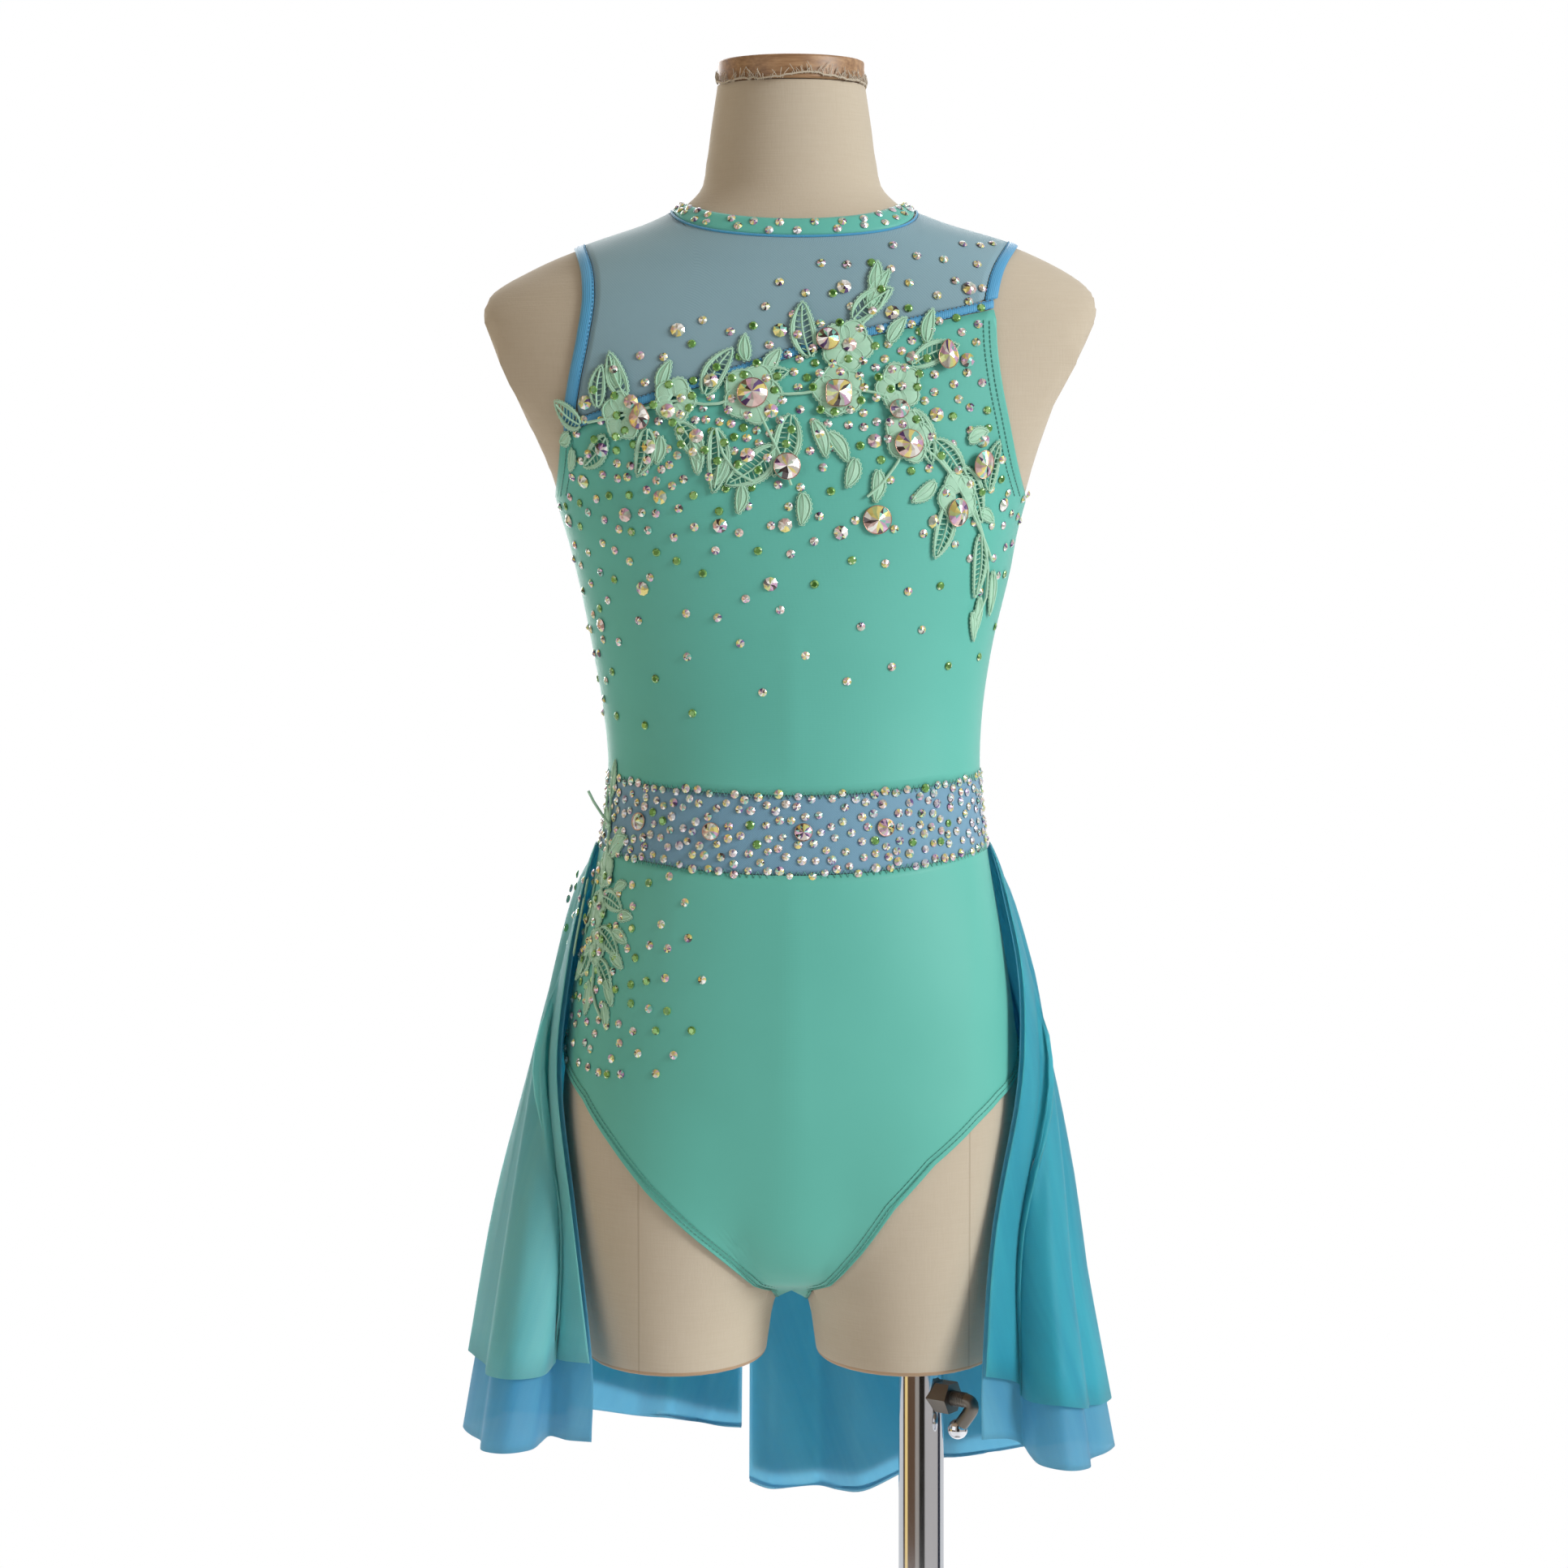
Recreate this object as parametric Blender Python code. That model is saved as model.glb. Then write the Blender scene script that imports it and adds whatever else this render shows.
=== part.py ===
# A lyrical dance costume on a limbless dress form: a sleeveless leotard with an asymmetric
# mesh yoke, a mesh waist insert and a two-layer skirt that opens at the front.
# The stand's foot is at the origin, +Z is up and the costume's front faces -Y.
# Tables and the form's own functions are in millimetres, and every mesh is written in metres.

import math

import bmesh
import bpy
import numpy as np
from mathutils import Vector

MM = 0.001
FORM_X = -72.0  # the form's centre line, beside the pole that carries it

CLEAR = 0.8  # form to cloth
FACET_CLEAR = 0.3  # form to the middle of a facet of cloth
MOST_STAND_OFF = 1.0  # most that a panel moves out to get it
FORM_TUCK = 0.5  # how far the form's mesh is drawn in under the cloth
CROTCH_TUCK = 2.8  # the same where the form hollows between torso and thighs
CLOTH = 1.2  # wall of a cloth panel
TRIM = 1.9  # wall of a binding or an elastic, which folds over the panel's edge
SEAM = 0.3  # gap at a seam
NECK_SEAM = 1.0  # gap at the neck binding, which curves in its own plane
SKIRT_CLOTH = 1.0
SKIRT_STEP = 1.7  # from one skirt layer's inner face to the next, at the seam
SKIRT_SPREAD = 1.2  # how much further apart they hang below
LACE = 1.4
CHEST_LACE_LIFT = CLEAR + TRIM + 0.9  # over the chest elastic
HIP_LACE_LIFT = CLEAR + CLOTH + 0.85  # over plain panels
STONE_SEAT = 0.35  # gap under a glued stone
SQUARE_CORNER = 1.3  # how far a square stone's corners reach, where a round one's reach 1
GIRDLE, TABLE, APEX = 0.14, 0.44, 0.52  # heights on a stone, for each unit of its half width

# The form from neck to crotch. plate is how far the section runs on past a flat armhole plate.
TORSO_COLUMNS = ("height", "half", "front", "back", "square", "lean", "plate")
TORSO = (
    (1231, 41.0, 40, 44, 2.0, 0.0, 1.00),
    (1207, 44.5, 42, 46, 2.0, 0.0, 1.00),
    (1189, 47.0, 44, 48, 2.0, 0.0, 1.00),
    (1171, 52.5, 48, 51, 2.0, 0.5, 1.00),
    (1162, 63.5, 51, 54, 2.0, 1.0, 1.00),
    (1153, 83.5, 54, 57, 2.0, 3.0, 1.00),
    (1144, 112.0, 57, 60, 2.0, 5.0, 1.00),
    (1135, 134.5, 60, 63, 2.1, 4.0, 1.00),
    (1126, 152.0, 62, 66, 2.2, 3.0, 1.00),
    (1117, 163.2, 65, 69, 2.3, 1.0, 1.02),
    (1108, 166.8, 67, 71, 2.4, -0.3, 1.06),
    (1081, 158.5, 73, 77, 2.5, -1.5, 1.14),
    (1054, 145.2, 78, 80, 2.5, -2.4, 1.14),
    (1027, 134.4, 82, 79, 2.4, -0.8, 1.08),
    (1009, 129.0, 83, 78, 2.4, 0.0, 1.02),
    (991, 125.0, 83, 76, 2.4, 0.0, 1.00),
    (964, 118.6, 80, 72, 2.3, 1.0, 1.00),
    (919, 108.5, 74, 66, 2.3, 0.5, 1.00),
    (883, 102.9, 71, 64, 2.2, 1.0, 1.00),
    (856, 101.2, 71, 65, 2.2, 1.5, 1.00),
    (811, 105.5, 75, 74, 2.2, 1.0, 1.00),
    (757, 115.0, 80, 88, 2.2, 0.5, 1.00),
    (717, 121.5, 82, 95, 2.2, 0.0, 1.00),
    (672, 124.0, 81, 96, 2.3, 0.0, 1.00),
    (650, 118.0, 79, 92, 2.3, 0.0, 1.00),
    (627, 104.0, 76, 85, 2.2, 0.0, 1.00),
    (604, 82.0, 71, 75, 2.0, 0.0, 1.00),
    (586, 52.0, 60, 58, 2.0, 0.0, 1.00),
    (572, 26.0, 40, 36, 2.0, 0.0, 1.00),
    (562, 8.0, 18, 16, 2.0, 0.0, 1.00),
)

# One thigh stump, mirrored for the other: an ellipse whose centre stands off the middle.
THIGH_COLUMNS = ("height", "centre", "half", "front", "back")
THIGH = (
    (700, 48.0, 66.0, 62, 66),
    (672, 50.0, 73.0, 71, 80),
    (650, 53.0, 73.0, 72, 82),
    (627, 56.0, 69.5, 72, 80),
    (604, 59.0, 64.5, 70, 76),
    (580, 61.5, 59.5, 68, 71),
    (568, 62.3, 57.0, 67, 69),
    (559, 63.5, 54.0, 66, 68),
    (545, 63.5, 51.5, 65, 66),
    (531, 63.5, 49.5, 64, 65),
)
THIGH_TOP = 700.0  # above this the thigh fades into the torso
PLATE_TOP = 1000.0  # the armhole plates lie above this
CROTCH_TOP = 580.0  # below this the torso fades out between the thighs
BLEND = 10.0  # how softly thigh and torso run together

# The costume's cut. Left is the wearer's right, at -X.
UNDERARM = 996.0
YOKE_SPREAD = 135.0  # half width that the upper panels are spread over
SPREAD_RISE = 34.0  # height over which that width is reached above the underarm
PANEL_CROWD = 1.9  # how far a panel's rows crowd towards the shoulder
BRIEF_CROWD = 1.35  # and the brief's towards the leg opening
ARMHOLE_COLUMNS = ("height", "left", "right", "back_left", "back_right")
ARMHOLE = (
    (1143, -121.0, 126.0, -121.0, 126.0),
    (1128, -114.5, 116.0, -116.0, 118.0),
    (1114, -112.5, 111.5, -114.0, 114.5),
    (1090, -115.0, 110.0, -115.0, 113.0),
    (1066, -119.5, 112.5, -119.0, 116.0),
    (1045, -122.5, 116.5, -122.0, 120.0),
    (1020, -125.2, 122.0, -125.5, 124.5),
    (1003, -128.4, 127.4, -128.4, 127.4),
)
ARMHOLE_MIDDLE = 1090.0
BINDING_LOW = {"left": 1020.0, "right": 1060.0}  # below where each armhole binding ends

# The chest seam: across, height.
DIAGONAL = (
    (-122.5, 1040.5),
    (-102.0, 1047.8),
    (-75.8, 1056.3),
    (-49.8, 1064.5),
    (-19.5, 1074.1),
    (2.6, 1081.5),
    (28.2, 1088.5),
    (52.1, 1094.2),
    (89.2, 1102.7),
    (109.6, 1107.3),
)
BACK_DIAGONAL = (
    (-122.3, 1042.0),
    (-60.0, 1058.0),
    (0.0, 1072.0),
    (60.0, 1090.0),
    (113.6, 1106.0),
)
NECK_SIDE, NECK_FRONT, NECK_BACK = 1164.5, 1153.5, 1172.0  # upper edge of the neck binding
NECK_LOW_SIDE, NECK_LOW_FRONT, NECK_LOW_BACK = 1160.8, 1144.2, 1161.5  # lower edge
ARM_BINDING = 6.5  # width
SEAM_ELASTIC = 4.4
WAIST_TOP, WAIST_LOW = (844.0, 851.0), (802.0, 812.0)  # height at centre front, at the side

# The leg openings: across, height.
LEG_LEFT = (
    (-122.4, 692.2),
    (-111.7, 677.2),
    (-96.9, 656.2),
    (-77.7, 632.3),
    (-54.6, 609.7),
    (-31.4, 589.0),
    (-17.0, 574.5),
)
LEG_RIGHT = (
    (122.4, 687.0),
    (111.5, 677.0),
    (99.6, 667.0),
    (75.5, 646.0),
    (54.6, 623.0),
    (38.7, 599.3),
    (22.3, 578.5),
)
LEG_BACK = (
    (118.0, 684.0),
    (104.0, 664.0),
    (86.0, 640.0),
    (64.0, 614.0),
    (42.0, 592.0),
    (20.0, 576.0),
)
BRIEF_FINE = 41  # sections that the brief's columns are read from
LEG_SIDE = 703.0  # height of the leg opening at the side seam
FAN = 640.0  # the brief's sections fan round a point at this height
GUSSET, GUSSET_LOW = 5.5, 566.0  # half width between the legs, and the height aimed at from FAN

# The skirt. Each row is a crest or a hollow of the under layer's hem, from the front edge to
# the split at the back, and lift is the height of the two hems above the floor.
HEM_COLUMNS = ("across", "depth", "under", "outer")
HEM_RIGHT = (
    (101, -84, 503, 534),
    (116, -71, 500, 529),
    (125, -63, 494, 522),
    (132, -80, 489, 519),
    (147, -90, 488, 518),
    (159, -76, 486, 514),
    (161, -52, 484, 510),
    (170, -40, 484, 508),
    (177, -14, 482, 506),
    (162, 14, 476, 500),
    (176, 48, 470, 490),
    (140, 62, 460, 474),
    (142, 104, 450, 462),
    (98, 98, 445, 455),
    (80, 132, 434, 444),
    (42, 113, 424, 432),
    (16, 136, 419, 427),
    (-10, 119, 423, 430),
    (-25, 127, 426, 432),
)
HEM_LEFT = (
    (-107, -66, 497, 537),
    (-120, -62, 497, 537),
    (-131, -54, 497, 536),
    (-138, -76, 496, 532),
    (-152, -86, 496, 531),
    (-165, -75, 495, 531),
    (-167, -52, 494, 531),
    (-174, -36, 493, 531),
    (-180, -10, 492, 530),
    (-162, 12, 491, 526),
    (-172, 50, 484, 512),
    (-130, 58, 480, 502),
    (-130, 102, 473, 492),
    (-92, 94, 470, 484),
    (-72, 126, 460, 472),
    (-48, 111, 461, 470),
    (-29, 126, 456, 464),
)
SKIRT_SIDE_ANGLE = 83.0  # where the skirt's front edge starts, from centre front
SKIRT_SPLIT = (193.1, 192.4)  # angle from centre front where left and right meet, in degrees
# How early the flare comes: the power of the height at the waist, and what the hem adds to it
SKIRT_FLARE = {"left": (0.57, 0.03), "right": (0.52, 0.1)}
SKIRT_SWING = 1.35  # how late the front edge swings forward
SKIRT_ROWS = (0.0, 0.1, 0.25, 0.46, 0.72, 1.0)
MITRE = 3.2  # most that a sharp fold's corner moves for each unit of its faces
SKIRT_STEPS = 2  # columns from a crest to the next hollow
SKIRT_CLEAR = 3.0  # from the form at the seam, over the brief
SKIRT_STAND = (3.0, 2.3)  # how much further left and right stand off below the hips

# Lace on the front of the body. Each leaf: across, height, turn in degrees, length, width.
CHEST_LEAVES = (
    (-112, 1043, 150, 24, 12),
    (-103, 1052, 80, 22, 11),
    (-98, 1036, 215, 26, 12),
    (-88, 1057, 115, 26, 12),
    (-76, 1040, 250, 26, 12),
    (-60, 1043, 300, 24, 12),
    (-46, 1058, 60, 28, 12),
    (-40, 1040, 265, 34, 12),
    (-30, 1060, 20, 30, 12),
    (10, 1078, 100, 30, 13),
    (0, 1047, 250, 34, 14),
    (-8, 1030, 215, 34, 15),
    (33, 1098, 40, 26, 13),
    (64, 1074, 20, 30, 12),
    (64, 1050, 290, 30, 13),
    (76, 1034, 310, 32, 13),
    (90, 1020, 300, 34, 14),
    (84, 1002, 250, 32, 13),
    (104, 1008, 70, 28, 12),
    (100, 984, 265, 34, 13),
    (107, 964, 275, 24, 9),
)

# Across, height, radius.
CHEST_BLOSSOMS = (
    (-90, 1047, 13),
    (-62, 1055, 12),
    (-21, 1058, 16),
    (25, 1060, 14),
    (30, 1084, 14),
    (57, 1062, 13),
    (62, 1036, 14),
    (88, 1004, 14),
)
CHEST_STEM = (
    (-108, 1044),
    (-90, 1047),
    (-62, 1055),
    (-42, 1052),
    (-21, 1058),
    (4, 1058),
    (25, 1062),
    (50, 1058),
    (62, 1036),
    (80, 1022),
    (90, 1006),
    (98, 990),
    (106, 970),
)
HIP_LEAVES = (
    (-96, 840, 75, 20, 8),
    (-97, 824, 150, 18, 9),
    (-97, 808, 30, 22, 9),
    (-102, 800, 190, 20, 10),
    (-100, 786, 345, 22, 10),
    (-106, 780, 210, 22, 10),
    (-102, 768, 330, 24, 11),
    (-107, 760, 235, 22, 11),
    (-103, 752, 315, 22, 10),
)
HIP_BLOSSOMS = ((-99, 800, 10), (-103, 779, 10), (-104, 759, 10))
HIP_STEM = ((-96, 842), (-97, 822), (-99, 800), (-103, 779), (-104, 759), (-106, 736))
STEM_WIDTH = 5.0
LEAF_OPEN = 13  # leaves this wide or wider are open on one side of the vein
LACE_SLICE = (16.0, 26.0)  # the plates bend at lines this far apart, across and up
STALK = 2.6
LACE_END = 1.36  # how far round the side lace may reach, in radians from centre front

# Large stones: across, height, half width, half height, kind, and 1 where lace lies under it.
STONES = (
    (-80.1, 1045.9, 5.4, 7.0, "drop", 1),
    (-20.7, 1058.4, 8.0, 8.0, "round", 1),
    (25.1, 1058.4, 6.7, 7.2, "square", 1),
    (19.5, 1087.2, 6.0, 6.0, "round", 1),
    (-2.2, 1019.9, 7.0, 7.0, "round", 1),
    (45.3, 991.9, 7.6, 7.6, "round", 0),
    (61.8, 1032.0, 7.6, 7.6, "round", 1),
    (101.0, 1022.2, 5.8, 7.6, "oval", 1),
    (83.3, 1078.6, 5.4, 7.9, "drop", 1),
    (57.1, 1050.2, 5.0, 5.0, "round", 1),
    (86.9, 996.1, 5.9, 7.4, "oval", 1),
    (-81.2, 827.9, 4.6, 4.6, "round", 0),
    (-42.5, 824.6, 4.6, 4.6, "round", 0),
    (6.5, 824.7, 4.6, 4.6, "round", 0),
    (50.0, 826.6, 4.6, 4.6, "round", 0),
)

# Stand
CAP_RADIUS, CAP_LOW, CAP_TOP, CAP_DOME, CAP_EDGE = 40.5, 1231.4, 1244.5, 3.0, 1.4
TUBE, TUBE_BORE, ROD = 12.5, 11.2, 10.6  # radii
ROD_BORE = 11.1
FORM_FOOT = 531.0
FORM_LEVELS = (1231, 1207, 1189, 1172, 1163, 1156, 1148, 1140, 1130, 1118, 1105, 1082, 1054, 1030, 1006,
               980, 950, 920, 895, 872, 850, 828, 800, 765, 725, 690, 660, 632, 608, 590, 576)
THIGH_LEVELS = ((566.0, CROTCH_TUCK), (548.0, 0.0), (534.5, 0.0), (532.0, 1.2), (FORM_FOOT, 4.0))
ROD_TOP, ROD_LOW = 660.0, 190.0
BORE_REST, BORE_RUN = 0.4, 40.0  # the bore above the rod's end, and the cutter's run below the form
BASE, BASE_THICK = 168.0, 7.0
BOSS, BOSS_TOP = 24.0, 40.0
CLAMP_HEIGHT, CLAMP_TURN = 507.0, -35.0  # the clamp screw's height and its bearing from +X
NUT_ACROSS, NUT_START, NUT_END = 16.0, 9.0, 21.0
SCREW = 3.9  # radius
SCREW_END, SCREW_REACH, HANDLE = 10.95, 37.0, 21.0
HANDLE_WAY = (-0.62, -0.785)  # the bent end runs back towards the tube, and down
BALL = 5.4


def column(table, names, name):
    """One column of a table as an array."""
    at = names.index(name)
    return np.array([row[at] for row in table], float)


def through(xs, ys):
    """A smooth curve through the points, as a function; xs may run either way."""
    xs, ys = np.asarray(xs, float), np.asarray(ys, float)
    if xs[0] > xs[-1]:
        xs, ys = xs[::-1], ys[::-1]
    slopes = np.gradient(ys, xs)

    def at(x):
        x = np.clip(x, xs[0], xs[-1])
        i = np.clip(np.searchsorted(xs, x) - 1, 0, len(xs) - 2)
        step = xs[i + 1] - xs[i]
        t = (x - xs[i]) / step
        near = (2 * t**3 - 3 * t**2 + 1) * ys[i] + (t**3 - 2 * t**2 + t) * step * slopes[i]
        far = (3 * t**2 - 2 * t**3) * ys[i + 1] + (t**3 - t**2) * step * slopes[i + 1]
        return near + far

    return at


def table_curves(table, names):
    """A smooth curve against the first column for each of the other columns."""
    first = column(table, names, names[0])
    return {name: through(first, column(table, names, name)) for name in names[1:]}


torso = table_curves(TORSO, TORSO_COLUMNS)
thigh = table_curves(THIGH, THIGH_COLUMNS)
armhole = table_curves(ARMHOLE, ARMHOLE_COLUMNS)


def torso_gap(x, y, z, plates):
    """Roughly how far a point lies outside the torso, negative inside; plates flattens the arm ends."""
    wide = torso["half"](z) * torso["plate"](z)
    deep = np.where(y < 0, torso["front"](z), torso["back"](z))
    square = torso["square"](z)
    off = x - torso["lean"](z)
    reach = ((np.abs(off) / wide) ** square + (np.abs(y) / deep) ** square) ** (1 / square)
    gap = (reach - 1) * np.minimum(wide, deep) + 1.2 * np.maximum(CROTCH_TOP - z, 0)
    if not plates:
        return gap
    return np.where(z > PLATE_TOP, np.maximum(gap, np.abs(off) - torso["half"](z)), gap)


def thigh_gap(x, y, z, side):
    """The same for one thigh; side is -1 or 1."""
    deep = np.where(y < 0, thigh["front"](z), thigh["back"](z))
    wide = thigh["half"](z)
    reach = np.sqrt(((x - side * thigh["centre"](z)) / wide) ** 2 + (y / deep) ** 2)
    return (reach - 1) * np.minimum(wide, deep) + np.maximum(z - THIGH_TOP, 0)


def soft_least(a, b):
    h = np.clip(0.5 + 0.5 * (b - a) / BLEND, 0, 1)
    return b * (1 - h) + a * h - BLEND * h * (1 - h)


def gap(points, plates=False):
    """Roughly how far points lie outside the whole form."""
    x, y, z = points[..., 0], points[..., 1], points[..., 2]
    legs = soft_least(thigh_gap(x, y, z, 1), thigh_gap(x, y, z, -1))
    body = torso_gap(x, y, z, plates)
    return np.where(z < THIGH_TOP + 4 * BLEND, soft_least(legs, body), body)


def outward(points):
    """The form's outward direction at points near it."""
    step = 0.4
    parts = []
    for axis in range(3):
        shift = np.zeros(3)
        shift[axis] = step
        parts.append(gap(points + shift) - gap(points - shift))
    normal = np.stack(parts, axis=-1)
    return normal / np.linalg.norm(normal, axis=-1, keepdims=True)


def hit(start, way, reach=260.0, steps=65, plates=False):
    """The first place where rays from inside the form come out of it."""
    start, way = np.broadcast_arrays(np.asarray(start, float), np.asarray(way, float))
    marks = np.linspace(0, reach, steps)
    outside = np.stack([gap(start + way * m, plates) > 0 for m in marks])
    first = np.argmax(outside, axis=0)
    low = marks[np.maximum(first - 1, 0)]
    high = marks[first]
    for _ in range(26):
        middle = (low + high) / 2
        out = gap(start + way * middle[..., None], plates) > 0
        low, high = np.where(out, low, middle), np.where(out, middle, high)
    return start + way * ((low + high) / 2)[..., None]


def ring(angles, heights, plates=False):
    """Points of the form's surface at angles from centre front, +X first, and heights."""
    angles, heights = np.broadcast_arrays(np.radians(angles), np.asarray(heights, float))
    deep = np.where(np.cos(angles) > 0, torso["front"](heights), torso["back"](heights))
    wide = torso["half"](heights) * torso["plate"](heights)
    way = np.stack([np.sin(angles) * wide, -np.cos(angles) * deep, np.zeros_like(deep)], axis=-1)
    way = way / np.linalg.norm(way, axis=-1, keepdims=True)
    start = np.stack([torso["lean"](heights), np.zeros_like(deep), heights], axis=-1)
    return hit(start, way, plates=plates)


def facing(across, heights, side):
    """Points of the form's front (side -1) or back (side 1), from across and height."""
    across, heights = np.broadcast_arrays(np.asarray(across, float), np.asarray(heights, float))
    start = np.stack([across, np.zeros_like(across), heights], axis=-1)
    return hit(start, np.array([0.0, float(side), 0.0]))


def shares(count, power=1.0):
    """Even shares from 0 to 1, or crowded towards 1 by a power above 1."""
    return 1 - (1 - np.linspace(0, 1, count)) ** power


def evenly(points, count, power=1.0):
    """The polyline's points resampled at those shares of its length."""
    points = np.asarray(points, float)
    lengths = np.concatenate([[0], np.cumsum(np.linalg.norm(np.diff(points, axis=0), axis=1))])
    wanted = shares(count, power) * lengths[-1]
    return np.stack([np.interp(wanted, lengths, points[:, i]) for i in range(points.shape[1])], axis=1)


def patch(left, right, low, top, rows, power=1.0):
    """A grid inside four border lines; left and right run upwards, low and top from left to right."""
    left, right = evenly(left, rows, power), evenly(right, rows, power)
    s = np.linspace(0, 1, len(low))[None, :, None]
    t = shares(rows, power)[:, None, None]
    across = (1 - s) * left[:, None, :] + s * right[:, None, :]
    along = (1 - t) * low[None, :, :] + t * top[None, :, :]
    corners = (1 - t) * ((1 - s) * low[0] + s * low[-1]) + t * ((1 - s) * top[0] + s * top[-1])
    return across + along - corners


def between(points, distance, side=0):
    """Points moved out from the form, and kept to one side of the side seams where side is -1 or 1."""
    moved = points + outward(points) * distance
    if side:
        moved[..., 1] = side * np.maximum(side * moved[..., 1], SEAM / 2 + 0.05)
    return moved


def material(name, colour, roughness, metallic=0.0):
    made = bpy.data.materials.new(name)
    made.use_nodes = True
    shader = made.node_tree.nodes["Principled BSDF"]
    shader.inputs["Base Color"].default_value = (*colour, 1.0)
    shader.inputs["Roughness"].default_value = roughness
    shader.inputs["Metallic"].default_value = metallic
    return made


def finish(name, mesh, surface, smooth=True, recalculate=True):
    """An object from a bmesh, which is used up."""
    if recalculate:
        bmesh.ops.recalc_face_normals(mesh, faces=mesh.faces)
    data = bpy.data.meshes.new(name)
    mesh.to_mesh(data)
    mesh.free()
    if smooth:
        data.shade_smooth()
        data.set_sharp_from_angle(angle=math.radians(40))
    data.materials.append(surface)
    made = bpy.data.objects.new(name, data)
    bpy.context.scene.collection.objects.link(made)
    return made


def add_points(mesh, points, shift=FORM_X):
    """Vertices for an array of points, returned in the array's own shape."""
    flat = points.reshape(-1, 3)
    made = [mesh.verts.new(((p[0] + shift) * MM, p[1] * MM, p[2] * MM)) for p in flat]
    return np.array(made, dtype=object).reshape(points.shape[:-1])


def wall(name, inner, outer, surface, closed=False, split=False):
    """A closed wall between two grids of points; closed joins the last column to the first.

    With split, every face is cut along its shorter diagonal, so that layers keep apart.
    """
    mesh = bmesh.new()
    sides = [add_points(mesh, inner), add_points(mesh, outer)]
    rows, columns = inner.shape[:2]
    last = columns if closed else columns - 1
    for grid, points in zip(sides, (inner, outer)):
        for i in range(rows - 1):
            for j in range(last):
                k = (j + 1) % columns
                a, b, c, d = grid[i, j], grid[i, k], grid[i + 1, k], grid[i + 1, j]
                one = math.dist(points[i, j], points[i + 1, k])
                other = math.dist(points[i, k], points[i + 1, j])
                if split and one > other:
                    a, b, c, d = b, c, d, a
                for face in ((a, b, c), (a, c, d)) if split else ((a, b, c, d),):
                    mesh.faces.new(face)
    within, without = sides
    for i in (0, rows - 1):
        for j in range(last):
            k = (j + 1) % columns
            mesh.faces.new((within[i, j], within[i, k], without[i, k], without[i, j]))
    if not closed:
        for j in (0, columns - 1):
            for i in range(rows - 1):
                mesh.faces.new((within[i, j], within[i + 1, j], without[i + 1, j], without[i, j]))
    return finish(name, mesh, surface)


def stood_off(points, closed):
    """How far each point moves out beyond CLEAR so that no facet between the points cuts the form."""
    more = np.zeros(points.shape[:2])
    for _ in range(3):
        grid = points + outward(points) * (CLEAR + more)[..., None]
        if closed:
            grid = np.concatenate([grid, grid[:, :1]], axis=1)
        corners = (grid[:-1, :-1], grid[:-1, 1:], grid[1:, :-1], grid[1:, 1:])
        middles = [(a + b) / 2 for i, a in enumerate(corners) for b in corners[i + 1:]]
        least = np.min([gap(middle) for middle in middles], axis=0)
        lack = np.maximum(FACET_CLEAR - least, 0)
        if closed:
            lack = np.concatenate([lack[:, -1:], lack], axis=1)
            worst = np.maximum(lack[:, :-1], lack[:, 1:])
        else:
            worst = np.pad(lack, ((0, 0), (1, 1)), mode="edge")
            worst = np.maximum(worst[:, :-1], worst[:, 1:])
        worst = np.pad(worst, ((1, 1), (0, 0)), mode="edge")
        more += np.maximum(worst[:-1], worst[1:])
    return np.minimum(more, MOST_STAND_OFF)


def panel(name, points, surface, side=0, thickness=CLOTH, closed=False):
    """A cloth panel's wall over points of the form."""
    more = stood_off(points, closed)[..., None]
    inner = between(points, CLEAR + more, side)
    return wall(name, inner, between(points, CLEAR + more + thickness, side), surface, closed)


def turned(name, profile, surface, sides, centre=(0.0, 0.0)):
    """A turned piece: (radius, height) points, closed on the axis or back to the first point."""
    mesh = bmesh.new()
    verts = [mesh.verts.new((r * MM, 0, z * MM)) for r, z in profile]
    on_axis = profile[0][0] == 0
    pairs = zip(verts, verts[1:] if on_axis else verts[1:] + verts[:1])
    edges = [mesh.edges.new(pair) for pair in pairs]
    bmesh.ops.spin(mesh, geom=verts + edges, cent=(0, 0, 0), axis=(0, 0, 1),
                   angle=2 * math.pi, steps=sides, use_merge=True)
    bmesh.ops.remove_doubles(mesh, verts=mesh.verts, dist=1e-6)
    bmesh.ops.translate(mesh, verts=mesh.verts, vec=(centre[0] * MM, centre[1] * MM, 0))
    return finish(name, mesh, surface)


# The dress form

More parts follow.
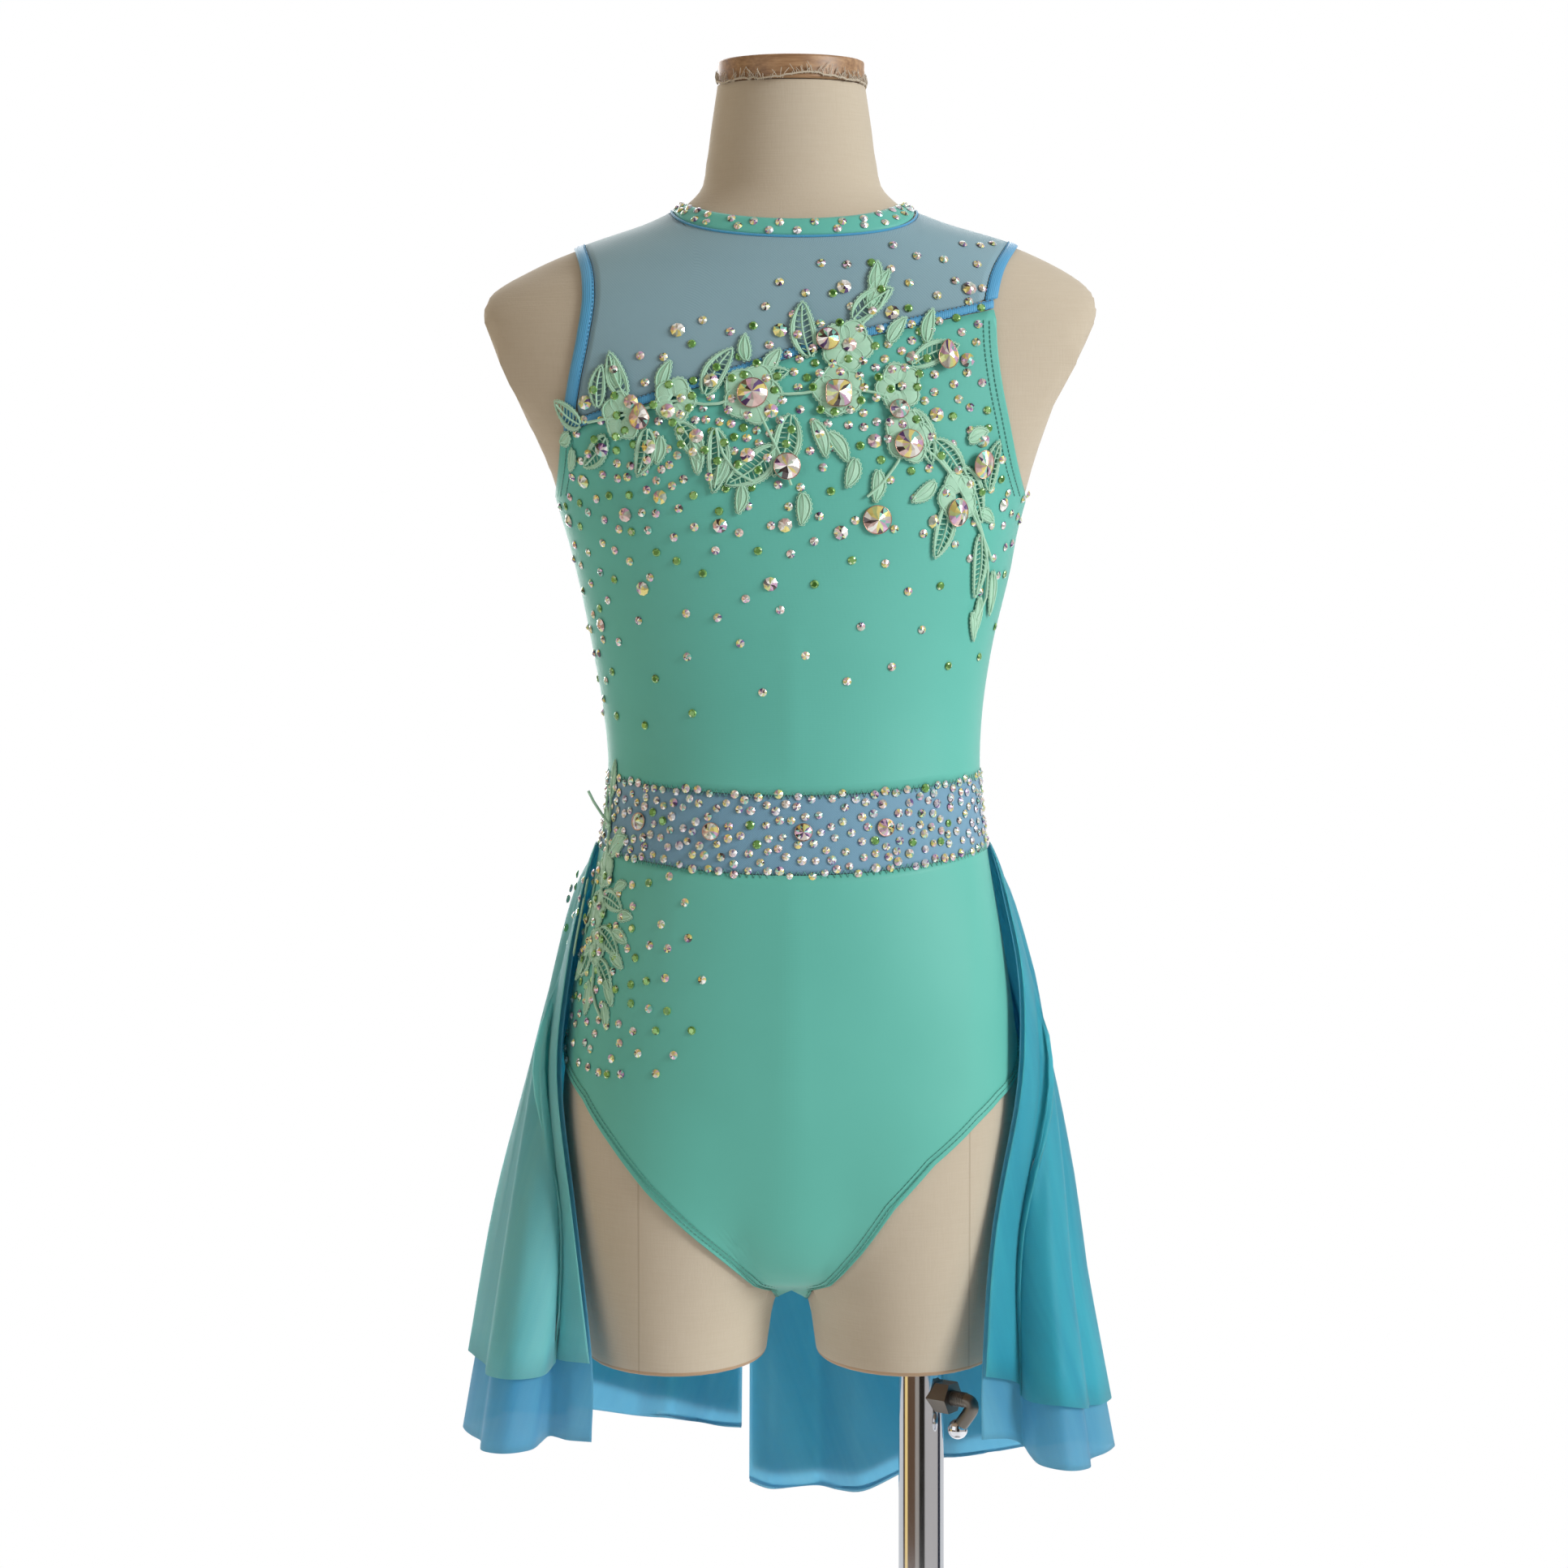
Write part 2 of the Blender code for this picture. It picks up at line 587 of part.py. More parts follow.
def form_body(surface):
    """Rings from the neck to the crotch, where each splits round the two thighs."""
    half_count = 12
    angles = np.arange(2 * half_count) * 180 / half_count
    mesh = bmesh.new()
    rings = []
    for level in FORM_LEVELS:
        tuck = CROTCH_TUCK if level < FAN else FORM_TUCK
        rings.append(add_points(mesh, between(ring(angles, level, True), -tuck)))
    mesh.faces.new(list(rings[0]))
    for upper, lower in zip(rings, rings[1:]):
        for j in range(2 * half_count):
            k = (j + 1) % (2 * half_count)
            mesh.faces.new((upper[j], upper[k], lower[k], lower[j]))

    split = FORM_LEVELS[-1]
    ends = ring(np.array([0.0, 180.0]), split)
    depths = np.linspace(ends[0, 1], ends[1, 1], 7)[1:-1]
    under = np.stack([np.zeros(5), depths, np.full(5, FAN)], axis=1)
    saddle = hit(under, np.array([0.0, 0.0, -1.0]))
    saddle_verts = add_points(mesh, between(saddle, -CROTCH_TUCK))
    for side in (1, -1):
        outer_index = [side * j % (2 * half_count) for j in range(half_count + 1)]
        loop = [rings[-1][j] for j in outer_index] + list(saddle_verts[::-1])
        places = np.concatenate([ring(angles, split)[outer_index], saddle[::-1]])
        centre = np.array([side * THIGH[-1][1], 0.0])
        ways = places[:, :2] - centre
        ways = ways / np.linalg.norm(ways, axis=1, keepdims=True)
        ways = np.concatenate([ways, np.zeros((len(ways), 1))], axis=1)
        for level, inset in THIGH_LEVELS:
            start = np.array([centre[0], centre[1], level])
            points = hit(start, ways, reach=130.0, steps=33) - ways * inset
            verts = list(add_points(mesh, points))
            for j in range(len(loop)):
                k = (j + 1) % len(loop)
                mesh.faces.new((loop[j], loop[k], verts[k], verts[j]))
            loop = verts
        mesh.faces.new(loop)
    bmesh.ops.triangulate(mesh, faces=[f for f in mesh.faces if len(f.verts) > 4])
    made = finish("dress_form", mesh, surface)

    bore = bmesh.new()
    low, high = FORM_FOOT - BORE_RUN, ROD_TOP + BORE_REST
    bmesh.ops.create_cone(bore, cap_ends=True, segments=32, radius1=ROD_BORE * MM, radius2=ROD_BORE * MM,
                          depth=(high - low) * MM)
    bmesh.ops.translate(bore, verts=bore.verts, vec=(0, 0, (high + low) / 2 * MM))
    cutter = finish("rod_bore", bore, surface)
    cutter.hide_render = True
    cutter.display_type = "WIRE"
    cut = made.modifiers.new("rod_bore", "BOOLEAN")
    cut.operation = "DIFFERENCE"
    cut.object = cutter
    return made


def stand(chrome, wood, steel):
    """Neck cap, base plate, tube with its clamp, and the rod that carries the form."""
    cap = [(0, CAP_LOW), (CAP_RADIUS - CAP_EDGE, CAP_LOW), (CAP_RADIUS, CAP_LOW + CAP_EDGE),
           (CAP_RADIUS, CAP_TOP - CAP_EDGE), (CAP_RADIUS - CAP_EDGE, CAP_TOP), (0, CAP_TOP + CAP_DOME)]
    turned("neck_cap", cap, wood, 30, centre=(FORM_X, -2.0))
    socket = TUBE + SEAM
    base = [(0, 0), (BASE, 0), (BASE, BASE_THICK - 2), (BASE - 2, BASE_THICK), (BOSS + 3, BASE_THICK + 2),
            (BOSS, BASE_THICK + 6), (BOSS - 2, BOSS_TOP), (socket, BOSS_TOP), (socket, BASE_THICK + 1),
            (0, BASE_THICK + 1)]
    turned("base_plate", base, steel, 32)
    foot, head = BASE_THICK + 1 + SEAM, FORM_FOOT - 0.4
    tube = [(TUBE, foot), (TUBE, head), (TUBE_BORE, head), (TUBE_BORE, foot)]
    tube = turned("stand_tube", tube, chrome, 32)
    rod = [(0, ROD_LOW), (ROD - 1, ROD_LOW), (ROD, ROD_LOW + 1), (ROD, ROD_TOP), (0, ROD_TOP)]
    turned("form_rod", rod, chrome, 32)

    bearing = math.radians(CLAMP_TURN)
    way = np.array([math.cos(bearing), math.sin(bearing), 0.0])
    axis = bpy.data.objects.new("clamp_axis", None)
    axis.location = (0, 0, CLAMP_HEIGHT * MM)
    axis.rotation_euler = (0, math.pi / 2, bearing)
    bpy.context.scene.collection.objects.link(axis)

    def along(name, radius, low, high, sides):
        made = bmesh.new()
        bmesh.ops.create_cone(made, cap_ends=True, segments=sides, radius1=radius * MM, radius2=radius * MM,
                              depth=(high - low) * MM)
        bmesh.ops.translate(made, verts=made.verts, vec=(0, 0, (high + low) / 2 * MM))
        shape = finish(name, made, chrome)
        shape.parent = axis
        return shape

    def cut(shape, cutter):
        cutter.hide_render = True
        cutter.display_type = "WIRE"
        made = shape.modifiers.new(cutter.name, "BOOLEAN")
        made.operation = "DIFFERENCE"
        made.object = cutter

    nut = along("clamp_nut", NUT_ACROSS / math.sqrt(3), NUT_START, NUT_END, 6)
    cut(nut, along("nut_hole", SCREW + 0.5, 0.0, NUT_END + 5, 20))
    low, high = CLAMP_HEIGHT - NUT_ACROSS, CLAMP_HEIGHT + NUT_ACROSS
    seat = [(0, low), (TUBE + SEAM, low), (TUBE + SEAM, high), (0, high)]
    cut(nut, turned("nut_seat", seat, chrome, 32))
    cut(tube, along("tube_hole", SCREW + 0.5, 4.0, TUBE + 5, 20))

    middle = np.array([0.0, 0.0, CLAMP_HEIGHT])
    tip = middle + way * SCREW_REACH
    down = HANDLE_WAY[0] * way + np.array([0.0, 0.0, HANDLE_WAY[1]])
    ball = tip + down * HANDLE
    corners = [middle + way * SCREW_END, tip - way * 6, tip - way * 1.6 + down * 1.4, tip + down * 6,
               ball - down * 1.5]
    path = evenly(corners, 9)
    path[1:-1] = 0.5 * path[1:-1] + 0.25 * (path[:-2] + path[2:])
    mesh = bmesh.new()
    side_way = np.cross(way, (0.0, 0.0, 1.0))
    loops = []
    for i, place in enumerate(path):
        ahead = path[min(i + 1, len(path) - 1)] - path[max(i - 1, 0)]
        ahead = ahead / np.linalg.norm(ahead)
        up = np.cross(ahead, side_way)
        turn = np.arange(10) * math.pi / 5
        points = place + SCREW * (np.cos(turn)[:, None] * side_way + np.sin(turn)[:, None] * up)
        loops.append(list(add_points(mesh, points, shift=0.0)))
    mesh.faces.new(loops[0])
    mesh.faces.new(loops[-1])
    for near, far in zip(loops, loops[1:]):
        for j in range(10):
            k = (j + 1) % 10
            mesh.faces.new((near[j], near[k], far[k], far[j]))
    screw = finish("clamp_screw", mesh, chrome)
    knob = bmesh.new()
    bmesh.ops.create_uvsphere(knob, u_segments=14, v_segments=8, radius=BALL * MM)
    bmesh.ops.translate(knob, verts=knob.verts, vec=tuple(ball * MM))
    knob = finish("clamp_ball", knob, chrome)
    knob.hide_render = True
    knob.display_type = "WIRE"
    join = screw.modifiers.new("ball", "BOOLEAN")
    join.operation = "UNION"
    join.object = knob


# The leotard

def spread(across, heights):
    """Where a point of an upper panel lies on the grid that the panel is drawn on."""
    full = np.where(heights > UNDERARM, YOKE_SPREAD, torso["half"](heights) * torso["plate"](heights))
    near = np.clip((heights - UNDERARM) / SPREAD_RISE, 0, 1)
    under = float(torso["half"](UNDERARM))
    full = np.where(heights > UNDERARM, under + (YOKE_SPREAD - under) * near, full)
    return np.degrees(np.arcsin(np.clip((across - torso["lean"](heights)) / full, -1, 1))), full


def upper(grid, side):
    """Surface points of an upper panel from its grid of (spread angle, height)."""
    angle, heights = grid[..., 0], grid[..., 1]
    _, full = spread(np.zeros_like(heights), heights)
    across = torso["lean"](heights) + full * np.sin(np.radians(angle))
    wide = torso["half"](heights) * torso["plate"](heights)
    deep = torso["front"](heights) if side < 0 else torso["back"](heights)
    square = torso["square"](heights)
    share = np.clip(np.abs(across - torso["lean"](heights)) / wide, 0, 1)
    depth = side * deep * (1 - share**square) ** (1 / square)
    return np.stack([across, depth, heights], axis=-1)


def on_grid(points):
    """(across, height) border points as (spread angle, height)."""
    points = np.asarray(points, float)
    angle, _ = spread(points[:, 0], points[:, 1])
    return np.stack([angle, points[:, 1]], axis=1)


def armhole_line(side_name, front, inset, low):
    """(across, height) along an armhole from a height up to the shoulder, set in from its edge."""
    name = side_name if front else "back_" + side_name
    sign = 1 if side_name == "left" else -1
    heights = np.linspace(low, NECK_LOW_SIDE, 600)
    across = armhole[name](heights) + sign * inset
    ridge = torso["lean"](heights) - sign * torso["half"](heights)
    end = np.argmax((heights > ARMHOLE_MIDDLE) & (sign * (across - ridge) < 0))
    return np.stack([across, heights], axis=1)[:end]


def neck_height(angles, low):
    """Height of the neck binding's lower or upper edge round the neck."""
    front, side, back = ((NECK_LOW_FRONT, NECK_LOW_SIDE, NECK_LOW_BACK) if low
                         else (NECK_FRONT, NECK_SIDE, NECK_BACK))
    turn = np.radians(angles)
    middle = np.where(np.cos(turn) > 0, front, back)
    return side + (middle - side) * np.cos(turn) ** 2


def neck_line(front):
    """(across, height) along the neckline below the binding, from -X to +X."""
    angles = np.linspace(-90, 90, 25) if front else np.linspace(270, 90, 25)
    points = ring(angles, neck_height(angles, True) - NECK_SEAM)
    return points[:, [0, 2]]


def shoulder_line(sign, start):
    """(across, height) along the shoulder seam from the neck out to the armhole."""
    neck = neck_line(True)[0 if sign < 0 else -1]
    heights = np.linspace(neck[1], start[1], 7)
    across = torso["lean"](heights) + sign * torso["half"](heights)
    return np.stack([across, heights], axis=1)


def diagonal_line(front, shift):
    """(across, height) along the chest seam, moved up by shift."""
    line = np.array(DIAGONAL if front else BACK_DIAGONAL, float)
    curve = through(line[:, 0], line[:, 1])
    across = np.linspace(line[0, 0] - 3, line[-1, 0] + 3, 60)
    slope = (line[-1, 1] - line[0, 1]) / (line[-1, 0] - line[0, 0])
    inner = np.clip(across, line[0, 0], line[-1, 0])
    heights = curve(inner) + slope * (across - inner)
    return np.stack([across, heights + shift], axis=1)


def trim_to(line, left, right):
    """The part of a line between two borders that run upwards."""
    keep = (line[:, 0] > np.interp(line[:, 1], left[:, 1], left[:, 0])) \
        & (line[:, 0] < np.interp(line[:, 1], right[:, 1], right[:, 0]))
    return line[keep]


def leotard_top(mesh_cloth, spandex, binding, elastic):
    """Yokes, bodice panels, the chest elastics and the armhole bindings."""
    for front, side, word in ((True, -1, "front"), (False, 1, "back")):
        half_gap = SEAM_ELASTIC / 2 + 2 * SEAM
        inset = ARM_BINDING + 2 * SEAM
        left, right = (armhole_line(name, front, inset, low) for name, low in BINDING_LOW.items())
        low = trim_to(diagonal_line(front, half_gap), left, right)
        left = np.concatenate([low[:1], left[left[:, 1] > low[0, 1] + 1]])
        right = np.concatenate([low[-1:], right[right[:, 1] > low[-1, 1] + 1]])
        top = np.concatenate([shoulder_line(-1, left[-1])[::-1], neck_line(front)[1:-1],
                              shoulder_line(1, right[-1])])
        low, top = evenly(on_grid(low), 19), evenly(on_grid(top), 19)
        grid = patch(on_grid(left), on_grid(right), low, top, 9, PANEL_CROWD)
        panel("yoke_" + word, upper(grid, side), mesh_cloth, side)

        left = armhole_line("left", front, 0.0, UNDERARM + 7)
        right = armhole_line("right", front, 0.0, UNDERARM + 7)
        top = trim_to(diagonal_line(front, -half_gap), left, right)
        angles = np.linspace(-90, 90, 25)
        turn = angles if front else 180 - angles
        low = ring(turn, waist_height(angles, WAIST_TOP, front) + SEAM)[:, [0, 2]]
        seam = np.stack([np.full(2, -90.0), [low[0, 1], UNDERARM]], axis=1)
        left = np.concatenate([left[left[:, 1] < top[0, 1] - 1], top[:1]])
        left = np.concatenate([seam[1:], on_grid(left)])
        right = np.concatenate([right[right[:, 1] < top[-1, 1] - 1], top[-1:]])
        right = np.concatenate([seam[1:] * (-1, 1), on_grid(right)])
        top = np.concatenate([evenly(left, 5)[:-1], evenly(on_grid(top), 8), evenly(right, 7)[::-1][1:]])
        grid = patch(seam, seam * (-1, 1), evenly(on_grid(low), len(top)), top, 12)
        panel("bodice_" + word, upper(grid, side), spandex, side)

        left, right = (armhole_line(name, front, 0.0, low) for name, low in BINDING_LOW.items())
        edges = [trim_to(diagonal_line(front, shift), left, right)
                 for shift in (-SEAM_ELASTIC / 2, SEAM_ELASTIC / 2)]
        grid = np.stack([evenly(on_grid(edge), 21) for edge in edges])
        panel("chest_elastic_" + word, upper(grid, side), elastic, side, TRIM)

    for name, low in BINDING_LOW.items():
        halves = []
        for front, side in ((True, -1), (False, 1)):
            seam = diagonal_line(front, SEAM_ELASTIC / 2 + SEAM)
            edges = []
            for inset in (0.0, ARM_BINDING):
                line = armhole_line(name, front, inset, low)
                line = line[line[:, 1] > np.interp(line[:, 0], seam[:, 0], seam[:, 1])]
                edges.append(upper(evenly(on_grid(line), 10, PANEL_CROWD), side))
            halves.append(np.stack(edges, axis=1))
        grid = np.concatenate([halves[0], halves[1][::-1][1:]])
        grid[len(halves[0]) - 1, :, 1] = 0.0
        panel("armhole_binding_" + name, grid, binding, 0, TRIM)


def waist_height(angles, heights, front):
    """Height of a waist seam; it dips at centre front and runs level round the back."""
    centre, side = heights
    dip = np.sin(np.radians(angles)) ** 2 if front else 1.0
    return centre + (side - centre) * dip + np.zeros_like(angles)


def waist_and_neck(mesh_cloth, spandex):
    angles = np.linspace(0, 360, 37)[:-1]
    rows = [ring(angles, neck_height(angles, True) * (1 - t) + neck_height(angles, False) * t)
            for t in (0.0, 1.0)]
    panel("neck_binding", np.stack(rows), spandex, 0, TRIM, closed=True)
    for front, side, word in ((True, -1, "front"), (False, 1, "back")):
        angles = np.linspace(-90, 90, 21)
        turn = angles if front else 180 - angles
        low, top = waist_height(angles, WAIST_LOW, front), waist_height(angles, WAIST_TOP, front)
        rows = [ring(turn, low * (1 - t) + top * t) for t in (0.0, 0.5, 1.0)]
        panel("waist_insert_" + word, np.stack(rows), mesh_cloth, side)


def brief(spandex):
    """Front and back of the brief: columns from the waist seam to the leg openings and gusset."""
    half, levels = 9, 14
    for front, side, word in ((True, -1, "front"), (False, 1, "back")):
        angles = np.linspace(-90, 90, 2 * half + 1)
        turn = angles if front else 180 - angles
        top = ring(turn, waist_height(angles, WAIST_LOW, front) - SEAM)
        if front:
            left, right = np.array(LEG_LEFT, float), np.array(LEG_RIGHT[::-1], float)
        else:
            right = np.array(LEG_BACK[::-1], float)
            left = right[::-1] * (-1, 1)
        ways = np.array([[x, 0.0, GUSSET_LOW - FAN] for x in (-GUSSET, 0.0, GUSSET)])
        gusset = hit([0.0, 0.0, FAN], ways / np.linalg.norm(ways, axis=1, keepdims=True))
        ends = ring(np.array([-90.0, 90.0]), LEG_SIDE)
        left, right = (facing(leg[:, 0], leg[:, 1], side) for leg in (left, right))
        left = evenly(np.concatenate([ends[:1], left, gusset[:1]]), half)
        right = evenly(np.concatenate([gusset[2:], right, ends[1:]]), half)
        low = np.concatenate([left, gusset[1:2], right])
        low_start = np.maximum(low * (0.0, 0.0, 1.0), (0.0, 0.0, FAN))
        low_way = low - low_start
        low_way = low_way / np.linalg.norm(low_way, axis=1, keepdims=True)
        top_start = np.stack([torso["lean"](top[:, 2]), 0 * top[:, 2], top[:, 2]], axis=1)
        top_way = top - top_start
        top_way = top_way / np.linalg.norm(top_way, axis=1, keepdims=True)
        rows = []
        for t in np.linspace(0, 1, BRIEF_FINE):
            way = (1 - t) * top_way + t * low_way
            way = way / np.linalg.norm(way, axis=1, keepdims=True)
            rows.append(hit((1 - t) * top_start + t * low_start, way))
        fine = np.stack(rows)
        columns = [evenly(fine[:, j], levels, BRIEF_CROWD) for j in range(fine.shape[1])]
        grid = np.stack(columns, axis=1)
        panel("brief_" + word, grid[::-1], spandex, side)


# The skirt

def skirt_grid(hem, sign):
    """Points of one side's skirt: columns from the front edge back, rows from the waist seam down.

    The last row is the under layer's hem and the one before it lies under the outer layer's hem.
    """
    folds = np.arange(len(hem))
    fine = np.linspace(0, len(hem) - 1, (len(hem) - 1) * SKIRT_STEPS + 1)
    across, depth, low, short = (through(folds, column(hem, HEM_COLUMNS, name))(fine)
                                 for name in HEM_COLUMNS)
    hem_points = np.stack([across, depth, low], axis=1)
    end = SKIRT_SPLIT[1] if sign > 0 else SKIRT_SPLIT[0] - 360
    stand_off = SKIRT_STAND[1] if sign > 0 else SKIRT_STAND[0]
    flare = SKIRT_FLARE["right" if sign > 0 else "left"]
    angles = np.linspace(sign * SKIRT_SIDE_ANGLE, end, len(fine))
    heights = waist_height(angles, WAIST_LOW, False) - 1.0
    top = between(ring(angles, heights), SKIRT_CLEAR)
    part_way = (top[:, 2] - short) / (top[:, 2] - low)
    rows = []
    for down in [row * part_way for row in SKIRT_ROWS] + [np.ones(len(fine))]:
        reach = down ** (flare[0] + flare[1] * down)
        forward = np.where(hem_points[:, 1] < 0, down**SKIRT_SWING, reach)
        points = top + (hem_points - top) * np.stack([reach, forward, down], axis=1)
        clear = SKIRT_CLEAR + stand_off * np.minimum(3 * down, 1)
        for _ in range(3):
            lack = np.maximum(clear - gap(points), 0)[:, None]
            points = points + outward(points) * lack * 0.8
        rows.append(points)
    return np.stack(rows)


def sheet_offsets(grid):
    """Moves that carry each face of a grid one unit outwards along its own normal, corners mitred."""
    down = grid[1:] - grid[:-1]
    along = grid[:, 1:] - grid[:, :-1]
    faces = np.cross(down[:, :-1] + down[:, 1:], along[:-1] + along[1:])
    faces = faces / np.linalg.norm(faces, axis=-1, keepdims=True)
    centres = (grid[:-1, :-1] + grid[1:, 1:]) * (1.0, 1.0, 0.0)
    faces = faces * np.sign((faces * centres).sum())
    around = np.pad(faces, ((1, 1), (1, 1), (0, 0)), mode="edge")
    corners = np.stack([around[:-1, :-1], around[:-1, 1:], around[1:, :-1], around[1:, 1:]])
    middle = corners.sum(axis=0)
    middle = middle / np.linalg.norm(middle, axis=-1, keepdims=True)
    lean = (corners * middle).sum(axis=-1).min(axis=0)
    return middle / np.maximum(lean, 1 / MITRE)[..., None]


def skirt(under_cloth, outer_cloth):
    """Four panels: an under and an outer layer on each side, meeting at the back split."""
    for hem, sign, word in ((HEM_RIGHT, 1, "right"), (HEM_LEFT, -1, "left")):
        under = skirt_grid(hem, sign)
        away = sheet_offsets(under)
        wall("skirt_under_" + word, under, under + away * SKIRT_CLOTH, under_cloth, split=True)
        outer, away = under[:-1], away[:-1]
        lift = SKIRT_STEP + SKIRT_SPREAD * np.minimum(3 * np.array(SKIRT_ROWS), 1)[:, None, None]
        near, far = outer + away * lift, outer + away * (lift + SKIRT_CLOTH)
        wall("skirt_outer_" + word, near, far, outer_cloth, split=True)


# Lace and large stones

def prism(mesh, outline):
    """A flat plate over (across, height) points, LACE thick."""
    near = [mesh.verts.new((x, 0.0, z)) for x, z in outline]
    far = [mesh.verts.new((x, LACE, z)) for x, z in outline]
    mesh.faces.new(near)
    mesh.faces.new(far[::-1])
    for j in range(len(outline)):
        k = (j + 1) % len(outline)
        mesh.faces.new((near[k], near[j], far[j], far[k]))


def unrolled(across, height):
    """How far round the body from its centre line a point of its front lies."""
    half = float(torso["half"](height))
    return half * math.asin((across - float(torso["lean"](height))) / half)


def placed(points, across, height, turn):
    """Flat points turned by an angle in degrees and moved to a place."""
    across = unrolled(across, height)
    c, s = math.cos(math.radians(turn)), math.sin(math.radians(turn))
    return [(across + c * x - s * z, height + s * x + c * z) for x, z in points]


def leaf(length, width):
    """A pointed leaf along +X from its stalk at the origin, and the opening on one side of its vein."""
    shape = ((0, -0.09), (0.25, -0.42), (0.6, -0.46), (1, 0), (0.6, 0.46), (0.25, 0.42), (0, 0.09))
    hole = ((0.26, 0.1), (0.66, 0.1), (0.56, 0.34), (0.3, 0.32))
    return ([(x * length, z * width) for x, z in shape], [(x * length, z * width) for x, z in hole])


def blossom(radius):
    """Five round petals."""
    turns = [math.radians(24 * k) for k in range(15)]
    reach = [radius * share for share in (1.0, 0.62, 1.0)]
    return [(reach[k % 3] * math.cos(a), reach[k % 3] * math.sin(a)) for k, a in enumerate(turns)]


def ribbon(line, width):
    """The outline of a narrow band along a line, tapering to its ends."""
    line = np.array(line, float)
    ahead = np.gradient(line, axis=0)
    ahead = ahead / np.linalg.norm(ahead, axis=1, keepdims=True)
    side = np.stack([-ahead[:, 1], ahead[:, 0]], axis=1)
    half = width / 2 * np.linspace(1, 0.6, len(line))[:, None]
    return [tuple(p) for p in np.concatenate([line + side * half, (line - side * half)[::-1]])]


def lace(name, leaves, blossoms, stem, lift, surface):
    """Leaves, blossoms and their stem joined flat, then bent onto the body's front."""
    flat = bmesh.new()
    holes = bmesh.new()
    prism(flat, ribbon([(unrolled(x, z), z) for x, z in stem], STEM_WIDTH))
    line = evenly([(unrolled(x, z), z) for x, z in stem], 60)
    for across, height, turn, length, width in leaves:
        foot = np.array([unrolled(across, height), height])
        nearest = line[np.argmin(np.linalg.norm(line - foot, axis=1))]
        if np.linalg.norm(nearest - foot) > STALK:
            inward = foot + 2 * np.array([math.cos(math.radians(turn)), math.sin(math.radians(turn))])
            prism(flat, ribbon([nearest, inward], STALK))
        outline, hole = leaf(length, width)
        prism(flat, placed(outline, across, height, turn))
        if width >= LEAF_OPEN:
            prism(holes, placed(hole, across, height, turn))
    for across, height, radius in blossoms:
        prism(flat, placed(blossom(radius), across, height, 7 * across))
    made = finish(name, flat, surface, smooth=False)
    join = made.modifiers.new("join", "BOOLEAN")
    join.operation = "DIFFERENCE"
    join.use_self = True
    bmesh.ops.scale(holes, vec=(1, 3, 1), verts=holes.verts)
    bmesh.ops.translate(holes, vec=(0, -LACE, 0), verts=holes.verts)
    cutter = finish(name + "_holes", holes, surface, smooth=False)
    join.object = cutter
    graph = bpy.context.evaluated_depsgraph_get()
    mesh = bmesh.new()
    mesh.from_object(made, graph)
    bpy.data.objects.remove(cutter)
    bpy.data.objects.remove(made)
    bmesh.ops.dissolve_limit(mesh, angle_limit=math.radians(1), verts=mesh.verts, edges=mesh.edges)
    for way, slice_width in (((1, 0, 0), LACE_SLICE[0]), ((0, 0, 1), LACE_SLICE[1])):
        reach = [v.co.dot(Vector(way)) for v in mesh.verts]
        for cut in np.arange(min(reach) + slice_width, max(reach), slice_width):
            everything = mesh.verts[:] + mesh.edges[:] + mesh.faces[:]
            bmesh.ops.bisect_plane(mesh, geom=everything, dist=1e-3, plane_co=Vector(way) * cut,
                                   plane_no=way)
    bmesh.ops.triangulate(mesh, faces=mesh.faces)
    flat_points = np.array([v.co for v in mesh.verts])
    half = torso["half"](flat_points[:, 2])
    turn = np.clip(flat_points[:, 0] / half, -LACE_END, LACE_END)
    across = torso["lean"](flat_points[:, 2]) + half * np.sin(turn)
    places = facing(across, flat_points[:, 2], -1)
    points = places + outward(places) * (lift + flat_points[:, 1:2])
    for vert, point in zip(mesh.verts, points):
        vert.co = ((point[0] + FORM_X) * MM, point[1] * MM, point[2] * MM)
    bmesh.ops.reverse_faces(mesh, faces=mesh.faces)
    return finish(name, mesh, surface, smooth=False, recalculate=False)


def stone_outline(kind, half, tall, sides=8):
    """Points round a stone's girdle; a drop is pointed at the top and a square has its corners cut."""
    turns = np.arange(sides) * 2 * math.pi / sides + math.pi / 2
    x, z = np.cos(turns), np.sin(turns)
    if kind == "drop":
        x, z = x * (1 - 0.42 * np.maximum(z, 0)), np.where(z > 0, z * 1.12, z * 0.88)
    if kind == "square":
        reach = np.where(np.abs(x * z) > 0.1, SQUARE_CORNER, 1.0)
        x, z = x * reach, z * reach
    return np.stack([x * half, z * tall], axis=1)


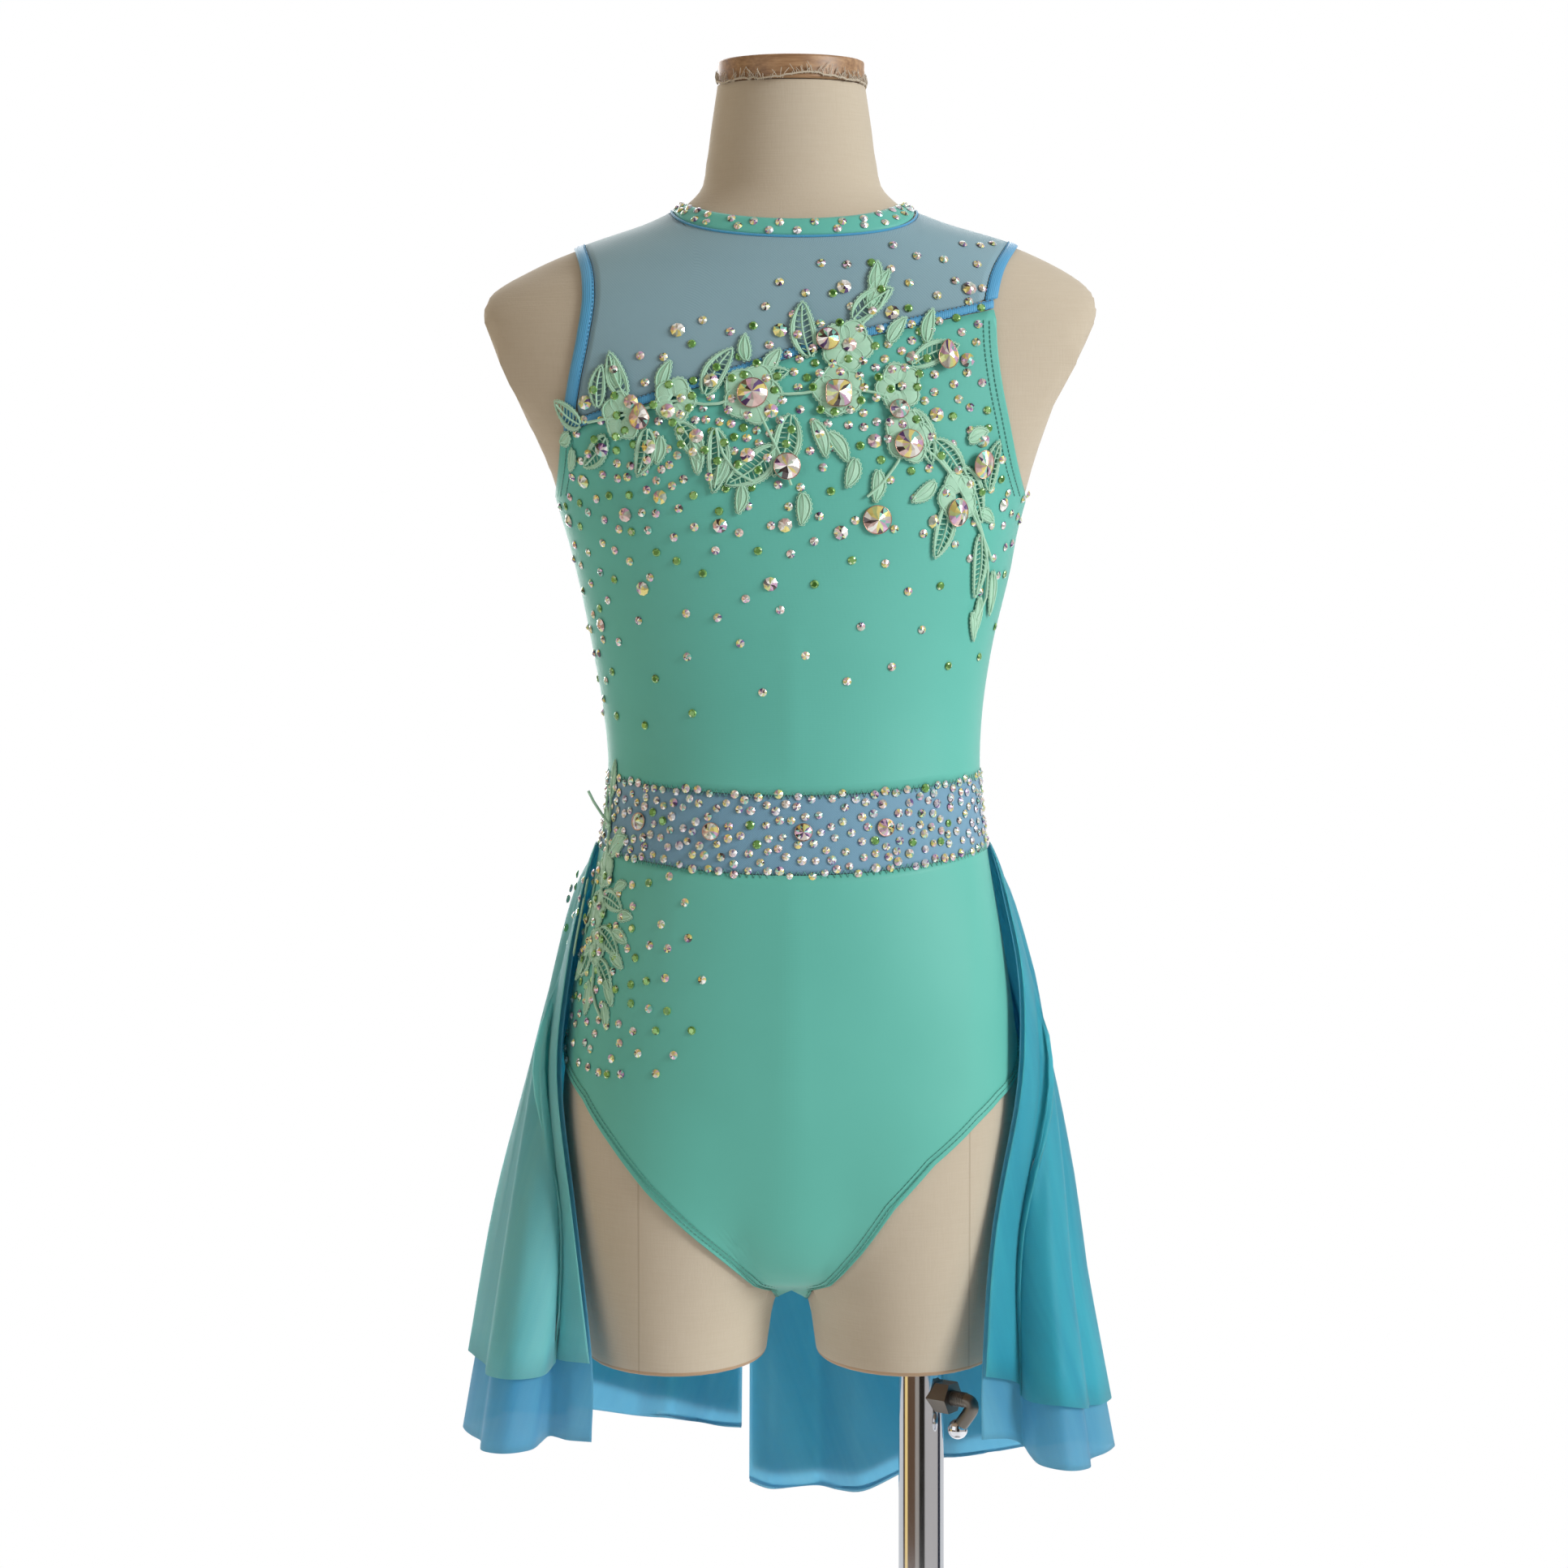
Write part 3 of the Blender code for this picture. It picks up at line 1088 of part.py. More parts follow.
def stones(surface):
    """The large stones: a flat back, a girdle and a crown that comes to a point."""
    for index, row in enumerate(STONES, start=1):
        across, height, half, tall, kind, on_lace = row
        place = facing(across, height, -1)
        normal = outward(place)
        right = np.cross(normal, (0.0, 0.0, 1.0))
        right = right / np.linalg.norm(right)
        up = np.cross(right, normal)
        base = STONE_SEAT + (CHEST_LACE_LIFT + LACE if on_lace else CLEAR + CLOTH)
        outline = stone_outline(kind, half, tall)
        mesh = bmesh.new()
        loops = []
        for scale, lift in ((0.9, 0.0), (1.0, GIRDLE * half), (0.6, TABLE * half)):
            spread_out = scale * (outline[:, :1] * right + outline[:, 1:] * up)
            points = place + normal * (base + lift) + spread_out
            loops.append(list(add_points(mesh, points)))
        apex = add_points(mesh, (place + normal * (base + APEX * half))[None])[0]
        mesh.faces.new(loops[0])
        for near, far in zip(loops, loops[1:]):
            for j in range(len(near)):
                k = (j + 1) % len(near)
                mesh.faces.new((near[j], near[k], far[k], far[j]))
        for j in range(len(outline)):
            mesh.faces.new((loops[-1][j], loops[-1][(j + 1) % len(outline)], apex))
        finish(f"stone_{kind}_{index}", mesh, surface, smooth=False)


def main():
    for old in list(bpy.data.objects):
        bpy.data.objects.remove(old, do_unlink=True)
    linen = material("linen", (0.50, 0.43, 0.34), 0.9)
    wood = material("wood", (0.40, 0.25, 0.14), 0.6)
    chrome = material("chrome", (0.62, 0.60, 0.58), 0.15, 1.0)
    steel = material("steel", (0.55, 0.54, 0.53), 0.3, 1.0)
    spandex = material("spandex", (0.15, 0.50, 0.40), 0.55)
    mesh_cloth = material("mesh_cloth", (0.22, 0.36, 0.48), 0.7)
    binding = material("binding", (0.08, 0.32, 0.55), 0.6)
    under_cloth = material("under_cloth", (0.10, 0.35, 0.60), 0.6)
    outer_cloth = material("outer_cloth", (0.08, 0.48, 0.60), 0.6)
    lace_thread = material("lace_thread", (0.35, 0.62, 0.45), 0.8)
    glass = material("glass", (0.8, 0.76, 0.82), 0.1)
    form_body(linen)
    stand(chrome, wood, steel)
    leotard_top(mesh_cloth, spandex, binding, binding)
    waist_and_neck(mesh_cloth, spandex)
    brief(spandex)
    skirt(under_cloth, outer_cloth)
    lace("lace_chest", CHEST_LEAVES, CHEST_BLOSSOMS, CHEST_STEM, CHEST_LACE_LIFT, lace_thread)
    lace("lace_hip", HIP_LEAVES, HIP_BLOSSOMS, HIP_STEM, HIP_LACE_LIFT, lace_thread)
    stones(glass)


main()
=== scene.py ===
import math
import random

import bmesh
import bpy
import numpy as np
from mathutils import Matrix, Vector


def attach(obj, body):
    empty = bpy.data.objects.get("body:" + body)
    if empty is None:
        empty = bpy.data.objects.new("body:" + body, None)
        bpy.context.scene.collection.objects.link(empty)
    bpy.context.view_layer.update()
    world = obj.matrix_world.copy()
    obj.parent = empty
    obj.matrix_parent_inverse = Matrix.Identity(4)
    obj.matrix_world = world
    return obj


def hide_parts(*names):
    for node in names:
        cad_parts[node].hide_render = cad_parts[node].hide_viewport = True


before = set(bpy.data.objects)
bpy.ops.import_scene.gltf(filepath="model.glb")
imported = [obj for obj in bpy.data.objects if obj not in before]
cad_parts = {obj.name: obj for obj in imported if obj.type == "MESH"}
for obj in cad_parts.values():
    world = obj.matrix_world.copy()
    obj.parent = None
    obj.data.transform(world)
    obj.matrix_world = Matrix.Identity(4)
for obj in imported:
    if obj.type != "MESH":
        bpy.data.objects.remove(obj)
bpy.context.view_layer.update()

mm = 0.001
formX = -72.0  # the form's centre line, in millimetres as all the tables are


# Node trees

class Link:
    # a node's output, written in sums and products as if it were its value
    def __init__(self, nodes, socket):
        self.nodes = nodes
        self.socket = socket

    def __add__(self, other):
        return self.nodes.maths("ADD", self, other)

    def __sub__(self, other):
        return self.nodes.maths("SUBTRACT", self, other)

    def __rsub__(self, other):
        return self.nodes.maths("SUBTRACT", other, self)

    def __mul__(self, other):
        return self.nodes.maths("MULTIPLY", self, other)


class Nodes:
    # short ways to add nodes to a tree
    def __init__(self, tree):
        self.tree = tree

    def put(self, node, values):
        for name, value in values.items():
            socket = node.inputs[name]
            if isinstance(value, Link):
                self.tree.links.new(value.socket, socket)
            elif socket.type == "RGBA":
                socket.default_value = (*value[:3], 1.0)
            else:
                socket.default_value = value

    def node(self, kind, settings=None, inputs=None, output=0):
        made = self.tree.nodes.new("ShaderNode" + kind)
        for name, value in (settings or {}).items():
            if name == "stops":
                self.setStops(made.color_ramp, value)
            elif name == "blend":
                made.color_ramp.interpolation = value
            else:
                setattr(made, name, value)
        self.put(made, inputs or {})
        return Link(self, made.outputs[output])

    def setStops(self, ramp, stops):
        while len(ramp.elements) < len(stops):
            ramp.elements.new(0.5)
        for element, (place, colour) in zip(ramp.elements, stops):
            element.position = place
            element.color = (*colour, 1.0)

    def maths(self, operation, *values):
        return self.node("Math", {"operation": operation}, dict(enumerate(values)))

    def mix(self, factor, first, second):
        return self.node("Mix", {"data_type": "RGBA"}, {0: factor, 6: first, 7: second}, output=2)

    def objectPlace(self, scale=(1, 1, 1)):
        place = self.node("TexCoord", output="Object")
        return self.node("Mapping", inputs={"Vector": place, "Scale": scale})

    def clothPlace(self, scale=(1, 1, 1), turn=0.0):
        place = self.node("UVMap", {"uv_map": "UVMap"})
        return self.node("Mapping", inputs={"Vector": place, "Scale": scale, "Rotation": (0, 0, turn)})

    def axis(self, place, name):
        return self.node("SeparateXYZ", inputs={0: place}, output="XYZ".index(name))

    def noise(self, place, scale, detail=2.0, roughness=0.5):
        return self.node("TexNoise", inputs={"Vector": place, "Scale": scale, "Detail": detail,
                                             "Roughness": roughness})

    def attribute(self, name):
        return self.node("Attribute", {"attribute_name": name}, output=2)


class Look(Nodes):
    # a material; the constants are the shader's other inputs, with _ for each space
    def __init__(self, name, colour, roughness, **constants):
        self.material = bpy.data.materials.new(name)
        self.material.use_nodes = True
        super().__init__(self.material.node_tree)
        self.shader = self.tree.nodes["Principled BSDF"]
        named = {key.replace("_", " "): value for key, value in constants.items()}
        self.put(self.shader, {"Base Color": colour, "Roughness": roughness, **named})

    def translucent(self, share, colour):
        # lets light through thin cloth
        through = self.node("BsdfTranslucent", inputs={"Color": colour})
        mixed = self.node("MixShader", inputs={0: share, 1: Link(self, self.shader.outputs[0]), 2: through})
        self.put(self.tree.nodes["Material Output"], {"Surface": mixed})

    def bump(self, height, strength, distance):
        normal = self.node("Bump", inputs={"Height": height, "Strength": strength, "Distance": distance})
        self.put(self.shader, {"Normal": normal})


# Camera, floor and light

cameraSetup = {
    "place": (-0.072, -2.0, 1.010),
    "width": 0.8694,  # what the frame takes in at 2 m
    "distance": 2.0,
    "shiftUp": -368 / 1932,
    "shiftRight": -9 / 1932,
}


def sceneColour(red, green, blue):
    # a screen colour, 0 to 255, as Blender's linear colour
    shares = [c / 255 for c in (red, green, blue)]
    return tuple(c / 12.92 if c <= 0.04045 else ((c + 0.055) / 1.055) ** 2.4 for c in shares)


def addCamera():
    data = bpy.data.cameras.new("camera")
    data.sensor_width = 36.0
    data.lens = 36.0 * cameraSetup["distance"] / cameraSetup["width"]
    data.shift_y = cameraSetup["shiftUp"]
    data.shift_x = cameraSetup["shiftRight"]
    camera = bpy.data.objects.new("camera", data)
    camera.location = cameraSetup["place"]
    camera.rotation_euler = (math.pi / 2, 0, 0)
    bpy.context.scene.collection.objects.link(camera)
    bpy.context.scene.camera = camera


lightSetup = {
    "key": {"place": (2.7, -1.55, 2.1), "size": 1.3, "power": 92, "colour": (0.96, 0.985, 1.0)},
    "fill": {"place": (-2.4, -2.0, 1.2), "size": 2.2, "power": 18, "colour": (0.93, 0.97, 1.0)},
    "back": {"place": (-0.5, 2.5, 1.5), "size": 2.4, "power": 80, "colour": (1.0, 1.0, 1.0)},
    "seen": 1.0,  # how bright the background looks
    "ambient": 0.62,  # how much it lights
    "aim": 0.85,  # height that every lamp faces, in metres
    "floorRadius": 1.25,
}

# the room that polished metal shows: bearings from the camera, in degrees, and the colour from each on
roomBands = (
    (-180, (1.15, 1.17, 1.2)), (-107, (0.13, 0.075, 0.05)), (-93, (1.7, 1.25, 0.5)),
    (-76, (0.2, 0.11, 0.06)), (-33, (0.62, 0.56, 0.5)), (-12, (0.03, 0.025, 0.02)),
    (16, (0.84, 0.8, 0.78)), (92, (0.04, 0.045, 0.07)), (112, (1.15, 1.17, 1.2)),
)


def addLight(name, place, size, power, colour):
    data = bpy.data.lights.new(name, "AREA")
    data.size = size
    data.energy = power
    data.color = colour
    lamp = bpy.data.objects.new(name, data)
    lamp.location = place
    aim = Vector((formX * mm, 0, lightSetup["aim"])) - Vector(place)
    lamp.rotation_euler = aim.to_track_quat("-Z", "Y").to_euler()
    bpy.context.scene.collection.objects.link(lamp)


def roomColour(room):
    # upright bands round the studio, softly joined
    soft = 0.006
    stops = []
    for turn, colour in roomBands:
        place = (turn + 180) / 360
        if stops:
            stops.append((place - soft, stops[-1][1]))
        stops.append((place + soft if stops else 0.0, colour))
    around = room.node("TexCoord", output="Generated")
    bearing = room.maths("ARCTAN2", room.axis(around, "X"), room.axis(around, "Y") * -1.0)
    share = room.maths("MULTIPLY_ADD", bearing, 0.5 / math.pi, 0.5)
    return room.node("ValToRGB", {"stops": stops}, {"Fac": share})


def addStudio():
    for name in ("key", "fill", "back"):
        addLight(name + "Light", **lightSetup[name])
    world = bpy.data.worlds.new("studio")
    bpy.context.scene.world = world
    world.use_nodes = True
    room = Nodes(world.node_tree)
    seen = room.tree.nodes["Background"]
    room.put(seen, {"Color": (1, 1, 1), "Strength": lightSetup["seen"]})
    lighting = room.node("Background", inputs={"Color": roomColour(room), "Strength": lightSetup["ambient"]})
    fromCamera = room.node("LightPath", output="Is Camera Ray")
    mixed = room.node("MixShader", inputs={0: fromCamera, 1: lighting, 2: Link(room, seen.outputs[0])})
    room.put(room.tree.nodes["World Output"], {"Surface": mixed})
    bpy.context.scene.view_settings.view_transform = "Standard"


# Materials

def sines(look, place, name, pitch):
    # a smooth 0 to 1 wave along one axis, pitch in the units of the place
    wave = look.maths("SINE", look.axis(place, name) * (2 * math.pi / pitch))
    return wave * 0.5 + 0.5


clothColours = {name: sceneColour(*shade) for name, shade in {
    "mint": (107, 194, 178),
    "mintDeep": (90, 177, 161),
    "meshBlue": (150, 184, 194),
    "meshDeep": (112, 146, 160),
    "waistBlue": (128, 172, 196),
    "waistDeep": (100, 142, 168),
    "bindingBlue": (86, 168, 210),
    "bindingDeep": (62, 142, 190),
    # the outer skirt's -X tones, partly painted light: made lighter to stand in for light on its shaded side
    "skirtMint": (168, 238, 234),
    "skirtCyan": (90, 212, 230),
    "skirtDeep": (52, 168, 202),
    "skirtMintDeep": (126, 212, 220),
    "underBlue": (136, 206, 228),
    "underDeep": (84, 166, 208),
    "thread": (120, 212, 192),
    "hemThread": (52, 128, 116),
    "blueThread": (70, 150, 205),
    "lace": (190, 230, 202),
    "laceDeep": (146, 204, 170),
    "linen": (204, 193, 174),
    "linenDark": (186, 170, 146),
    "linenSeam": (158, 142, 120),
    "linenRim": (172, 138, 104),
}.items()}

# distance from rib to rib or thread to thread, in millimetres
clothPitch = {"ribs": 0.55, "courses": 0.7, "net": 0.95, "elastic": 1.1, "skirt": 0.8}


def stretchCloth(name, light, deep):
    # smooth stretch knit: fine ribs, a soft sheen and faint changes of tone
    look = Look(name, light, 0.52, Sheen_Weight=0.35, Sheen_Roughness=0.35, Specular_IOR_Level=0.35)
    cloud = look.noise(look.objectPlace(), 9.0, 3.0)
    place = look.clothPlace()
    ribs = sines(look, place, "X", clothPitch["ribs"]) * 0.6
    ribs = ribs + sines(look, place, "Y", clothPitch["courses"]) * 0.4
    grain = look.noise(look.objectPlace(), 1500.0, 1.0)
    colour = look.mix(cloud * 0.9, light, deep)
    look.put(look.shader, {"Base Color": colour, "Roughness": cloud * 0.12 + 0.46})
    look.bump(ribs * 0.7 + grain * 0.3, 0.18, 0.0002)
    return look


def netCloth(name, light, deep, alpha):
    # fine net: a diamond grid of holes, darker than its threads
    look = Look(name, light, 0.62, Alpha=alpha, Sheen_Weight=0.3, Specular_IOR_Level=0.3)
    place = look.clothPlace(turn=math.radians(45))
    holes = sines(look, place, "X", clothPitch["net"]) * sines(look, place, "Y", clothPitch["net"])
    cloud = look.noise(look.objectPlace(), 14.0, 3.0)
    shade = holes * 0.5 + cloud * 0.35
    look.put(look.shader, {"Base Color": look.mix(shade, light, deep)})
    look.bump(1.0 - holes, 0.3, 0.0002)
    return look


# the outer skirt's turn of colour is partly a real change of hue and partly painted light, lighter on the
# shaded -X side
turnReach = 70.0  # half the width over which the skirt's colour turns


def skirtCloth(name, light, deep, alpha, shift=0.0, beyond=None):
    # soft sheer mesh: colour deepens in bands that follow the fall of the cloth, and the outer
    # layer turns from the first pair of colours to the pair beyond, from -X to +X; this turn is
    # partly a real change of hue and partly painted light: the first pair is lighter for the shaded -X side
    look = Look(name, light, 0.5, Alpha=alpha, Sheen_Weight=0.5, Sheen_Roughness=0.4, Specular_IOR_Level=0.3)
    place = look.clothPlace(scale=(0.03, 0.0022, 1))
    bands = look.noise(place, 1.0, 3.0, 0.6)
    fine = look.noise(look.clothPlace(scale=(0.35, 0.012, 1)), 1.0, 2.0)
    shade = look.node("ValToRGB", {"stops": ((0.3, (0, 0, 0)), (0.72, (1, 1, 1)))},
                      {"Fac": bands * 0.8 + fine * 0.2 + shift})
    colour = look.mix(shade, light, deep)
    # painted light in part: the turn to the +X tones leaves the shaded -X side lighter
    if beyond:
        across = look.axis(look.objectPlace(), "X")
        start, end = (formX - turnReach) * mm, (formX + turnReach) * mm
        turned = look.node("MapRange", inputs={0: across, 1: start, 2: end})
        colour = look.mix(turned, colour, look.mix(shade, *beyond))
    look.put(look.shader, {"Base Color": colour})
    place = look.clothPlace()
    weave = sines(look, place, "X", clothPitch["skirt"]) * sines(look, place, "Y", clothPitch["skirt"])
    look.bump(weave * 0.4 + fine * 0.6, 0.25, 0.0006)
    look.translucent(0.5, light)
    return look


def foldedElastic(name, light, deep):
    look = Look(name, light, 0.5, Sheen_Weight=0.4, Specular_IOR_Level=0.4)
    ribs = sines(look, look.clothPlace(), "X", clothPitch["elastic"])
    cloud = look.noise(look.objectPlace(), 60.0, 2.0)
    look.put(look.shader, {"Base Color": look.mix(ribs * 0.35 + cloud * 0.4, light, deep)})
    look.bump(ribs, 0.35, 0.0003)
    return look


def spunThread(name, light, deep, scale=900.0):
    look = Look(name, light, 0.55, Sheen_Weight=0.5, Specular_IOR_Level=0.35)
    twist = look.node("TexWave", {"bands_direction": "DIAGONAL"},
                      {"Vector": look.objectPlace(), "Scale": scale, "Distortion": 2.0})
    cloud = look.noise(look.objectPlace(), 120.0, 2.0)
    look.put(look.shader, {"Base Color": look.mix(cloud * 0.8, light, deep)})
    look.bump(twist, 0.4, 0.0002)
    return look


# marks drawn on the linen, in millimetres: the thighs' seams and the browner rims
linenMarks = {"seams": (-82.0, 96.0), "seamHalf": 0.5, "seamTop": 710.0, "seamDepth": -20.0, "rimTop": 533.5}


def linenCloth():
    # plain weave with slubs, a seam down the front of each thigh, and browner cut rims
    light, deep = clothColours["linen"], clothColours["linenDark"]
    look = Look("linenCloth", light, 0.9, Sheen_Weight=0.15, Specular_IOR_Level=0.2)
    warp = look.noise(look.objectPlace(scale=(1, 1, 0.06)), 1300.0, 2.0)
    weft = look.noise(look.objectPlace(scale=(0.05, 0.05, 1)), 1200.0, 2.0)
    cloud = look.noise(look.objectPlace(), 7.0, 4.0)
    shade = warp * 0.3 + weft * 0.3 + cloud * 0.35
    colour = look.mix(shade, light, deep)
    across, depth, height = (look.axis(look.objectPlace(), name) for name in "XYZ")
    front = look.maths("LESS_THAN", depth, linenMarks["seamDepth"] * mm)
    low = look.maths("LESS_THAN", height, linenMarks["seamTop"] * mm)
    left, right = (look.maths("COMPARE", across, (formX + x) * mm, linenMarks["seamHalf"] * mm)
                   for x in linenMarks["seams"])
    line = look.maths("MAXIMUM", left, right) * front * low
    colour = look.mix(line * 0.4, colour, clothColours["linenSeam"])
    rim = look.maths("LESS_THAN", height, linenMarks["rimTop"] * mm)
    colour = look.mix(rim * 0.75, colour, clothColours["linenRim"])
    look.put(look.shader, {"Base Color": colour})
    look.bump(warp * 0.5 + weft * 0.5 - line * 0.8, 0.45, 0.0004)
    return look


def colourStops(tones):
    return [(place, sceneColour(*shade)) for place, *shade in tones]


def turnedWood():
    look = Look("turnedWood", sceneColour(172, 134, 98), 0.5, Coat_Weight=0.15, Coat_Roughness=0.3)
    place = look.objectPlace(scale=(1, 14, 20))
    grain = look.noise(place, 22.0, 5.0, 0.65)
    tones = ((0.25, 120, 86, 56), (0.5, 158, 120, 84), (0.75, 190, 152, 112))
    colour = look.node("ValToRGB", {"stops": colourStops(tones)}, {"Fac": grain})
    look.put(look.shader, {"Base Color": colour, "Roughness": grain * 0.3 + 0.35})
    look.bump(grain, 0.2, 0.0004)
    return look


def polishedMetal(name, colour, rough, wear):
    # plated or dark steel with faint smudges along its length
    look = Look(name, colour, rough, Metallic=1.0, Specular_IOR_Level=0.5)
    smudge = look.noise(look.objectPlace(scale=(1, 1, 0.25)), 45.0, 4.0, 0.6)
    look.put(look.shader, {"Roughness": smudge * wear + rough,
                           "Base Color": look.mix(smudge * 0.4, colour, tuple(c * 0.8 for c in colour))})
    look.bump(look.noise(look.objectPlace(), 900.0, 1.0), 0.03, 0.0001)
    return look


def paintedSteel():
    look = Look("paintedSteel", sceneColour(196, 196, 198), 0.38, Metallic=0.85)
    brushed = look.noise(look.objectPlace(scale=(1, 1, 8)), 180.0, 4.0, 0.7)
    worn = look.noise(look.objectPlace(), 12.0, 3.0)
    colour = look.mix(worn * 0.5, sceneColour(202, 202, 204), sceneColour(160, 160, 164))
    look.put(look.shader, {"Roughness": brushed * 0.12 + worn * 0.15 + 0.25, "Base Color": colour})
    look.bump(brushed, 0.08, 0.0002)
    return look


# the share of the facets from which each tone runs, and its red, green and blue; the tones are partly the
# foil coating's colours and partly painted glints and reflections, the near-white ones painted glints and the
# darkest painted dark reflections
crystalTonesAndGlints = {
    "shifting": ((0.0, 206, 198, 186), (0.14, 228, 194, 188), (0.26, 236, 220, 132), (0.4, 190, 202, 184),
                 (0.52, 254, 252, 246), (0.64, 106, 80, 134), (0.69, 218, 176, 206),
                 (0.77, 142, 210, 192), (0.85, 82, 70, 70), (0.9, 214, 226, 152)),
    "green": ((0.0, 104, 158, 76), (0.32, 128, 180, 96), (0.58, 82, 130, 58), (0.74, 156, 204, 122),
              (0.88, 224, 240, 200), (0.94, 56, 92, 42)),
    "violet": ((0.0, 200, 204, 214), (0.22, 222, 208, 216), (0.38, 224, 224, 158), (0.52, 250, 250, 252),
               (0.66, 228, 212, 184), (0.76, 128, 104, 160), (0.82, 168, 216, 204),
               (0.93, 104, 98, 106)),
}


def cutCrystal(kind):
    # foiled glass: every facet takes its own tone from the piece's own attribute, the coating's colour
    # together with painted glints and reflections
    stops = colourStops(crystalTonesAndGlints[kind])
    look = Look(kind + "Crystal", stops[0][1], 0.16, Metallic=0.4, Coat_Weight=0.8, Coat_Roughness=0.05)
    colour = look.node("ValToRGB", {"stops": stops, "blend": "CONSTANT"}, {"Fac": look.attribute("facet")})
    look.put(look.shader, {"Base Color": colour})
    look.bump(look.noise(look.objectPlace(), 2200.0, 1.0), 0.02, 0.0001)
    return look


# Measured shapes, in millimetres; x runs from the form's centre line and -y faces the camera

thighTop = 700.0  # above this the thigh fades into the torso
plateTop = 1000.0  # the flat arm plates lie above this
crotchTop = 580.0  # below this the torso fades out between the thighs
blend = 10.0  # how softly thigh and torso run together
underarm = 996.0
yokeSpread = 135.0  # half width that the upper panels are spread over
spreadRise = 34.0  # height over which that width is reached above the underarm
panelCrowd = 1.9  # how far a panel's rows crowd towards the shoulder
armholeMiddle = 1090.0
bindingLow = {"left": 1020.0, "right": 1060.0}  # where each armhole binding ends below
armBinding = 6.5
seamElastic = 4.4
seam = 0.3  # gap at a seam
neckSeam = 1.0
neckSide, neckFront, neckBack = 1164.5, 1153.5, 1172.0
neckLowSide, neckLowFront, neckLowBack = 1160.8, 1144.2, 1161.5
waistTop = (844.0, 851.0)  # height at centre front and at the sides
waistLow = (802.0, 812.0)
legSide = 703.0  # height of the leg opening at the side seam
fan = 640.0  # the brief's sections fan round a point at this height
gusset = 5.5
gussetLow = 566.0
skirtSideAngle = 83.0  # where the skirt's front edge starts, from centre front
skirtSplit = (193.1, 192.4)  # where left and right meet at the back
# how early the flare comes: the power of the height at the waist, and what the hem adds to it
skirtFlare = {"left": (0.57, 0.03), "right": (0.52, 0.1)}
skirtRows = (0.0, 0.1, 0.25, 0.46, 0.72, 1.0)
skirtSteps = 2  # columns from a crest to the next hollow
skirtSpread = 1.2  # how much further apart the layers hang below the seam
skirtSwing = 1.35  # how late the front edge swings forward
skirtClear = 3.0
skirtStand = (3.0, 2.3)  # how much further left and right stand off from the hips down
mitre = 3.2  # most that a sharp fold's corner moves for each unit of its faces
laceEnd = 1.36  # how far round the side the lace may reach, in radians


torsoColumns = ("height", "half", "front", "back", "square", "lean", "plate")

torsoTable = (
    (1231, 41.0, 40, 44, 2.0, 0.0, 1.00),
    (1207, 44.5, 42, 46, 2.0, 0.0, 1.00),
    (1189, 47.0, 44, 48, 2.0, 0.0, 1.00),
    (1171, 52.5, 48, 51, 2.0, 0.5, 1.00),
    (1162, 63.5, 51, 54, 2.0, 1.0, 1.00),
    (1153, 83.5, 54, 57, 2.0, 3.0, 1.00),
    (1144, 112.0, 57, 60, 2.0, 5.0, 1.00),
    (1135, 134.5, 60, 63, 2.1, 4.0, 1.00),
    (1126, 152.0, 62, 66, 2.2, 3.0, 1.00),
    (1117, 163.2, 65, 69, 2.3, 1.0, 1.02),
    (1108, 166.8, 67, 71, 2.4, -0.3, 1.06),
    (1081, 158.5, 73, 77, 2.5, -1.5, 1.14),
    (1054, 145.2, 78, 80, 2.5, -2.4, 1.14),
    (1027, 134.4, 82, 79, 2.4, -0.8, 1.08),
    (1009, 129.0, 83, 78, 2.4, 0.0, 1.02),
    (991, 125.0, 83, 76, 2.4, 0.0, 1.00),
    (964, 118.6, 80, 72, 2.3, 1.0, 1.00),
    (919, 108.5, 74, 66, 2.3, 0.5, 1.00),
    (883, 102.9, 71, 64, 2.2, 1.0, 1.00),
    (856, 101.2, 71, 65, 2.2, 1.5, 1.00),
    (811, 105.5, 75, 74, 2.2, 1.0, 1.00),
    (757, 115.0, 80, 88, 2.2, 0.5, 1.00),
    (717, 121.5, 82, 95, 2.2, 0.0, 1.00),
    (672, 124.0, 81, 96, 2.3, 0.0, 1.00),
    (650, 118.0, 79, 92, 2.3, 0.0, 1.00),
    (627, 104.0, 76, 85, 2.2, 0.0, 1.00),
    (604, 82.0, 71, 75, 2.0, 0.0, 1.00),
    (586, 52.0, 60, 58, 2.0, 0.0, 1.00),
    (572, 26.0, 40, 36, 2.0, 0.0, 1.00),
    (562, 8.0, 18, 16, 2.0, 0.0, 1.00),
)

thighColumns = ("height", "centre", "half", "front", "back")

thighTable = (
    (700, 48.0, 66.0, 62, 66),
    (672, 50.0, 73.0, 71, 80),
    (650, 53.0, 73.0, 72, 82),
    (627, 56.0, 69.5, 72, 80),
    (604, 59.0, 64.5, 70, 76),
    (580, 61.5, 59.5, 68, 71),
    (568, 62.3, 57.0, 67, 69),
    (559, 63.5, 54.0, 66, 68),
    (545, 63.5, 51.5, 65, 66),
    (531, 63.5, 49.5, 64, 65),
)

armholeColumns = ("height", "left", "right", "back_left", "back_right")

armholeTable = (
    (1143, -121.0, 126.0, -121.0, 126.0),
    (1128, -114.5, 116.0, -116.0, 118.0),
    (1114, -112.5, 111.5, -114.0, 114.5),
    (1090, -115.0, 110.0, -115.0, 113.0),
    (1066, -119.5, 112.5, -119.0, 116.0),
    (1045, -122.5, 116.5, -122.0, 120.0),
    (1020, -125.2, 122.0, -125.5, 124.5),
    (1003, -128.4, 127.4, -128.4, 127.4),
)

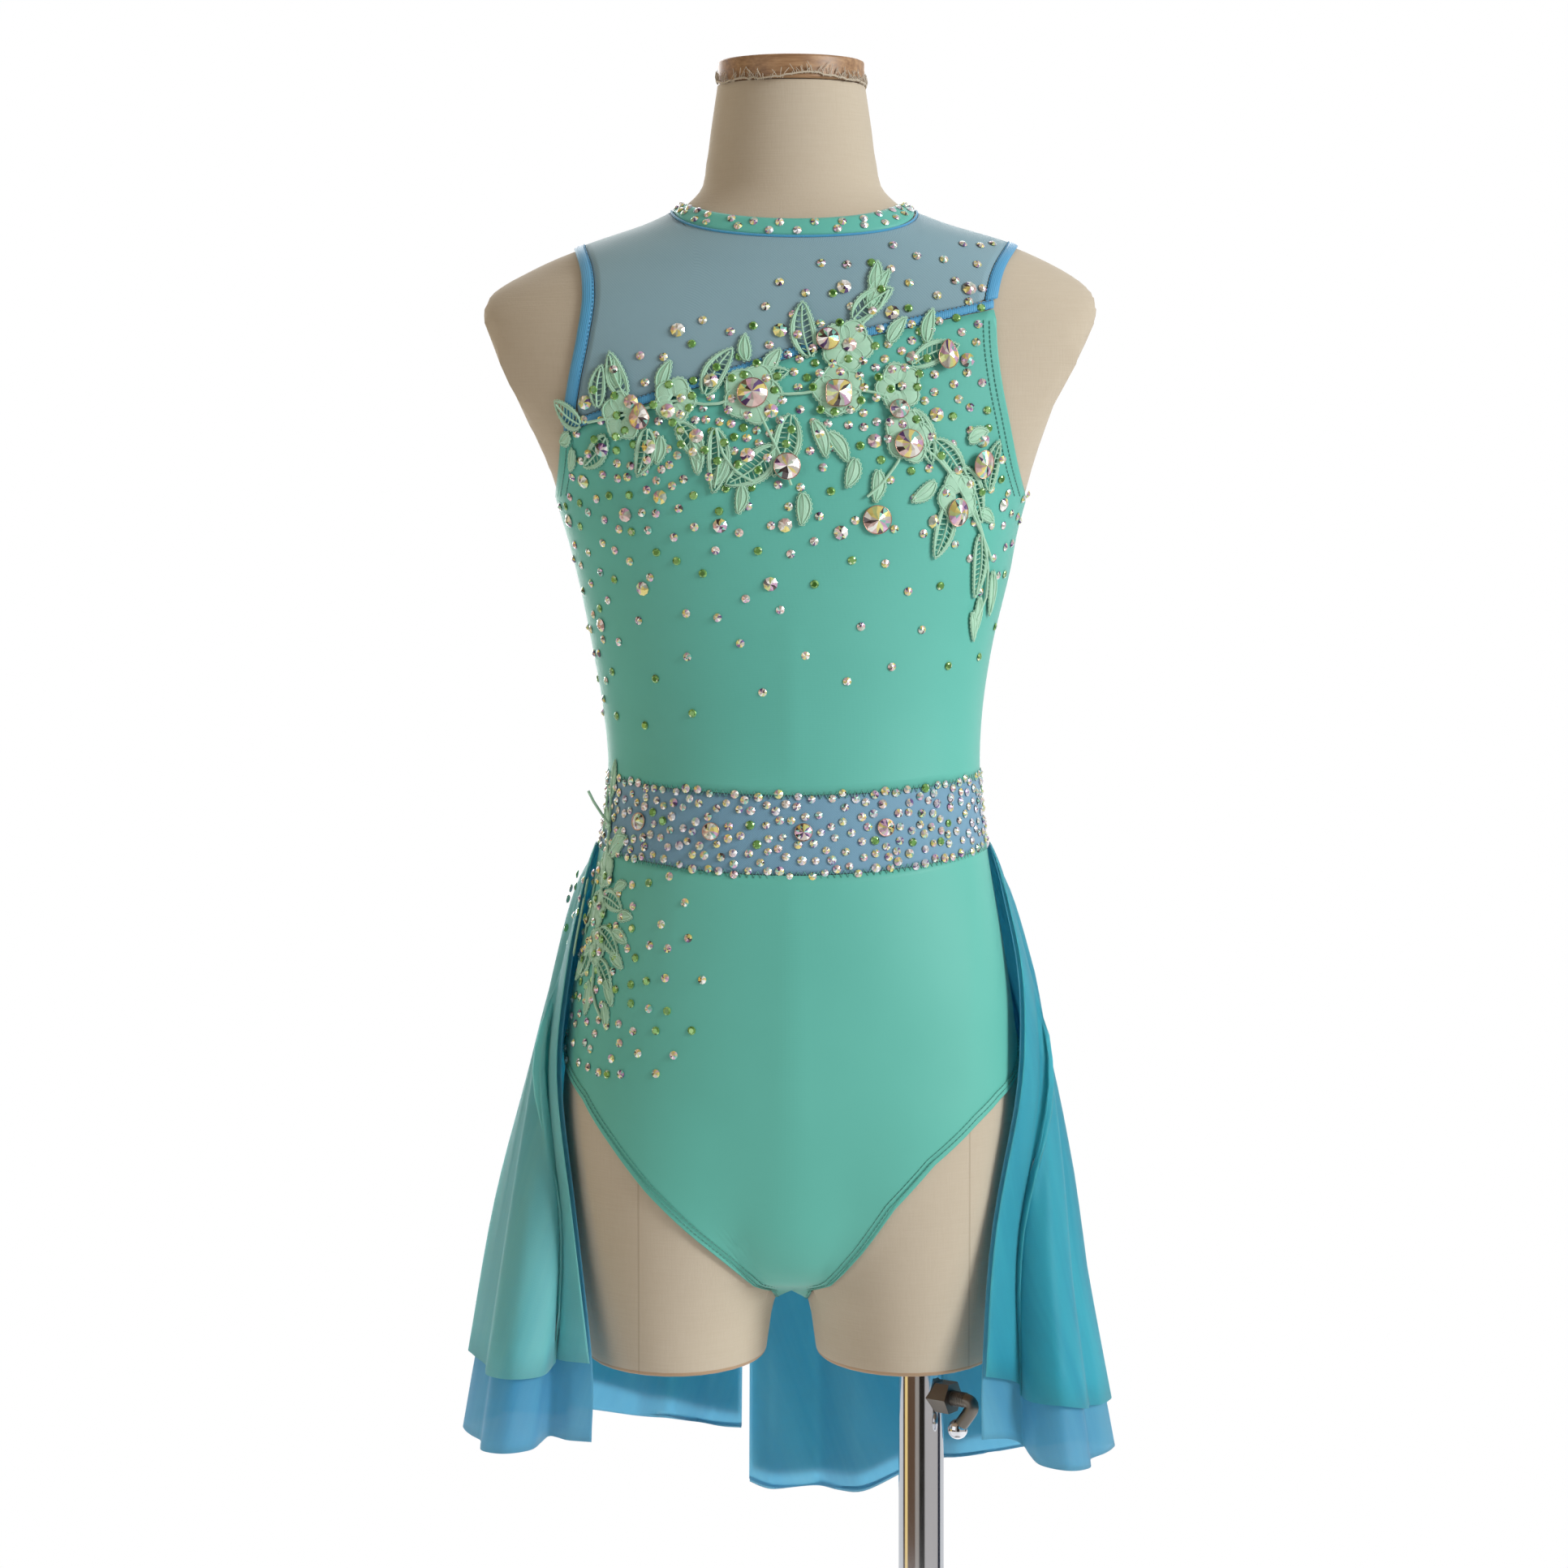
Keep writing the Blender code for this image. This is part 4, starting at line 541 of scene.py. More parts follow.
# lines drawn on the form, (x, height): the chest seam in front and behind, then the leg openings
diagonal = (
    (-122.5, 1040.5), (-102.0, 1047.8), (-75.8, 1056.3), (-49.8, 1064.5), (-19.5, 1074.1),
    (2.6, 1081.5), (28.2, 1088.5), (52.1, 1094.2), (89.2, 1102.7), (109.6, 1107.3),
)

backDiagonal = (
    (-122.3, 1042.0), (-60.0, 1058.0), (0.0, 1072.0), (60.0, 1090.0), (113.6, 1106.0),
)

legLeft = (
    (-122.4, 692.2), (-111.7, 677.2), (-96.9, 656.2), (-77.7, 632.3), (-54.6, 609.7), (-31.4, 589.0),
    (-17.0, 574.5),
)

legRight = (
    (122.4, 687.0), (111.5, 677.0), (99.6, 667.0), (75.5, 646.0), (54.6, 623.0), (38.7, 599.3),
    (22.3, 578.5),
)

legBack = (
    (118.0, 684.0), (104.0, 664.0), (86.0, 640.0), (64.0, 614.0), (42.0, 592.0), (20.0, 576.0),
)

hemColumns = ("across", "depth", "under", "outer")

# each crest and hollow of a hem, from the skirt's front edge to the split at the back
hemRight = (
    (101, -84, 503, 534), (116, -71, 500, 529), (125, -63, 494, 522), (132, -80, 489, 519),
    (147, -90, 488, 518), (159, -76, 486, 514), (161, -52, 484, 510), (170, -40, 484, 508),
    (177, -14, 482, 506), (162, 14, 476, 500), (176, 48, 470, 490), (140, 62, 460, 474),
    (142, 104, 450, 462), (98, 98, 445, 455), (80, 132, 434, 444), (42, 113, 424, 432),
    (16, 136, 419, 427), (-10, 119, 423, 430), (-25, 127, 426, 432),
)

hemLeft = (
    (-107, -66, 497, 537), (-120, -62, 497, 537), (-131, -54, 497, 536), (-138, -76, 496, 532),
    (-152, -86, 496, 531), (-165, -75, 495, 531), (-167, -52, 494, 531), (-174, -36, 493, 531),
    (-180, -10, 492, 530), (-162, 12, 491, 526), (-172, 50, 484, 512), (-130, 58, 480, 502),
    (-130, 102, 473, 492), (-92, 94, 470, 484), (-72, 126, 460, 472), (-48, 111, 461, 470),
    (-29, 126, 456, 464),
)

# thick leaves: x and height of the stalk's end, turn, length, width
chestLeaves = (
    (-112, 1043, 150, 24, 12), (-103, 1052, 80, 22, 11), (-98, 1036, 215, 26, 12),
    (-88, 1057, 115, 26, 12), (-76, 1040, 250, 26, 12), (-60, 1043, 300, 24, 12),
    (-46, 1058, 60, 28, 12), (-40, 1040, 265, 34, 12), (-30, 1060, 20, 30, 12), (10, 1078, 100, 30, 13),
    (0, 1047, 250, 34, 14), (-8, 1030, 215, 34, 15), (33, 1098, 40, 26, 13), (64, 1074, 20, 30, 12),
    (64, 1050, 290, 30, 13), (76, 1034, 310, 32, 13), (90, 1020, 300, 34, 14), (84, 1002, 250, 32, 13),
    (104, 1008, 70, 28, 12), (100, 984, 265, 34, 13), (107, 964, 275, 24, 9),
)

# blossoms: x, height, radius
chestBlossoms = (
    (-90, 1047, 13), (-62, 1055, 12), (-21, 1058, 16), (25, 1060, 14), (30, 1084, 14), (57, 1062, 13),
    (62, 1036, 14), (88, 1004, 14),
)

chestStem = (
    (-108, 1044), (-90, 1047), (-62, 1055), (-42, 1052), (-21, 1058), (4, 1058), (25, 1062), (50, 1058),
    (62, 1036), (80, 1022), (90, 1006), (98, 990), (106, 970),
)

hipLeaves = (
    (-96, 840, 75, 20, 8), (-97, 824, 150, 18, 9), (-97, 808, 30, 22, 9), (-102, 800, 190, 20, 10),
    (-100, 786, 345, 22, 10), (-106, 780, 210, 22, 10), (-102, 768, 330, 24, 11),
    (-107, 760, 235, 22, 11), (-103, 752, 315, 22, 10),
)

hipBlossoms = ((-99, 800, 10), (-103, 779, 10), (-104, 759, 10))

hipStem = ((-96, 842), (-97, 822), (-99, 800), (-103, 779), (-104, 759), (-106, 736))

# large stones: x, height, half width, half height, cut, and whether it sits on lace
stoneTable = (
    (-80.1, 1045.9, 5.4, 7.0, "drop", 1),
    (-20.7, 1058.4, 8.0, 8.0, "round", 1),
    (25.1, 1058.4, 6.7, 7.2, "square", 1),
    (19.5, 1087.2, 6.0, 6.0, "round", 1),
    (-2.2, 1019.9, 7.0, 7.0, "round", 1),
    (45.3, 991.9, 7.6, 7.6, "round", 0),
    (61.8, 1032.0, 7.6, 7.6, "round", 1),
    (101.0, 1022.2, 5.8, 7.6, "oval", 1),
    (83.3, 1078.6, 5.4, 7.9, "drop", 1),
    (57.1, 1050.2, 5.0, 5.0, "round", 1),
    (86.9, 996.1, 5.9, 7.4, "oval", 1),
    (-81.2, 827.9, 4.6, 4.6, "round", 0),
    (-42.5, 824.6, 4.6, 4.6, "round", 0),
    (6.5, 824.7, 4.6, 4.6, "round", 0),
    (50.0, 826.6, 4.6, 4.6, "round", 0),
)


# One column of a table as an array.
def column(table, names, name):
    at = names.index(name)
    return np.array([row[at] for row in table], float)


# Points on smooth curves, at shares of the way from one place to the next.
def eased(t, start, end, leave, arrive, step=1.0):
    near = (2 * t**3 - 3 * t**2 + 1) * start + (t**3 - 2 * t**2 + t) * step * leave
    far = (3 * t**2 - 2 * t**3) * end + (t**3 - t**2) * step * arrive
    return near + far


# A smooth curve through the points, as a function; xs may run either way.
def through(xs, ys):
    xs, ys = np.asarray(xs, float), np.asarray(ys, float)
    if xs[0] > xs[-1]:
        xs, ys = xs[::-1], ys[::-1]
    slopes = np.gradient(ys, xs)

    def at(x):
        x = np.clip(x, xs[0], xs[-1])
        i = np.clip(np.searchsorted(xs, x) - 1, 0, len(xs) - 2)
        step = xs[i + 1] - xs[i]
        return eased((x - xs[i]) / step, ys[i], ys[i + 1], slopes[i], slopes[i + 1], step)

    return at


# A smooth curve against the first column for each of the other columns.
def tableCurves(table, names):
    first = column(table, names, names[0])
    return {name: through(first, column(table, names, name)) for name in names[1:]}


torso = tableCurves(torsoTable, torsoColumns)
thigh = tableCurves(thighTable, thighColumns)
armhole = tableCurves(armholeTable, armholeColumns)


# Vectors drawn out or in to a length of one.
def unit(vectors):
    return vectors / np.linalg.norm(vectors, axis=-1, keepdims=True)


# Lengths run so far along one axis of a line or a grid of points.
def runLengths(points, axis=0):
    steps = np.linalg.norm(np.diff(points, axis=axis), axis=-1)
    return np.concatenate([0 * np.take(steps, [0], axis), np.cumsum(steps, axis=axis)], axis=axis)


# Roughly how far a point lies outside the torso, negative inside; plates flattens the arm ends.
def torsoGap(x, y, z, plates):
    wide = torso["half"](z) * torso["plate"](z)
    deep = np.where(y < 0, torso["front"](z), torso["back"](z))
    square = torso["square"](z)
    off = x - torso["lean"](z)
    reach = ((np.abs(off) / wide) ** square + (np.abs(y) / deep) ** square) ** (1 / square)
    gap = (reach - 1) * np.minimum(wide, deep) + 1.2 * np.maximum(crotchTop - z, 0)
    if not plates:
        return gap
    return np.where(z > plateTop, np.maximum(gap, np.abs(off) - torso["half"](z)), gap)


# The same for one thigh; side is -1 or 1.
def thighGap(x, y, z, side):
    deep = np.where(y < 0, thigh["front"](z), thigh["back"](z))
    wide = thigh["half"](z)
    reach = np.sqrt(((x - side * thigh["centre"](z)) / wide) ** 2 + (y / deep) ** 2)
    return (reach - 1) * np.minimum(wide, deep) + np.maximum(z - thighTop, 0)


def softLeast(a, b):
    h = np.clip(0.5 + 0.5 * (b - a) / blend, 0, 1)
    return b * (1 - h) + a * h - blend * h * (1 - h)


# Roughly how far points lie outside the whole form.
def gap(points, plates=False):
    x, y, z = points[..., 0], points[..., 1], points[..., 2]
    legs = softLeast(thighGap(x, y, z, 1), thighGap(x, y, z, -1))
    body = torsoGap(x, y, z, plates)
    return np.where(z < thighTop + 4 * blend, softLeast(legs, body), body)


# The form's outward direction at points near it.
def outward(points):
    step = 0.4
    parts = []
    for axis in range(3):
        shift = np.zeros(3)
        shift[axis] = step
        parts.append(gap(points + shift) - gap(points - shift))
    return unit(np.stack(parts, axis=-1))


# The first place where rays from inside the form come out of it.
def hit(start, way, reach=260.0, steps=65, plates=False):
    start, way = np.broadcast_arrays(np.asarray(start, float), np.asarray(way, float))
    marks = np.linspace(0, reach, steps)
    outside = np.stack([gap(start + way * m, plates) > 0 for m in marks])
    first = np.argmax(outside, axis=0)
    low = marks[np.maximum(first - 1, 0)]
    high = marks[first]
    for _ in range(26):
        middle = (low + high) / 2
        out = gap(start + way * middle[..., None], plates) > 0
        low, high = np.where(out, low, middle), np.where(out, middle, high)
    return start + way * ((low + high) / 2)[..., None]


# Points of the form's surface at angles from centre front, +X first, and heights.
def ring(angles, heights, plates=False):
    angles, heights = np.broadcast_arrays(np.radians(angles), np.asarray(heights, float))
    deep = np.where(np.cos(angles) > 0, torso["front"](heights), torso["back"](heights))
    wide = torso["half"](heights) * torso["plate"](heights)
    way = np.stack([np.sin(angles) * wide, -np.cos(angles) * deep, np.zeros_like(deep)], axis=-1)
    start = np.stack([torso["lean"](heights), np.zeros_like(deep), heights], axis=-1)
    return hit(start, unit(way), plates=plates)


# Points of the form's front (side -1) or back (side 1), from across and height.
def facing(across, heights, side):
    across, heights = np.broadcast_arrays(np.asarray(across, float), np.asarray(heights, float))
    start = np.stack([across, np.zeros_like(across), heights], axis=-1)
    return hit(start, np.array([0.0, float(side), 0.0]))


# Even shares from 0 to 1, or crowded towards 1 by a power above 1.
def shares(count, power=1.0):
    return 1 - (1 - np.linspace(0, 1, count)) ** power


# The polyline's points resampled at those shares of its length.
def evenly(points, count, power=1.0):
    points = np.asarray(points, float)
    lengths = runLengths(points)
    wanted = shares(count, power) * lengths[-1]
    return np.stack([np.interp(wanted, lengths, points[:, i]) for i in range(points.shape[1])], axis=1)


# A grid inside four border lines; left and right run upwards, low and top from left to right.
def patch(left, right, low, top, rows, power=1.0):
    left, right = evenly(left, rows, power), evenly(right, rows, power)
    s = np.linspace(0, 1, len(low))[None, :, None]
    t = shares(rows, power)[:, None, None]
    across = (1 - s) * left[:, None, :] + s * right[:, None, :]
    along = (1 - t) * low[None, :, :] + t * top[None, :, :]
    corners = (1 - t) * ((1 - s) * low[0] + s * low[-1]) + t * ((1 - s) * top[0] + s * top[-1])
    return across + along - corners


# Where a point of an upper panel lies on the grid that it is drawn on, and the grid's half width there.
def spread(across, heights):
    near = np.clip((heights - underarm) / spreadRise, 0, 1)
    under = float(torso["half"](underarm))
    body = torso["half"](heights) * torso["plate"](heights)
    full = np.where(heights > underarm, under + (yokeSpread - under) * near, body)
    return np.degrees(np.arcsin(np.clip((across - torso["lean"](heights)) / full, -1, 1))), full


# Surface points of an upper panel from its grid of (spread angle, height).
def upper(grid, side):
    angle, heights = grid[..., 0], grid[..., 1]
    _, full = spread(np.zeros_like(heights), heights)
    across = torso["lean"](heights) + full * np.sin(np.radians(angle))
    wide = torso["half"](heights) * torso["plate"](heights)
    deep = torso["front"](heights) if side < 0 else torso["back"](heights)
    square = torso["square"](heights)
    share = np.clip(np.abs(across - torso["lean"](heights)) / wide, 0, 1)
    depth = side * deep * (1 - share**square) ** (1 / square)
    return np.stack([across, depth, heights], axis=-1)


# (across, height) border points as (spread angle, height).
def onGrid(points):
    points = np.asarray(points, float)
    angle, _ = spread(points[:, 0], points[:, 1])
    return np.stack([angle, points[:, 1]], axis=1)


# (across, height) along an armhole from a height up to the shoulder, set in from its edge.
def armholeLine(sideName, front, inset, low):
    name = sideName if front else "back_" + sideName
    sign = 1 if sideName == "left" else -1
    heights = np.linspace(low, neckLowSide, 600)
    across = armhole[name](heights) + sign * inset
    ridge = torso["lean"](heights) - sign * torso["half"](heights)
    end = np.argmax((heights > armholeMiddle) & (sign * (across - ridge) < 0))
    return np.stack([across, heights], axis=1)[:end]


# Height of the neck binding's lower or upper edge round the neck.
def neckHeight(angles, low):
    front, side, back = ((neckLowFront, neckLowSide, neckLowBack) if low
                         else (neckFront, neckSide, neckBack))
    turn = np.radians(angles)
    middle = np.where(np.cos(turn) > 0, front, back)
    return side + (middle - side) * np.cos(turn) ** 2


# Height at a share of the way up the neck binding.
def neckAt(angles, share):
    return neckHeight(angles, True) * (1 - share) + neckHeight(angles, False) * share


# (across, height) along the neckline below the binding, from -X to +X.
def neckLine(front):
    angles = np.linspace(-90, 90, 25) if front else np.linspace(270, 90, 25)
    points = ring(angles, neckHeight(angles, True) - neckSeam)
    return points[:, [0, 2]]


# (across, height) along the shoulder seam from the neck out to the armhole.
def shoulderLine(sign, start):
    neck = neckLine(True)[0 if sign < 0 else -1]
    heights = np.linspace(neck[1], start[1], 7)
    across = torso["lean"](heights) + sign * torso["half"](heights)
    return np.stack([across, heights], axis=1)


# (across, height) along the chest seam, moved up by shift.
def diagonalLine(front, shift):
    line = np.array(diagonal if front else backDiagonal, float)
    curve = through(line[:, 0], line[:, 1])
    across = np.linspace(line[0, 0] - 3, line[-1, 0] + 3, 60)
    slope = (line[-1, 1] - line[0, 1]) / (line[-1, 0] - line[0, 0])
    inner = np.clip(across, line[0, 0], line[-1, 0])
    heights = curve(inner) + slope * (across - inner)
    return np.stack([across, heights + shift], axis=1)


# The part of a line between two borders that run upwards.
def trimTo(line, left, right):
    inside = line[:, 0] > np.interp(line[:, 1], left[:, 1], left[:, 0])
    inside &= line[:, 0] < np.interp(line[:, 1], right[:, 1], right[:, 0])
    return line[inside]


# Height of a waist seam; it dips at centre front and runs level round the back.
def waistHeight(angles, heights, front):
    centre, side = heights
    dip = np.sin(np.radians(angles)) ** 2 if front else 1.0
    return centre + (side - centre) * dip + np.zeros_like(angles)


# Points of one side's skirt: columns from the front edge back, rows from the waist seam down.
# The last row is the under layer's hem and the one before it lies under the outer layer's hem.
def skirtGrid(hem, sign):
    folds = np.arange(len(hem))
    fine = np.linspace(0, len(hem) - 1, (len(hem) - 1) * skirtSteps + 1)
    across, depth, low, short = (through(folds, column(hem, hemColumns, name))(fine)
                                 for name in hemColumns)
    hemPoints = np.stack([across, depth, low], axis=1)
    end = skirtSplit[1] if sign > 0 else skirtSplit[0] - 360
    standOff = skirtStand[1] if sign > 0 else skirtStand[0]
    flare = skirtFlare["right" if sign > 0 else "left"]
    angles = np.linspace(sign * skirtSideAngle, end, len(fine))
    heights = waistHeight(angles, waistLow, False) - 1.0
    top = lifted(ring(angles, heights), skirtClear)
    partWay = (top[:, 2] - short) / (top[:, 2] - low)
    rows = []
    for down in [row * partWay for row in skirtRows] + [np.ones(len(fine))]:
        reach = down ** (flare[0] + flare[1] * down)
        forward = np.where(hemPoints[:, 1] < 0, down**skirtSwing, reach)
        points = top + (hemPoints - top) * np.stack([reach, forward, down], axis=1)
        clear = skirtClear + standOff * np.minimum(3 * down, 1)
        for _ in range(3):
            lack = np.maximum(clear - gap(points), 0)[:, None]
            points = points + outward(points) * lack * 0.8
        rows.append(points)
    return np.stack(rows)


# Moves that carry each face of a grid one unit outwards along its own normal, corners mitred.
def sheetOffsets(grid):
    down = grid[1:] - grid[:-1]
    along = grid[:, 1:] - grid[:, :-1]
    faces = unit(np.cross(down[:, :-1] + down[:, 1:], along[:-1] + along[1:]))
    centres = (grid[:-1, :-1] + grid[1:, 1:]) * (1.0, 1.0, 0.0)
    faces = faces * np.sign((faces * centres).sum())
    around = np.pad(faces, ((1, 1), (1, 1), (0, 0)), mode="edge")
    corners = np.stack([around[:-1, :-1], around[:-1, 1:], around[1:, :-1], around[1:, 1:]])
    middle = unit(corners.sum(axis=0))
    lean = (corners * middle).sum(axis=-1).min(axis=0)
    return middle / np.maximum(lean, 1 / mitre)[..., None]


# Angles from side seam to side seam, -X first, as angles round the form.
def roundForm(angles, front):
    return angles if front else 180 - angles


# How far round the body from its centre line a point of its front lies.
def unrolled(across, height):
    half = float(torso["half"](height))
    return half * math.asin(max(-0.999, min(0.999, (across - float(torso["lean"](height))) / half)))


# Points near the form moved to the nearest place on it.
def settled(points):
    for _ in range(6):
        points = points - outward(points) * gap(points)[..., None]
    return points


# A finer grid along one axis, on smooth curves through its coarse points.
def refined(points, factor, axis):
    points = np.moveaxis(points, axis, 0)
    slopes = np.gradient(points, axis=0)
    marks = np.linspace(0, len(points) - 1, (len(points) - 1) * factor + 1)
    i = np.minimum(marks.astype(int), len(points) - 2)
    t = (marks - i).reshape((-1,) + (1,) * (points.ndim - 1))
    return np.moveaxis(eased(t, points[i], points[i + 1], slopes[i], slopes[i + 1]), 0, axis)


# Making pieces

def carried(points):
    # millimetres on the form to metres in the row's frame
    return (np.asarray(points, float) + (formX, 0.0, 0.0)) * mm


def lifted(points, distance):
    distance = np.asarray(distance, float)
    return points + outward(points) * (distance[..., None] if distance.ndim else distance)


def meshData(name, mesh):
    data = bpy.data.meshes.new(name)
    mesh.to_mesh(data)
    mesh.free()
    return data


def addPiece(name, mesh, look, body="form", replaced=(), slot=None):
    return addData(name, meshData(name, mesh), look, body, True, replaced, slot)


def addData(name, data, look, body="form", smooth=True, replaced=(), slot=None):
    data.name = name
    if smooth:
        data.shade_smooth()
    data.materials.clear()
    data.materials.append(look.material)
    made = bpy.data.objects.new(name, data)
    bpy.context.scene.collection.objects.link(made)
    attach(made, body)
    if replaced:
        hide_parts(*replaced)
    return made


def gridMesh(points, closed=False):
    # a grid whose vertices are carried to an array of points, with its cloth laid flat as UVs in millimetres
    if closed:
        points = np.concatenate([points, points[:, :1]], axis=1)
    rows, columns = points.shape[:2]
    along, down = runLengths(points, 1), runLengths(points, 0)
    along -= along.mean(axis=1, keepdims=True)
    places = carried(points)
    mesh = bmesh.new()
    bmesh.ops.create_grid(mesh, x_segments=columns - 1, y_segments=rows - 1, size=1.0)
    flat = mesh.loops.layers.uv.new("UVMap")
    rowLayer, columnLayer = (mesh.verts.layers.int.new(name) for name in ("row", "column"))
    for vert in mesh.verts:
        vert[rowLayer] = round((vert.co.y + 1) / 2 * (rows - 1))
        vert[columnLayer] = round((vert.co.x + 1) / 2 * (columns - 1))
    for face in mesh.faces:
        for loop in face.loops:
            cell = (loop.vert[rowLayer], loop.vert[columnLayer])
            loop[flat].uv = (along[cell], down[cell])
    for vert in mesh.verts:
        vert.co = places[vert[rowLayer], vert[columnLayer]]
    if closed:
        bmesh.ops.remove_doubles(mesh, verts=mesh.verts, dist=1e-7)
    return mesh


def addWall(mesh, inner):
    # closes a sheet's grid with a second face whose vertices go to the inner points
    rowLayer, columnLayer = (mesh.verts.layers.int[name] for name in ("row", "column"))
    made = bmesh.ops.extrude_face_region(mesh, geom=mesh.faces[:], use_keep_orig=True)["geom"]
    places = carried(inner)
    for vert in made:
        if isinstance(vert, bmesh.types.BMVert):
            vert.co = places[vert[rowLayer], vert[columnLayer] % inner.shape[1]]
    bmesh.ops.recalc_face_normals(mesh, faces=mesh.faces)


def sheetSizes(points):
    # the largest width and length of a grid of points, and its area, in metres
    along = np.linalg.norm(np.diff(points, axis=1), axis=2).sum(axis=1).max()
    down = np.linalg.norm(np.diff(points, axis=0), axis=2).sum(axis=0).max()
    first = np.cross(points[1:, :-1] - points[:-1, :-1], points[:-1, 1:] - points[:-1, :-1])
    second = np.cross(points[1:, :-1] - points[1:, 1:], points[:-1, 1:] - points[1:, 1:])
    area = (np.linalg.norm(first, axis=2) + np.linalg.norm(second, axis=2)).sum() / 2
    return along * mm, down * mm, area * mm * mm


# the least side, in metres, and the least share of its own rectangle that a sheet states
leastSheet = {"side": 0.0102, "fill": 0.31}


def clothSheet(name, points, inner, look, closed=False,
               replaced=(), slot=None):
    # a thin shell between its outer and its inner points; inner may be a thickness towards the form
    if np.isscalar(inner):
        inner = points - outward(points) * inner
    mesh = gridMesh(points, closed)
    addWall(mesh, inner)
    made = addPiece(name, mesh, look, replaced=replaced, slot=slot)
    width, length, area = sheetSizes(np.concatenate([points, points[:, :1]], axis=1) if closed else points)
    width, length = (max(size, leastSheet["side"]) for size in (width, length))
    area = min(max(area, leastSheet["fill"] * width * length), width * length)
    return made


def threadRuns(name, runs, radius, look, sides=1, rings=False, caps=True, body="form", replaced=(),
               slot=None):
    # one mesh of thin round threads, each along its own run of points in millimetres
    data = bpy.data.curves.new(name, "CURVE")
    data.dimensions = "3D"
    data.bevel_depth = radius * mm
    data.bevel_resolution = sides
    data.use_fill_caps = caps
    for run in runs:
        spline = data.splines.new("POLY")
        spline.points.add(len(run) - 1)
        places = np.concatenate([carried(run), np.ones((len(run), 1))], axis=1)
        spline.points.foreach_set("co", places.ravel())
        spline.use_cyclic_u = rings
    drawn = bpy.data.objects.new(name + "Drawn", data)
    bpy.context.scene.collection.objects.link(drawn)
    bpy.context.view_layer.update()
    made = bpy.data.meshes.new_from_object(drawn.evaluated_get(bpy.context.evaluated_depsgraph_get()))
    bpy.data.objects.remove(drawn)
    return addData(name, made, look, body, True, replaced, slot)


def alongLine(line, pitch, reach):
    # short runs of a line, one every pitch, each reach long
    line = np.asarray(line, float)
    lengths = runLengths(line)
    starts = np.arange(pitch / 2, lengths[-1] - reach, pitch)
    marks = starts[:, None] + np.array([0.0, reach / 2, reach])[None, :]
    return np.stack([np.interp(marks, lengths, line[:, k]) for k in range(3)], axis=2)


def stitches(points, lift, pitch=2.6, reach=1.9):
    # raised stitches along a line of the form's surface
    runs = alongLine(points, pitch, reach)
    return list(lifted(runs, np.broadcast_to(lift + np.array([-0.12, 0.1, -0.12]), runs.shape[:2])))


def turnedPiece(name, profile, look, sides, body, centre=(0.0, 0.0), replaced=(), slot=None):
    # a lathe profile of (radius, height) points spun about the vertical
    mesh = bmesh.new()
    verts = [mesh.verts.new((r * mm, 0, z * mm)) for r, z in profile]
    onAxis = profile[0][0] == 0
    pairs = zip(verts, verts[1:] if onAxis else verts[1:] + verts[:1])
    edges = [mesh.edges.new(pair) for pair in pairs]
    bmesh.ops.spin(mesh, geom=verts + edges, cent=(0, 0, 0), axis=(0, 0, 1), angle=2 * math.pi,
                   steps=sides, use_merge=True)
    bmesh.ops.remove_doubles(mesh, verts=mesh.verts, dist=1e-6)
    bmesh.ops.recalc_face_normals(mesh, faces=mesh.faces)
    bmesh.ops.translate(mesh, verts=mesh.verts, vec=(centre[0] * mm, centre[1] * mm, 0))
    made = addPiece(name, mesh, look, body, replaced, slot)
    made.data.set_sharp_from_angle(angle=math.radians(35))
    return made


# The dress form

formPiece = {
    "rays": 72,
    "levels": 92,
    "spacing": ((0, 0.1, 0.35, 0.8, 1), (1231, 1175, 1100, 640, 576)),  # height at shares of the rings
    "split": 576.0,  # where the torso parts round the two thighs
    "saddle": 13,
    "stumpRings": (571, 566, 560, 552, 544, 538),
    "foot": 531.0,
    "rimRound": 2.4,
    "rodBore": 11.1,
    "rodTop": 660.4,
}


def thighRows(side, angles, split, saddle):
    # rings round one thigh stump, from the split down to its cut end
    half = len(angles) // 2
    order = [side * j % len(angles) for j in range(half + 1)]
    top = np.concatenate([ring(angles, split)[order], saddle[::-1]])
    centre = np.array([side * thighTable[-1][1], 0.0])
    ways = unit(top[:, :2] - centre)
    ways = np.concatenate([ways, np.zeros((len(ways), 1))], axis=1)
    foot, rounded = formPiece["foot"], formPiece["rimRound"]
    rows = [top]
    levels = [(level, 0) for level in (*formPiece["stumpRings"], foot + 2.6)]
    levels += [(foot + rounded * (1 - math.sin(a)), rounded * (1 - math.cos(a))) for a in (0.5, 1.0, 1.5)]
    for level, inset in levels:
        points = hit(np.array([*centre, level]), ways, reach=130.0, steps=33) - ways * inset
        rows.append(points)
    return np.stack(rows)


